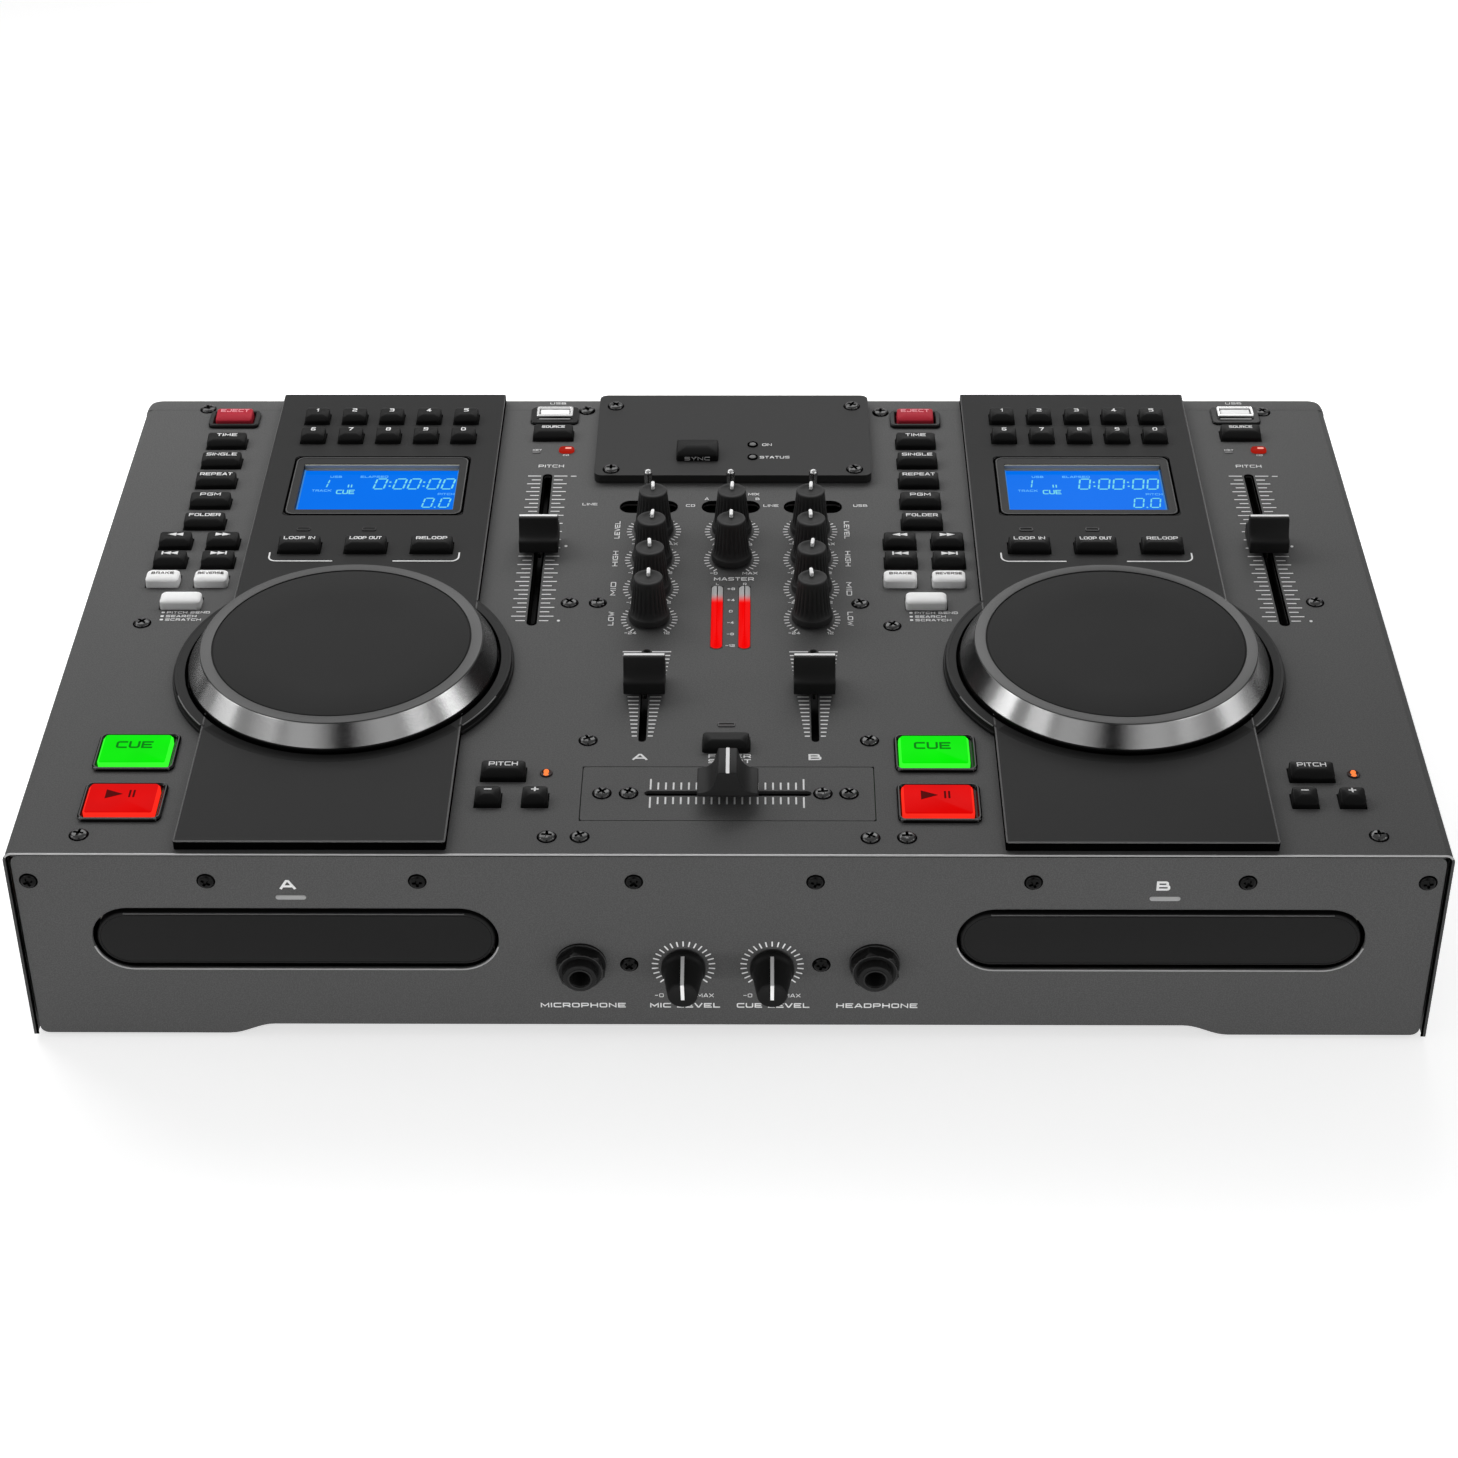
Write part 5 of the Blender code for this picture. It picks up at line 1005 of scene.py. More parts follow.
LENS_SIZE = (0.0244, 0.0175)
LENS_TOP = DECK + 0.0022
LENS_BORDER = 0.0007
LIT_KEYS = (
    ("cue", 0.0560, lens_green, lens_green_edge, marks_blue),
    ("play", 0.0277, lens_red, lens_red_edge, marks_red),
)

for side, deck_x in DECKS:
    x = deck_x - 0.0667
    for name, y, face, border, print_ink in LIT_KEYS:
        node_name = f"{name}_button_{side}"
        lens = moving(node_name, "_lens", f"{name}_lens", origin_of(node_name))
        levels = ((0.0, DECK - SKIRT), (0.0, LENS_TOP - 0.0009), (LENS_BORDER, LENS_TOP - 0.00012))
        ends = corners_of((x, at(y)), LENS_SIZE)
        rings = stacked(levels, *ends, lambda inset: max(0.0022 - inset, 0.0009), 3)
        lens.add(lofted(rings), border, None, True)
        size = [length - 2 * LENS_BORDER - 0.0001 for length in LENS_SIZE]
        lens.add(tile((x, at(y)), size, LENS_TOP - 0.0006, LENS_TOP, 0.0011, 0.00015), face)
        if name == "cue":
            word(lens, "CUE", x - 0.0006, y + 0.0022, LENS_TOP, 0.0056, print_ink, width=0.0127, weight=0.2)
        else:
            lens.add(triangle(0.0058, 0.0050), print_ink, printed_at(x - 0.0028, y + 0.0022, LENS_TOP))
            for shift in (0.0025, 0.0039):
                lens.add(bar(0.0007, 0.0040), print_ink, printed_at(x + shift, y + 0.0024, LENS_TOP))
        lens.done()


# Knobs: a tapered body with fine ribs, a dished top with a white pointer, and a plain skirt

KNOB_SKIRT_RADIUS = 0.0077
KNOB_BODY_RADIUS = 0.0069
KNOB_TOP_RADIUS = 0.0054
KNOB_FOOT = 0.0008
KNOB_FLARE = 0.0040
KNOB_HEIGHT = 0.0185
# Shares of a radius with heights, or with distances up from the top or the flare
KNOB_SKIRT = (
    (0.93, KNOB_FOOT),
    (1, KNOB_FOOT + 0.0004),
    (1, KNOB_FLARE - 0.0012),
    (0.985, KNOB_FLARE - 0.0006),
)
KNOB_CROWN = ((1, -0.0006), (0.985, -0.0002), (0.93, 0), (0.82, -0.0001), (0.70, -0.0004), (0.45, -0.0008))
SKIRT_LINE = ((0.955, -0.00055), (0.975, -0.00045), (0.935, -0.00015), (0.915, -0.00025))
RIB_COUNT = 24
RIB_DEPTH = 0.07
TURNS = {"level": (2, -3), "high": (-4, 3), "mid": (4, -5), "low": (0, 6)}


def ribs(angle, z):
    """Scales a knob's radius into ribs that fade in and out between its flare and its crown."""
    foot, head = KNOB_FLARE + 0.0004, KNOB_HEIGHT - 0.0012
    if not foot < z < head:
        return 1.0
    share = (z - foot) / (head - foot)
    fade = min(1.0, share * 6, (1 - share) * 8)
    return 1.0 - RIB_DEPTH * fade * (0.5 - 0.5 * math.cos(RIB_COUNT * angle)) ** 2


def knob(node_name, turn):
    x, y, _ = middle_of(node_name)
    made = moving(node_name, "_cap", "knob_plastic", (x, y, DECK))
    place = placed(x, y, DECK, turn)
    profile = [(0, KNOB_FOOT), *((KNOB_SKIRT_RADIUS * out, z) for out, z in KNOB_SKIRT)]
    profile.append((KNOB_BODY_RADIUS * 1.03, KNOB_FLARE))
    steps = 12
    for step in range(steps):
        share = step / steps
        radius = KNOB_BODY_RADIUS + (KNOB_TOP_RADIUS - KNOB_BODY_RADIUS) * share
        profile.append((radius, KNOB_FLARE + 0.0004 + (KNOB_HEIGHT - KNOB_FLARE - 0.0013) * share))
    profile += [(KNOB_TOP_RADIUS * out, KNOB_HEIGHT + up) for out, up in KNOB_CROWN]
    profile.append((0, KNOB_HEIGHT - 0.0009))
    made.add(lathe(profile, RIB_COUNT * 6, ribs), knob_black, place)
    # A paler ring on the skirt's shoulder: a painted highlight
    line = [(KNOB_SKIRT_RADIUS * out, KNOB_FLARE + up) for out, up in SKIRT_LINE]
    made.add(washer(line, 64), painted_edge_glint, place)
    pointer = tile((0, 0.0036), (0.0013, 0.0041), KNOB_HEIGHT - 0.0008, KNOB_HEIGHT + 0.0006, 0.00064, 0.0002)
    made.add(pointer, pointer_white, place)
    made.done(50)


for kind, turns in TURNS.items():
    for (side, _), turn in zip(SIDES, turns):
        knob(f"{kind}_knob_{side}", turn)
knob("cue_mix_knob", -2)
knob("master_knob", 1)


def front_knob(node_name, turn):
    """A smooth tapered knob on the front panel; its pointer runs over its rim and down its face."""
    x, _, z = middle_of(node_name)
    foot, height, skirt, top = 0.0004, 0.0158, 0.0076, 0.0052
    shares = ((0.95, 0), (1, 0.0005), (1, 0.0022), (0.97, 0.0029), (0.91, 0.0033))
    profile = [(0, foot), *((skirt * out, foot + up) for out, up in shares)]
    steps = 10
    for step in range(1, steps + 1):
        share = step / steps
        radius = skirt * 0.90 + (top - skirt * 0.90) * share
        profile.append((radius, foot + 0.0033 + (height - 0.0045) * share))
    crown = ((0.985, -0.0004), (0.93, -0.0001), (0.84, 0), (0.70, -0.0004), (0, -0.0006))
    profile += [(top * out, height + up) for out, up in crown]
    made = moving(node_name, "_cap", "knob_plastic", (x, PANEL_FACE_Y, z))
    place = on_front(x, z, turn)
    made.add(lathe(profile, 96), front_knob_black, place)
    half, low, high, lean = 0.0006, -0.0004, 0.0002, 0.00025
    stripe = (
        (top * -0.35, height - 0.0003),
        (top * 0.93 + lean, height + 0.0002),
        (skirt * 0.92 + lean, foot + 0.0036),
    )
    section = ((-half, low), (half, low), (half, high), (-half, high))
    rings = [[(across, reach, rise + up) for across, up in section] for reach, rise in stripe]
    made.add(lofted(rings), pointer_white, place, True)
    made.done(50)


front_knob("microphone_knob", 1)
front_knob("headphone_knob", 0)


# Fader caps: in side view alike on both sides of the ridge, a lip and then a hollow up to the ridge

CAP_TOP = DECK + 0.0140
HOLLOW = ((0.74, 0.45), (0.62, 0.47), (0.52, 0.53), (0.42, 0.64), (0.32, 0.79), (0.25, 0.92), (0.21, 1))
CROSS_HOLLOW = (
    (0.90, 0.13), (0.78, 0.15), (0.66, 0.21), (0.55, 0.31),
    (0.46, 0.46), (0.39, 0.66), (0.34, 0.86), (0.31, 1),
)


def fader_cap(node_name, foot, lip, hollow_path, soft, crossing=False):
    """A cap with a white line along its ridge, on a stem; the crossfader's ridge runs front to back."""
    low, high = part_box(node_name)
    x, y, _ = middle_of(node_name)
    wide, deep = high.x - low.x, high.y - low.y
    rise = CAP_TOP - foot
    made = moving(node_name, "_cap", "fader_cap", (x, y, DECK))
    place = placed(x, y, foot)
    half, reach = (wide / 2, deep / 2) if crossing else (deep / 2, wide / 2)
    flank = [(-half, 0.0), (-half, rise * lip), *((-half * out, rise * up) for out, up in hollow_path)]
    radii = [0.0004, soft, *(0.0006 if up == 1 else 0.0 for _, up in hollow_path)]
    whole = flank + [(-across, up) for across, up in flank[::-1]]
    path = fillet([(*point, 0) for point in whole], radii + radii[::-1])
    body = extruded([point[:2] for point in path], -reach, reach, 0.0005)
    made.add(body, cap_black, placed(x, y, foot, 90 if crossing else 0))
    if crossing:
        middle, size, corner = (0, 0), (0.0012, deep * 0.97), 0.0003
        stem, sink = (0.0060, 0.0012), -0.0072
    else:
        middle, size, corner = (0, 0.0003), (wide - 0.0004, 0.0012), 0.0002
        stem, sink = (0.0012, 0.0060), -0.0050
    made.add(tile(middle, size, rise - 0.0003, rise + 0.00012, corner), pointer_white, place)
    made.add(tile((0, 0), stem, sink, 0.0010, 0.0003), zinc, place)
    made.done(32)


for side, _ in DECKS:
    for kind in ("pitch", "channel"):
        fader_cap(f"{kind}_fader_{side}", DECK + 0.0020, 0.42, HOLLOW, 0.0022)
fader_cap("crossfader", DECK + 0.0043, 0.12, CROSS_HOLLOW, 0.0006, True)


# Toggles: a chrome lever with a round tip, on a ball

BALL = 0.0023
STICK = 0.0012
TIP = 0.0016

for node_name in ("input_toggle_left", "cue_toggle", "input_toggle_right"):
    low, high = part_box(node_name)
    x, y, _ = middle_of(node_name)
    span = high.z - low.z
    reach = QUARTER + math.acos(STICK / BALL)
    profile = []
    for step in range(9):
        angle = -QUARTER + reach * step / 8
        profile.append((BALL * math.cos(angle) if step else 0, 0.0025 + BALL * math.sin(angle)))
    profile += [(STICK, span * 0.45), (0.0014, span * 0.78), (TIP, span * 0.90)]
    profile += [(TIP - inset, z) for inset, z in soft_edge(TIP, span, 6)[:-1]]
    profile.append((0, span))
    lever = moving(node_name, "_lever", "lever_chrome", (x, y, low.z))
    lever.add(lathe(profile, 32), chrome, placed(x, y, low.z))
    lever.done(50)


# Deck panels: a smooth dark film over a black moulding, with the jog wheel's surround

PANEL_WIDTH = 0.0905
PANEL_FRONT = 0.0022
PANEL_BACK = 0.2995
# Painted shadow on the panel's walls, a painted highlight line along its top edge, and a black band inside
# that
PANEL_RIMS = (
    (0.0002, -0.0006, DECK + 0.0001, PANEL_TOP - 0.0003, shadow_black_paint),
    (0.0001, -0.0004, PANEL_TOP - 0.0003, PANEL_TOP + 0.00005, painted_highlight_line),
    (-0.0004, -0.0010, PANEL_TOP - 0.0003, PANEL_TOP + 0.00006, edge_black),
)
JOG_Y = 0.1072
SURROUND_RADIUS = 0.0603
# Points out from the surround's radius and up from the panel's face
SURROUND_SECTION = (
    (0.0008, -0.0032), (0.0008, -0.0021), (0.0006, -0.0018), (0.0002, -0.0018), (0.0001, -0.0016),
    (0.0001, -0.0002), (-0.0001, 0.00008), (-0.0009, 0.0001), (-0.0011, 0.00002), (-0.0011, -0.0032),
)
GLINT_SECTION = ((-0.0002, -0.0002), (-0.0002, 0.00016), (0.00016, 0.00016), (0.00016, -0.0002))
SHADE_SECTION = (
    (0.0566, PANEL_TOP - 0.0001),
    (0.0566, PANEL_TOP + 0.00004),
    (0.0607, PANEL_TOP + 0.00004),
    (0.0607, PANEL_TOP - 0.0001),
)
SHADE_REACH = 0.82


def panel_rim(side, deck_x):
    """The moulding's edge round the film and the surround's ends, with painted shadow on the walls and in the
    wheel's gap, and painted highlights along the top edges.
    """
    made = Shape(f"panel_edge_{side}", CASING, "overlay")
    middle = (deck_x, at((PANEL_FRONT + PANEL_BACK) / 2))
    long = PANEL_BACK - PANEL_FRONT
    for grow, shrink, low, high, finish in PANEL_RIMS:
        outer, inner = ((PANEL_WIDTH + more, long + more) for more in (grow, shrink))
        made.add(hoop(middle, outer, inner, low, high, 0.0008), finish)
    centre = (deck_x, at(JOG_Y))
    surround, glint = (
        [(SURROUND_RADIUS + out, PANEL_TOP + up) for out, up in section]
        for section in (SURROUND_SECTION, GLINT_SECTION)
    )
    reach = math.acos((PANEL_WIDTH / 2 - 0.0002) / SURROUND_RADIUS)
    for middle in (0.0, math.pi):
        made.add(lofted(swept(surround, centre, middle - reach, middle + reach, 40)), ring_black)
    # Painted highlights where the surround's top edge turns to face the front
    for first in (math.pi + reach - 0.36, -reach + 0.02):
        made.add(lofted(swept(glint, centre, first, first + 0.34, 12)), glint_and_lamp_grey)
    # A painted shadow line in the gap between the wheel and its well
    made.add(flat_ring(0.0558, 0.0566, 0, 0.00008, 120), shadow_black_paint, placed(*centre, PANEL_TOP))
    made.done(30)


for side, deck_x in DECKS:
    panel_rim(side, deck_x)
    # A flat ring in front of each wheel, carrying the wheel's painted shadow
    ring = Shape(f"surround_shade_{side}", CASING, "overlay", (), (deck_x, at(JOG_Y), PANEL_TOP))
    turns = (-QUARTER - SHADE_REACH, -QUARTER + SHADE_REACH)
    ring.add(lofted(swept(SHADE_SECTION, (deck_x, at(JOG_Y)), *turns, 40)), shade)
    ring.done(30)


# Jog wheels: a turned metal rim and bevel round a matte top, standing in a black well

JOG_RADIUS = 0.0554
JOG_RIM_RADIUS = 0.0504
JOG_FACE_RADIUS = 0.0462
JOG_TOP = DECK + 0.0125
JOG_SKIRT_TOP = DECK + 0.0052
JOG_FOOT = DECK + 0.0012
JOG_SKIRT = (
    (0.040, JOG_FOOT), (JOG_RADIUS - 0.0006, JOG_FOOT), (JOG_RADIUS, JOG_FOOT + 0.0005),
    (JOG_RADIUS, JOG_SKIRT_TOP - 0.0007), (JOG_RADIUS - 0.0003, JOG_SKIRT_TOP - 0.0001),
)
JOG_BEVEL = (
    JOG_SKIRT[-1], (JOG_RADIUS - 0.0005, JOG_SKIRT_TOP + 0.0002),
    (JOG_RIM_RADIUS + 0.0003, JOG_TOP - 0.0006), (JOG_RIM_RADIUS + 0.0001, JOG_TOP - 0.0003),
)
JOG_RIM = (
    JOG_BEVEL[-1], (JOG_RIM_RADIUS - 0.0002, JOG_TOP), (JOG_FACE_RADIUS + 0.0004, JOG_TOP + 0.0001),
    (JOG_FACE_RADIUS + 0.00015, JOG_TOP), (JOG_FACE_RADIUS + 0.0001, JOG_TOP - 0.0004),
)
JOG_DISC = (
    JOG_RIM[-1], (JOG_FACE_RADIUS - 0.0002, JOG_TOP - 0.0004), (JOG_FACE_RADIUS - 0.0005, JOG_TOP - 0.0001),
    (JOG_FACE_RADIUS - 0.0009, JOG_TOP), (0.030, JOG_TOP - 0.0001), (0.012, JOG_TOP - 0.0002),
    (0, JOG_TOP - 0.0002),
)
JOG_UNDER = ((0, JOG_TOP - 0.004), (JOG_FACE_RADIUS, JOG_TOP - 0.004), (0.040, JOG_FOOT))
JOG_FINISHES = (
    (JOG_SKIRT, gloss_black),
    (JOG_BEVEL, bevel_metal),
    (JOG_RIM, rim_grey),
    (JOG_DISC, disc_matte),
    (JOG_UNDER, hollow),
)

for side, deck_x in DECKS:
    wheel = moving(f"jog_wheel_{side}", "_rim", "jog_rim", (deck_x, at(JOG_Y), DECK))
    for profile, finish in JOG_FINISHES:
        wheel.add(lathe(profile, 160), finish, placed(deck_x, at(JOG_Y)))
    welded(wheel.mesh, 2e-6)
    wheel.done(28)


# Displays: a recessed lit glass with segment digits, and the pale wall of its tray at the back

DISPLAY_Y = 0.2283
# A painted shadow line round the display window, and a painted highlight line just inside it
DISPLAY_RIMS = (
    ((0.0695, 0.0438), 0.0008, 0.0001, shadow_black_paint),
    ((0.0679, 0.0422), 0.0004, 0.00014, painted_highlight_line),
)
WINDOW_Y = 0.2275
WINDOW_WIDTH = 0.0615
WINDOW_DEPTH = 0.0340
WINDOW_GAP = 0.0001
WINDOW_FLOOR = PANEL_TOP - 0.0028
GLASS_TOP = WINDOW_FLOOR + 0.0004
DISPLAY_WORDS = (
    ("USB", 0.0130, 0.0112),
    ("TRACK", 0.0084, 0.0008),
    ("ELAPSED", 0.0281, 0.0112),
    ("PITCH", 0.0575, -0.0018),
)
SEGMENT_SHARES = {
    "a": (0, 1), "g": (0, 0), "d": (0, -1), "f": (-1, 0.5), "b": (1, 0.5), "e": (-1, -0.5), "c": (1, -0.5),
}
DIGIT_SEGMENTS = {"0": "abcdef", "1": "bc"}
LEAN = 0.14


def segments_of(figure, size):
    """A leaning figure's separate bars, size high."""
    half_width, half_height, thick = size * 0.27, size * 0.5, size * 0.085
    for name in DIGIT_SEGMENTS[figure]:
        across, up = SEGMENT_SHARES[name]
        level = across == 0
        span = (2 * half_width if level else half_height) - thick * 1.25
        solid = bar(*((span, thick) if level else (thick, span)))
        for vert in solid.verts:
            vert.co.y += up * half_height
            vert.co.x += across * half_width + vert.co.y * LEAN
        yield solid


def figures(shape, text, x, y, size):
    """A run of figures that ends at x; a colon or point takes less room."""
    for mark in reversed(text):
        if mark == ":":
            for up in (-0.22, 0.18):
                dot = bar(size * 0.11, size * 0.11)
                shape.add(dot, lcd_text, printed_at(x - size * 0.10, y + size * up, GLASS_TOP))
            x -= size * 0.26
        elif mark == ".":
            dot = bar(size * 0.10, size * 0.10)
            shape.add(dot, lcd_text, printed_at(x - size * 0.12, y - size * 0.5, GLASS_TOP))
            x -= size * 0.22
        else:
            for solid in segments_of(mark, size):
                shape.add(solid, lcd_text, printed_at(x - size * 0.34, y, GLASS_TOP))
            x -= size * 0.76


for side, deck_x in DECKS:
    glass = Shape(f"display_glass_{side}", CASING, "display")
    centre = (deck_x, at(WINDOW_Y))
    left, right, back = deck_x - WINDOW_WIDTH / 2, deck_x + WINDOW_WIDTH / 2, centre[1] + WINDOW_DEPTH / 2
    size = (WINDOW_WIDTH - 2 * WINDOW_GAP, WINDOW_DEPTH - 2 * WINDOW_GAP)
    glass.add(tile(centre, size, WINDOW_FLOOR - 0.0001, GLASS_TOP, 0.0006), lcd_blue)
    for middle, deep, high, corner, soft in (
        (0.0007, 0.0012, WINDOW_FLOOR + 0.0010, 0.0003, 0.0003),
        (0.0004, 0.0005, PANEL_TOP - 0.0002, 0.0002, 0.0001),
    ):
        wall = tile((deck_x, back - middle), (size[0], deep), WINDOW_FLOOR, high, corner, soft)
        glass.add(wall, lcd_wall)
    inner = [length - 0.0010 for length in size]
    glass.add(hoop(centre, size, inner, WINDOW_FLOOR, WINDOW_FLOOR + 0.0008, 0.0006), lcd_rim)
    figures(glass, "0:00:00", right - 0.0012, WINDOW_Y + 0.0058, 0.0075)
    figures(glass, "0.0", right - 0.0018, WINDOW_Y - 0.0082, 0.0066)
    figures(glass, "1", left + 0.0108, WINDOW_Y + 0.0060, 0.0058)
    for text, x, y in DISPLAY_WORDS:
        word(glass, text, left + x, WINDOW_Y + y, GLASS_TOP, 0.0020, lcd_dim)
    word(glass, "CUE", left + 0.0178, WINDOW_Y - 0.0002, GLASS_TOP, 0.0044, lcd_text, width=0.0072)
    for shift in (-0.0006, 0.0006):
        place = printed_at(left + 0.0192 + shift, WINDOW_Y + 0.0042, GLASS_TOP)
        glass.add(bar(0.0005, 0.0020), lcd_text, place)
    glass.done()

    rim = Shape(f"display_rim_{side}", CASING, "overlay")
    for size, width, rise, finish in DISPLAY_RIMS:
        inner = [length - 2 * width for length in size]
        line = hoop((deck_x, at(DISPLAY_Y)), size, inner, PANEL_TOP - 0.0006, PANEL_TOP + rise, 0.0032)
        rim.add(line, finish)
    rim.done()


# Front panel: trays, jacks, level legends and lamps

TRAY_X = 0.1465
TRAY_HALF = 0.0642
TRAY_TOP = 0.0439
SLOT_Z = DECK - 0.0372
DOOR_WIDTH = 0.1354
DOOR_HEIGHT = 0.0225
DOOR_DROP = 0.0008
DOOR_FACE_Y = FRONT_Y + 0.0016
DISC_Y = FRONT_Y + 0.0677
DISC_POCKET = 0.0606


def drawn_in(points, middle, inset, z):
    """An outline at a height, each point moved inset towards the middle both ways."""
    x, y = middle
    return [(u - math.copysign(inset, u - x), v - math.copysign(inset, v - y), z) for u, v in points]


def disc_tray(side, sign):
    """A stadium-shaped door with a soft edge, in front of the tray that carries the disc."""
    body = f"disc_tray_{side}"
    x = sign * TRAY_X
    made = moving(body, "_shell", "tray_plastic", (x, DOOR_FACE_Y, SLOT_Z))
    place = on_front(x, SLOT_Z - DOOR_DROP, 0, DOOR_FACE_Y)
    door = tile((0, 0), (DOOR_WIDTH, DOOR_HEIGHT), -0.0040, 0.0, DOOR_HEIGHT / 2, 0.0009, 14, 4)
    made.add(door, tray_black, place)
    outer, inner = ((DOOR_WIDTH - inset, DOOR_HEIGHT - inset) for inset in (0.0022, 0.0026))
    groove = hoop((0, 0), outer, inner, -0.0003, 0.00006, DOOR_HEIGHT / 2 - 0.0011, 0.0, 14)
    made.add(groove, gloss_black, place)
    # A painted highlight along the door's top edge
    glint = tile((0, DOOR_HEIGHT / 2 - 0.0004), (DOOR_WIDTH - 0.020, 0.0004), -0.0004, 0.00008, 0.00015)
    made.add(glint, painted_highlight_line, place)
    front, back = DOOR_FACE_Y + 0.0039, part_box(body)[1].y
    middle = (x, (front + back) / 2)
    floor = tile(middle, (2 * TRAY_HALF, back - front), 0.0349, TRAY_TOP - 0.0031, 0.004, 0.0, 5)
    made.add(floor, tray_black)
    outline = rounded((x - TRAY_HALF, front), (x + TRAY_HALF, back), 0.004, 14)
    circle = []
    for u, v in outline:
        angle = math.atan2(v - DISC_Y, u - x)
        circle.append((x + DISC_POCKET * math.cos(angle), DISC_Y + DISC_POCKET * math.sin(angle)))
    edge = 0.0005
    levels = ((0, 0.0032), (0, edge), (edge, 0))
    rings = [drawn_in(outline, middle, inset, TRAY_TOP - drop) for inset, drop in levels]
    rings += [[(*point, TRAY_TOP - drop) for point in circle] for drop in (0, 0.0024)]
    made.add(lofted([*rings, rings[0]], False), tray_black)
    for radius in (0.0208, 0.0402):
        groove = flat_ring(radius - 0.0007, radius, TRAY_TOP - 0.0032, TRAY_TOP - 0.0027, 72)
        made.add(groove, gloss_black, placed(x, DISC_Y))
    made.done(30)


for side, sign in SIDES:
    disc_tray(side, sign)


JACK_Z = DECK - 0.0478
NUT_ACROSS = 0.0150
# Turned about the socket's axis, out from the panel
JACK_WASHER = ((0.0087, 0), (0.0087, 0.0007), (0.0085, 0.0010), (0.0056, 0.0010), (0.0056, 0))
JACK_BUSH = (
    (0.0058, -0.0010), (0.0058, 0.0078), (0.0056, 0.0083), (0.0052, 0.0085), (0.0042, 0.0085),
    (0.0038, 0.0082), (0.0034, 0.0074), (0.0034, -0.0220), (0.0048, -0.0220), (0.0048, -0.0010),
)


def jack(node_name):
    """A hexagonal nut on a washer, with a round bush that holds the socket's ring and black throat."""
    x = middle_of(node_name)[0]
    made = Shape(node_name + "_trim", CASING, "black_plastic", (node_name,), (x, PANEL_FACE_Y, JACK_Z))
    place = on_front(x, JACK_Z)
    made.add(washer(JACK_WASHER, 64), jack_gloss, place)
    hexagon = turned_outline(6, lambda angle: NUT_ACROSS / 2 / math.cos(angle))
    profile = [(0.0058, 0.0010), (hexagon, 0.0010), (hexagon, 0.0042)]
    profile.append((lambda angle: min(hexagon(angle), 0.0081), 0.0047))
    profile += [(0.0076, 0.0051), (0.0066, 0.0052), (0.0058, 0.0049), (0.0058, 0.0010)]
    made.add(welded(lathe(profile, 96, start=0.5)), jack_gloss, on_front(x, JACK_Z, 12))
    # Paler rings on the nut's top edge and the washer's rim: painted highlights
    for radius, rise in ((0.0076, 0.0051), (0.0087, 0.0010)):
        made.add(flat_ring(radius - 0.0003, radius, rise - 0.0002, rise + 0.0001, 72), painted_edge_glint, place)
    made.add(washer(JACK_BUSH, 72), jack_gloss, place)
    made.add(flat_ring(0.0036, 0.0042, 0.0084, 0.0087, 64), jack_ring, place)
    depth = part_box(node_name)[1].y - PANEL_FACE_Y
    made.add(tile((0, 0), (0.0150, 0.0150), -depth + 0.0001, -0.0225, 0.001), jack_gloss, place)
    made.add(flat_ring(0.0049, 0.0074, -0.0225, -0.0014, 48), jack_gloss, place)
    made.done(30)


jack("microphone_jack")
jack("headphone_jack")

# Words as text, X, the drop below the deck, size, width and weight
FRONT_WORDS = (
    ("A", -0.1472, 0.0137, 0.0056, 0.0053, 0.22),
    ("B", 0.1456, 0.0137, 0.0056, 0.0046, 0.22),
    ("MICROPHONE", -0.0499, 0.0667, 0.0029, 0.0293, 0.21),
    ("MIC LEVEL", -0.0148, 0.0667, 0.0029, 0.0241, 0.22),
    ("CUE LEVEL", 0.0155, 0.0667, 0.0029, 0.0250, 0.22),
    ("HEADPHONE", 0.0512, 0.0667, 0.0029, 0.0279, 0.21),
    ("-0", -0.0236, 0.0622, 0.0023, 0.0030, 0.13),
    ("MAX", -0.0077, 0.0622, 0.0023, 0.0056, 0.13),
    ("-0", 0.0068, 0.0622, 0.0023, 0.0030, 0.13),
    ("MAX", 0.0221, 0.0622, 0.0023, 0.0056, 0.13),
)

fronts = Shape("front_print", CASING, "casing")
for text, x, drop, size, width, weight in FRONT_WORDS:
    fronts.add(letters(text, size, width, weight), ink, on_front(x, DECK - drop) @ RAISED, True)
for x in (-0.0151, 0.0151):
    tick_ring(fronts, on_front(x, DECK - 0.0490), 0.0086, 0.0109, 132, 23, 0.0005)
fronts.done()

pills = Shape("tray_lamps", CASING, "casing")
for x in (-TRAY_X, TRAY_X):
    pill = tile((0, 0), (0.0103, 0.0019), -0.0002, 0.0003, 0.00092, 0.0002, 5)
    pills.add(pill, pale_window_and_glint, on_front(x, DECK - 0.0191))
pills.done()

# The panel's rounded edge round each tray slot, and the pale line along the slot's lower edge, a painted
# highlight
lips = Shape("slot_lips", CASING, "casing")
LINE_SECTION = ((0.01325, -0.0004), (0.01325, 0.00010), (0.01375, 0.00014), (0.01375, -0.0004))
for sign in (-1, 1):
    place = on_front(sign * TRAY_X, SLOT_Z)
    lip = hoop((0, 0), (0.1388, 0.0274), (0.1380, 0.0266), -0.0004, 0.00008, 0.0137, 0.0001, 16)
    lips.add(lip, front_paint, place)
    rings = []
    for centre, first in ((-0.0556, 195), (0.0556, 270)):
        rings += swept(LINE_SECTION, (centre, 0), math.radians(first), math.radians(first + 75), 10)
    lips.add(lofted(rings), pale_window_and_glint, place)
lips.done()


# Small trim on the deck: bezels, sockets, slots, lamps and meters

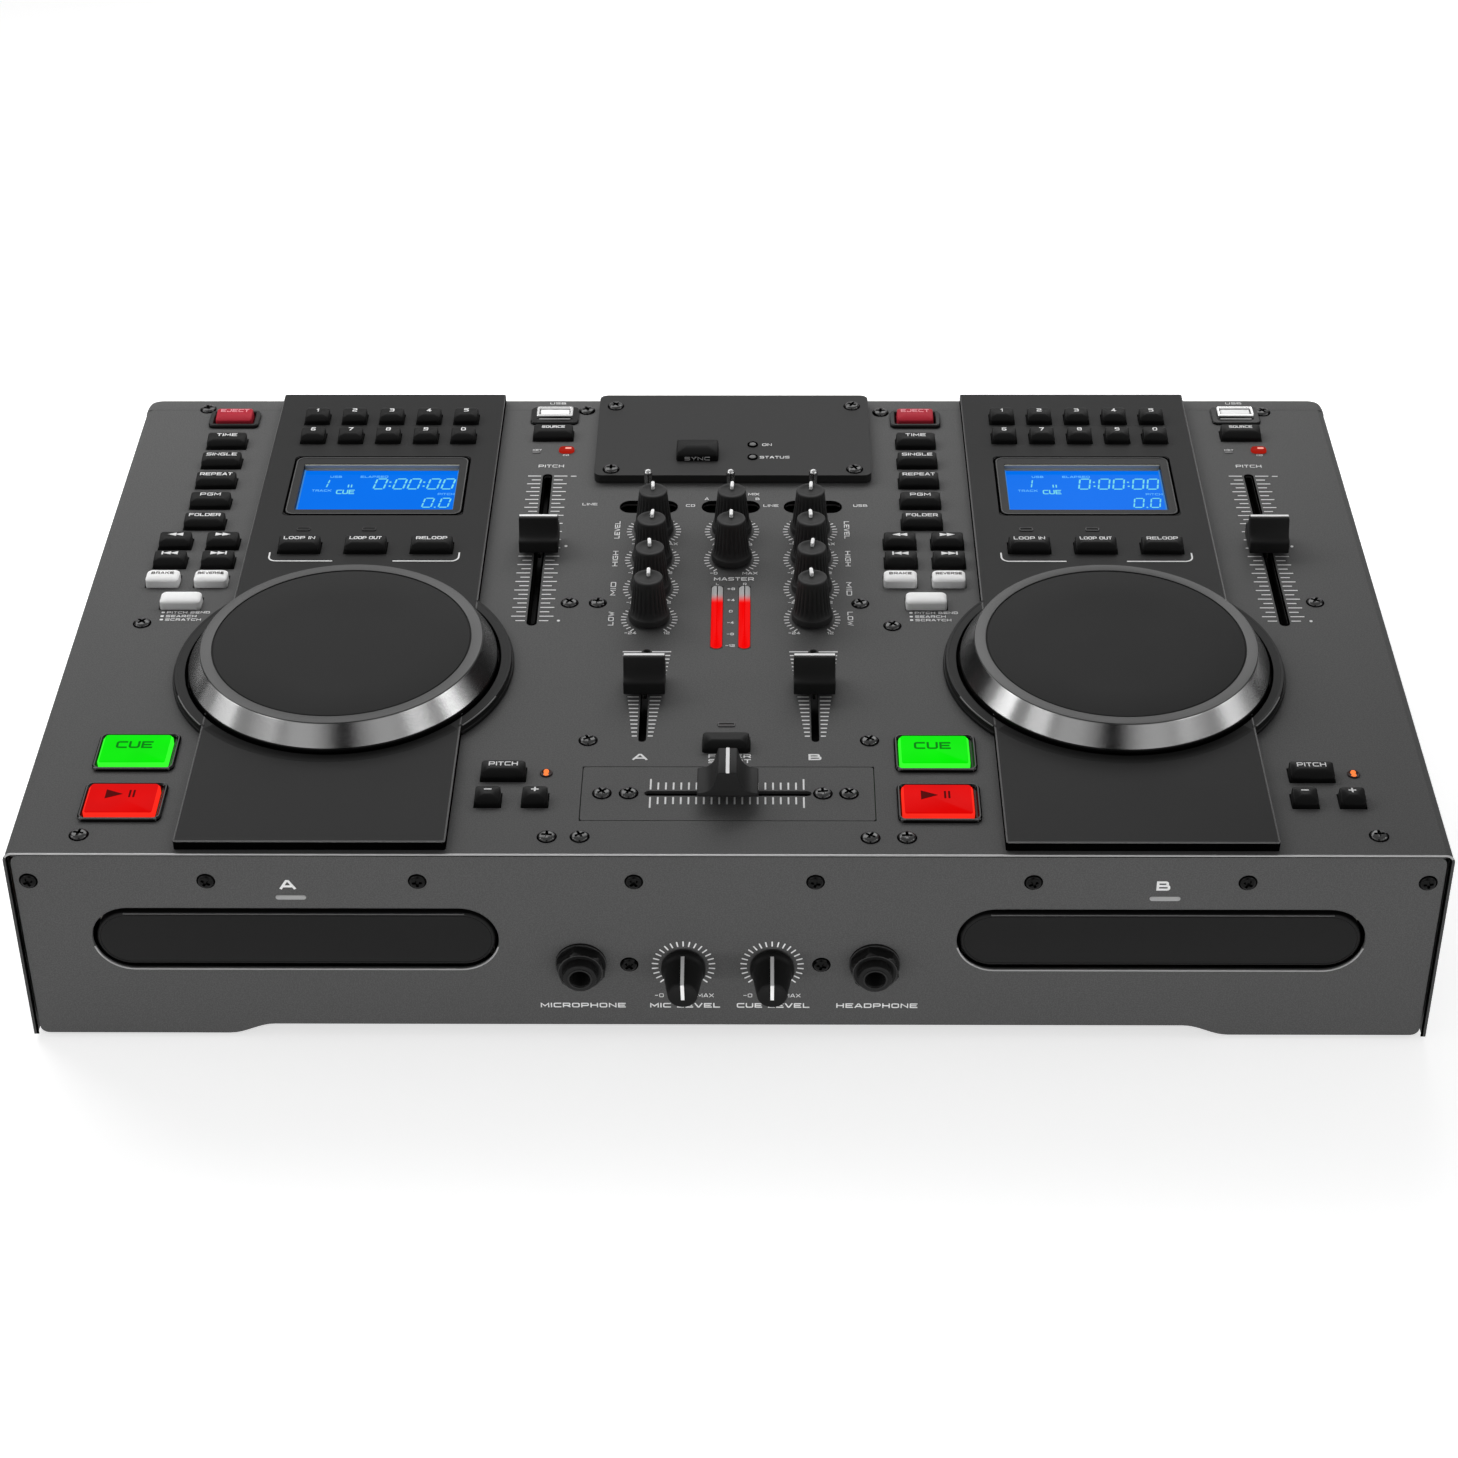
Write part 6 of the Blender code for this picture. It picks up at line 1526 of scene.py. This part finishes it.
SUNK = 0.0002
USB_Y = 0.2875
PLUG_FLOOR = 0.0715
CHANNEL_X = 0.0302
CHANNEL_Y = 0.0917
PITCH_SLOT_X = 0.0656
PITCH_SLOT_Y = 0.1890
CROSS_Y = 0.0335


def raised_frame(shape, material, x, y, outer, inner, rise, corner, soft, steps=5, face=DECK):
    """A frame that stands on a face, by default the deck."""
    shape.add(hoop((x, at(y)), outer, inner, face - SUNK, face + rise, corner, soft, steps), material)


trim = Shape("deck_trim", CASING, "black_plastic")
for side, deck_x in DECKS:
    size = (0.0204, 0.0122), (0.0162, 0.0089)
    raised_frame(trim, bezel_grey, deck_x + EJECT_X, 0.28425, *size, 0.0015, 0.0022, 0.0004)
    for _, y, *_ in LIT_KEYS:
        size = (0.0284, 0.0211), (0.0256, 0.0183)
        raised_frame(trim, gloss_black, deck_x - 0.0663, y, *size, 0.0013, 0.0028, 0.0005)
        # A pale strip along the frame's front: a painted highlight
        front_glint_place = (deck_x - 0.0665, at(y) - 0.0100)
        trim.add(tile(front_glint_place, (0.0262, 0.0006), DECK + 0.0004, DECK + 0.0013, 0.0002, 0.0002), glint_and_lamp_grey)
    size = (0.0195, 0.0130), (0.0136, 0.0062)
    raised_frame(trim, gloss_black, deck_x + 0.0660, USB_Y, *size, 0.0010, 0.0020, 0.0004, 4)
trim.done()

sockets = Shape("stick_sockets", CASING, "lever_chrome")
for side, deck_x in DECKS:
    x, y = deck_x + 0.0660, at(USB_Y)
    shell = hoop((x, y), (0.0136, 0.0062), (0.0122, 0.0048), PLUG_FLOOR, DECK + 0.0009, 0.0006, 0.0002, 3)
    sockets.add(shell, shell_steel)
    size = (0.0146, 0.0074), (0.0124, 0.0050)
    sockets.add(hoop((x, y + 0.0008), *size, DECK + 0.0004, DECK + 0.0024, 0.0008, 0.0003, 3), shell_steel)
    tongue = tile((x, y + 0.0012), (0.0116, 0.0036), PLUG_FLOOR, DECK + 0.0017, 0.0002, 0.0002)
    sockets.add(tongue, white_key)
    for step in (-1.5, -0.5, 0.5, 1.5):
        middle = (x + step * 0.0025, y - 0.0006)
        sockets.add(tile(middle, (0.0010, 0.0002), PLUG_FLOOR, DECK + 0.0002, 0.00008), gold)
    sockets.add(tile((x, y), (0.0132, 0.0058), 0.0700, PLUG_FLOOR, 0.0004), hollow)
sockets.done()

DOME = ((0, -0.0004), (0.0015, -0.0004), (0.0015, 0.0003), (0.0013, 0.0008), (0.0008, 0.0011), (0, 0.0012))
LAMP_COLLAR = ((0.0021, -0.0002), (0.0021, 0.0003), (0.0019, 0.0005), (0.0015, 0.0004), (0.0015, -0.0002))
# Tiles as X from the deck's middle, Y, size, bottom, top, corner, edge and finish
LAMP_TILES = (
    (0.0721, 0.2606, (0.0062, 0.0044), -SUNK, 0.0011, 0.0018, 0.0006, led_red),
    (0.0728, 0.2609, (0.0026, 0.0012), 0.0008, 0.00125, 0.0005, 0.0002, led_core),
    (0.0600, 0.2592, (0.0034, 0.0017), -SUNK, 0.0003, 0.0008, 0.0002, led_off),
)
ORANGE_X = 0.0763


def dome(radius_share, rise_share, segments):
    return lathe([(r * radius_share, z * rise_share) for r, z in DOME], segments)


def slim_lamp(x, y, outer, inner, window, face, finish):
    """A flat lamp in a thin frame."""
    raised_frame(lamps, edge_black, x, y, outer, inner, 0.0003, 0.0008, 0.0001, face=face)
    lamps.add(tile((x, at(y)), window, face - 0.0003, face + 0.0001, 0.0005), finish)


lamps = Shape("deck_lamps", CASING, "black_plastic")
for side, deck_x in DECKS:
    for x, y, size, low, high, corner, soft, finish in LAMP_TILES:
        lamps.add(tile((deck_x + x, at(y)), size, DECK + low, DECK + high, corner, soft), finish)
    for y in (0.0437, 0.0457):
        lamps.add(dome(0.62, 0.7, 24), led_orange, placed(deck_x + ORANGE_X, at(y), DECK))
    collar_ring = washer([(r * 1.05, z) for r, z in LAMP_COLLAR], 36)
    lamps.add(collar_ring, led_dark, placed(deck_x + ORANGE_X, at(0.0447), DECK))
    for x in (-0.0253, -0.0001):
        size = (0.0054, 0.0024), (0.0044, 0.0015), (0.0045, 0.0016)
        slim_lamp(deck_x + x, 0.1960, *size, PANEL_TOP, film)
for y in (0.2589, 0.2492):
    lamps.add(washer(LAMP_COLLAR, 36), shadow_black_paint, placed(0.0078, at(y), PLATE_TOP))
    lamps.add(dome(0.92, 0.5, 32), glint_and_lamp_grey, placed(0.0078, at(y), PLATE_TOP))
slim_lamp(MIDDLE_X, 0.0732, (0.0062, 0.0024), (0.0052, 0.0014), (0.0053, 0.0015), DECK, led_smoke)
lamps.done()

# Clear bars with round ends, grey at the back and lit red from there to the front
METER_FRONT = 0.1206
METER_BACK = 0.1620
METER_HALF = 0.0021
METER_X = 0.0051
METER_LEVELS = ((0.0, DECK - 0.0006), (0.0, DECK + 0.0001), (0.0004, DECK + 0.0004))

meters = Shape("level_meters", CASING, "display")
for x in (-METER_X, METER_X):
    rim = tile((x, at(0.1360)), (0.0047, 0.0316), DECK - SUNK, DECK + 0.00012, 0.0022, 0.0, 5)
    meters.add(rim, meter_rim)
    outline = rounded((x - METER_HALF, at(METER_FRONT)), (x + METER_HALF, at(METER_BACK)), 0.0019, 5)
    middle = (x, at((METER_FRONT + METER_BACK) / 2))
    meters.add(lofted([drawn_in(outline, middle, inset, z) for inset, z in METER_LEVELS]), meter, None, True)
meters.done()

liners = Shape("slot_liners", CASING, "black_plastic")


def liner(x, y, width, length):
    """A black tube under a slot, so that the slot shows dark: painted shade for the depth under it."""
    end = min(width, length) / 2
    outer, inner = ((width + more, length + more) for more in (0.0010, -0.0001))
    tube = hoop((x, at(y)), outer, inner, DECK - 0.0085, DECK - 0.0012, end + 0.0005, 0.0, 8)
    liners.add(tube, hollow)
    liners.add(tile((x, at(y)), outer, DECK - 0.0090, DECK - 0.0085, end, 0.0, 8), hollow)


for x in (-CHANNEL_X, CHANNEL_X):
    liner(x, CHANNEL_Y, 0.0028, 0.0570)
for side, deck_x in DECKS:
    liner(deck_x + PITCH_SLOT_X, PITCH_SLOT_Y, 0.0028, 0.1060)
liner(0.0, CROSS_Y, 0.0570, 0.0028)
liners.done()

# Flat black frames round the toggle and pitch slots: painted shade that makes the slots look wider
rims = Shape("toggle_slots", CASING, "black_plastic")
for x in (-0.0325, -0.0006, 0.0313):
    raised_frame(rims, shadow_black_paint, x, 0.2180, (0.0226, 0.0086), (0.0214, 0.0052), 0.0003, 0.0043, 0.0001, 9)
for side, deck_x in DECKS:
    size = (0.0038, 0.1070), (0.0024, 0.1056)
    raised_frame(rims, shadow_black_paint, deck_x + PITCH_SLOT_X, PITCH_SLOT_Y, *size, 0.00008, 0.0018, 0.0, 6)
rims.done()


# Legends on the deck

KNOB_X = 0.0300
# Words as text, X from the deck's middle, Y, size and width
SIDE_WORDS = (
    ("USB", 0.0667, 0.2984, 0.0022, 0.0065),
    ("PITCH", 0.0666, 0.2487, 0.0029, 0.0101),
    ("KEY", 0.0603, 0.2612, 0.0016, None),
    ("CD", 0.0720, 0.2572, 0.0016, None),
)
BEND_WORDS = (
    ("PITCH BEND", -0.0619, 0.1440, 0.0159),
    ("SEARCH", -0.0642, 0.1415, 0.0113),
    ("SCRATCH", -0.0632, 0.1392, 0.0132),
)
BRACKET_Y = 0.1737
BRACKET_BEND = 0.0028
BRACKET_HALF = 0.0003
BRACKET_BARS = ((-0.02245, 0.0215), (0.0220, 0.0220))
BRACKET_ENDS = ((-0.0332, -1), (0.0330, 1))
KNOB_ROWS = (
    ("LEVEL", 0.2004, 0.2013, 0.0123, "-∞", "MAX"),
    ("HIGH", 0.1802, 0.1809, 0.0106, "-24", "12"),
    ("MID", 0.1600, 0.1601, 0.0090, "-24", "12"),
    ("LOW", 0.1398, 0.1401, 0.0090, "-24", "12"),
)
MIDDLE_ROWS = ((0.2004, "A", "B"), (0.1802, "-0", "MAX"))
# Words as text, X, Y, size, width and weight
DECK_WORDS = (
    ("MASTER", 0.0010, 0.1668, 0.0031, 0.0150, 0.18),
    ("LINE", -0.0555, 0.2200, 0.0024, None, 0.16),
    ("CD", -0.0163, 0.2190, 0.0024, None, 0.16),
    ("A", -0.0100, 0.2240, 0.0024, None, 0.16),
    ("B", 0.0098, 0.2240, 0.0024, None, 0.16),
    ("LINE", 0.0150, 0.2190, 0.0024, None, 0.16),
    ("USB", 0.0498, 0.2190, 0.0024, None, 0.16),
    ("MIX", 0.0083, 0.2275, 0.0024, None, 0.16),
    ("L", -METER_X, 0.1634, 0.0019, None, 0.16),
    ("R", METER_X, 0.1634, 0.0019, None, 0.16),
    ("A", -0.0306, 0.0543, 0.0050, 0.0052, 0.22),
    ("B", 0.0299, 0.0543, 0.0050, 0.0045, 0.22),
    ("FADER", 0.0004, 0.0549, 0.0031, 0.0147, 0.2),
    ("START", 0.0004, 0.0519, 0.0031, 0.0147, 0.2),
)
PLATE_WORDS = (("ON", 0.0135, 0.2589), ("STATUS", 0.0165, 0.2492))
METER_FIGURES = ("+8", "+4", "0", "-4", "-8", "-12")


def scale_pair(x, y, inner, outer, thick, across=True):
    """Two lines of a fader's scale, one on each side of its slot."""
    for hand in (-1, 1):
        shift = hand * (inner + outer) / 2
        size = (outer - inner, thick) if across else (thick, outer - inner)
        middle = (x + shift, y) if across else (x, y + shift)
        prints.add(bar(*size), ink, printed_at(*middle, DECK))


def bracket_end(deck_x, end_x, sign):
    """The bracket's round corner and the short line up from it."""
    path = []
    for step in range(7):
        angle = step / 6 * QUARTER
        out, up = BRACKET_BEND * math.sin(angle), BRACKET_BEND * (1 - math.cos(angle))
        path.append(Vector((end_x + sign * out, BRACKET_Y + up)))
    path.append(Vector((end_x + sign * BRACKET_BEND, 0.1796)))
    rings = []
    for i, point in enumerate(path):
        along = (path[min(i + 1, len(path) - 1)] - path[max(i - 1, 0)]).normalized()
        across = Vector((-along.y, along.x)) * BRACKET_HALF
        a, b = point + across, point - across
        corners = ((a, PANEL_TOP), (b, PANEL_TOP), (b, PANEL_TOP + FILM), (a, PANEL_TOP + FILM))
        rings.append([(deck_x + corner.x, at(corner.y), z) for corner, z in corners])
    prints.add(lofted(rings), ink)


prints = Shape("deck_print", CASING, "casing")
for side, deck_x in DECKS:
    for text, x, y, size, width in SIDE_WORDS:
        word(prints, text, deck_x + x, y, DECK, size, width=width)
    prints.add(bar(0.0022, 0.0005), ink, printed_at(deck_x + 0.0759, 0.2410, DECK))
    for text, x, y, width in BEND_WORDS:
        word(prints, text, deck_x + x, y, DECK, 0.0020, width=width, weight=0.18)
        prints.add(bar(0.0012, 0.0010), ink, printed_at(deck_x + x - width / 2 - 0.0014, y, DECK))
    for i in range(36):
        y = 0.1387 + i * 0.1024 / 35
        scale_pair(deck_x + PITCH_SLOT_X, y, 0.0026, 0.0078 if i % 2 else 0.0061, 0.0005)
    for x, y in ((0.0755, 0.1897), (0.0754, 0.1387)):
        dot = lathe([(0, 0), (0.0006, 0), (0.0006, FILM), (0, FILM)], 16)
        prints.add(dot, ink, placed(deck_x + x, at(y), DECK))
    for x, width in BRACKET_BARS:
        prints.add(bar(width, 2 * BRACKET_HALF), ink, printed_at(deck_x + x, BRACKET_Y, PANEL_TOP))
    for end_x, sign in BRACKET_ENDS:
        bracket_end(deck_x, end_x, sign)

for sign in (-1, 1):
    for text, y, text_y, width, low_text, high_text in KNOB_ROWS:
        x = sign * KNOB_X
        tick_ring(prints, placed(x, at(y), DECK), 0.0085, 0.0105, 140, 25, 0.00046)
        word(prints, text, sign * 0.0441, text_y, DECK, 0.0029, turn=-sign * 90, width=width, weight=0.17)
        word(prints, low_text, x - 0.0066, y - 0.0091, DECK, 0.0023)
        word(prints, high_text, x + 0.0066, y - 0.0091, DECK, 0.0023)
for y, low_text, high_text in MIDDLE_ROWS:
    tick_ring(prints, placed(0, at(y), DECK), 0.0085, 0.0105, 140, 25, 0.00046)
    word(prints, low_text, -0.0066, y - 0.0094, DECK, 0.0024)
    word(prints, high_text, 0.0070, y - 0.0094, DECK, 0.0024)
for text, x, y, size, width, weight in DECK_WORDS:
    word(prints, text, x, y, DECK, size, width=width, weight=weight)
for i, text in enumerate(METER_FIGURES):
    word(prints, text, 0.0, 0.1600 - i * 0.0075, DECK, 0.0022)
for sign in (-1, 1):
    for i in range(23):
        scale_pair(sign * CHANNEL_X, 0.0666 + i * 0.00236, 0.0019, 0.0037 + 0.0051 * i / 22, 0.0006)
for i in range(21):
    outer = 0.0081 if i in (0, 20) else 0.0061
    scale_pair((i - 10) * 0.00261 - 0.0003, CROSS_Y, 0.0021, outer, 0.0006, False)
for text, x, y in PLATE_WORDS:
    word(prints, text, x, y, PLATE_TOP, 0.0026)
prints.done()


# The back: sockets, mains inlet and rocker

SOCKET_RING = ((0.0050, 0), (0.0050, 0.0016), (0.0047, 0.0019), (0.0043, 0.0019), (0.0043, 0))
SOCKET_SHELL = ((0.00425, 0.0016), (0.00425, 0.0088), (0.0041, 0.0091), (0.0037, 0.0091), (0.0037, 0.0016))
REAR_WORDS = (
    ("MASTER", -0.137, 0.0560, 0.0040),
    ("LINE A", -0.119, 0.0560, 0.0040),
    ("LINE B", -0.101, 0.0560, 0.0040),
    ("REC", -0.083, 0.0560, 0.0040),
    ("L", -0.1485, 0.0478, 0.0036),
    ("R", -0.1485, 0.0322, 0.0036),
    ("OFF  ON", 0.138, 0.0600, 0.0036),
)
ROCKER_Z = 0.040

rear = Shape("rear_trim", CASING, "lever_chrome")
for column in range(4):
    for row, colour in ((-1, white_key), (1, red_ring)):
        place = on_back(-0.110 + (column - 1.5) * 0.018, 0.040 + row * 0.00775)
        rear.add(washer(SOCKET_RING, 40), colour, place)
        rear.add(washer(SOCKET_SHELL, 40), gold, place)
rear.done()

rear_print = Shape("rear_print", CASING, "casing")
for text, x, z, size in REAR_WORDS:
    rear_print.add(letters(text, size), ink, on_back(x, z) @ RAISED, True)
rear_print.done()

# A line and a ring moulded on the rocker's two ends
x, y = middle_of("power_switch")[0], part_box("power_switch")[1].y
marks = Shape("power_switch_marks", "power_switch", "black_plastic", (), (x, y, ROCKER_Z))
face = Matrix.Translation((x, y - 0.0012, ROCKER_Z)) @ turned(6, "X") @ BACK_TURN
marks.add(tile((0, 0.0058), (0.0006, 0.0034), 0.0008, 0.0016, 0.0002), pointer_white, face)
marks.add(flat_ring(0.0013, 0.0018, 0.0008, 0.0016, 28), pointer_white, face @ placed(0, -0.0058))
marks.done()


# Set: a pale floor, soft lamps and the camera

LAMPS = (
    # Name, place, target, size, power, and whether only the matt or only the shiny side of a finish sees it
    ("back_overhead", (-0.16, 0.40, 0.50), (-0.04, 0.05, 0.05), (1.2, 0.3), 4.2, ""),
    ("left", (-1.5, -0.07, 0.44), (0, 0, 0.05), (0.5, 0.36), 1.6, ""),
    ("right", (1.5, -0.07, 0.44), (0, 0, 0.05), (0.5, 0.36), 1.6, ""),
    ("front_left", (-0.80, -1.40, 0.8), (0, 0, 0.05), (0.6, 0.6), 0.8, "shiny"),
    ("front_right", (0.80, -1.40, 0.8), (0, 0, 0.05), (0.6, 0.6), 0.8, "shiny"),
    ("floor_bounce", (0.0, FRONT_Y - 0.36, 0.03), (0, FRONT_Y, 0.025), (1.2, 0.04), 1.5, "matt"),
    ("left_glint", (-1.5, -0.08, 0.80), (0, 0, 0.08), (0.36, 0.24), 2.6, "shiny"),
    ("left_sheen", (-1.25, -0.80, 0.95), (0, 0, 0.08), (0.5, 0.4), 2.2, "shiny"),
    ("right_glint", (1.5, -0.08, 0.80), (0, 0, 0.08), (0.36, 0.24), 2.6, "shiny"),
    ("right_sheen", (1.25, -0.80, 0.95), (0, 0, 0.08), (0.5, 0.4), 2.2, "shiny"),
)
# Black cards that only reflections see, for the unlit parts of the room
DARK_CARDS = (
    ((0.0, -2.0, 1.15), (0, -0.05, 0.10), (0.62, 2.2)),
    ((-1.15, 0.72, 0.30), (0, -0.04, 0.10), (0.75, 0.62)),
    ((1.15, 0.72, 0.30), (0, -0.04, 0.10), (0.75, 0.62)),
)
CAMERA_PLACE = (0.01126, -0.94299, 0.70983)
CAMERA_ANGLES = (35.934, -0.742, -0.373)
CAMERA_LENS = 75.52
FLOOR_LIFT = 0.64
FLOOR_REACH = 6.0
ROOM_LIGHT = 0.26
scene = bpy.context.scene


def seen_by_eye(tree):
    """1 for what the camera sees, also in reflections and through glass, and 0 for light on its way."""
    path = node(tree, "ShaderNodeLightPath").outputs
    seen = maths(tree, "MAXIMUM", path["Is Camera Ray"], path["Is Glossy Ray"])
    return maths(tree, "MAXIMUM", seen, path["Is Transmission Ray"])


def linked(name, data, place=(0, 0, 0), target=None):
    """An object in the scene, turned to face its target."""
    made = bpy.data.objects.new(name, data)
    made.location = place
    if target:
        made.rotation_euler = (Vector(target) - Vector(place)).to_track_quat("-Z", "Y").to_euler()
    scene.collection.objects.link(made)
    return made


def sheet(name, width, depth, material):
    mesh = bpy.data.meshes.new(name)
    u, v = width / 2, depth / 2
    mesh.from_pydata([(-u, -v, 0), (u, -v, 0), (u, v, 0), (-u, v, 0)], [], [(0, 1, 2, 3)])
    mesh.materials.append(material)
    return mesh


floor_material = bpy.data.materials.new("floor")
floor_material.use_nodes = True
tree = floor_material.node_tree
shader = shader_of(tree).inputs
shader["Base Color"].default_value = srgb("f2f2f2")
shader["Roughness"].default_value = 0.9
shader["Specular IOR Level"].default_value = 0.1
shader["Emission Color"].default_value = (1, 1, 1, 1)
tree.links.new(maths(tree, "MULTIPLY", seen_by_eye(tree), FLOOR_LIFT), shader["Emission Strength"])
linked("floor", sheet("floor", 2 * FLOOR_REACH, 2 * FLOOR_REACH, floor_material))

world = bpy.data.worlds.new("studio")
scene.world = world
world.use_nodes = True
background = world.node_tree.nodes["Background"].inputs
background["Color"].default_value = (1, 1, 1, 1)
strength = ranged(world.node_tree, seen_by_eye(world.node_tree), ROOM_LIGHT, 1.0)
world.node_tree.links.new(strength, background["Strength"])

for name, place, target, size, power, only in LAMPS:
    data = bpy.data.lights.new(name, "AREA")
    data.shape = "RECTANGLE"
    data.size, data.size_y = size
    data.energy = power
    lamp = linked(name, data, place, target)
    lamp.visible_diffuse = only != "shiny"
    lamp.visible_glossy = only != "matt"
    lamp.visible_camera = False

for place, target, size in DARK_CARDS:
    card = linked("dark_card", sheet("dark_card", *size, hollow), place, target)
    card.visible_camera = card.visible_diffuse = card.visible_shadow = False

pitch, yaw, roll = (math.radians(angle) for angle in CAMERA_ANGLES)
forward = Vector((math.sin(yaw) * math.cos(pitch), math.cos(yaw) * math.cos(pitch), -math.sin(pitch)))
level_right = Vector((math.cos(yaw), -math.sin(yaw), 0))
level_up = level_right.cross(forward)
right = math.cos(roll) * level_right + math.sin(roll) * level_up
up = -math.sin(roll) * level_right + math.cos(roll) * level_up
camera_data = bpy.data.cameras.new("camera")
camera_data.lens = CAMERA_LENS
camera_data.sensor_width = 36
camera = linked("camera", camera_data)
camera.matrix_world = Matrix.Translation(CAMERA_PLACE) @ Matrix((right, up, -forward)).transposed().to_4x4()
scene.camera = camera
scene.view_settings.view_transform = "Standard"
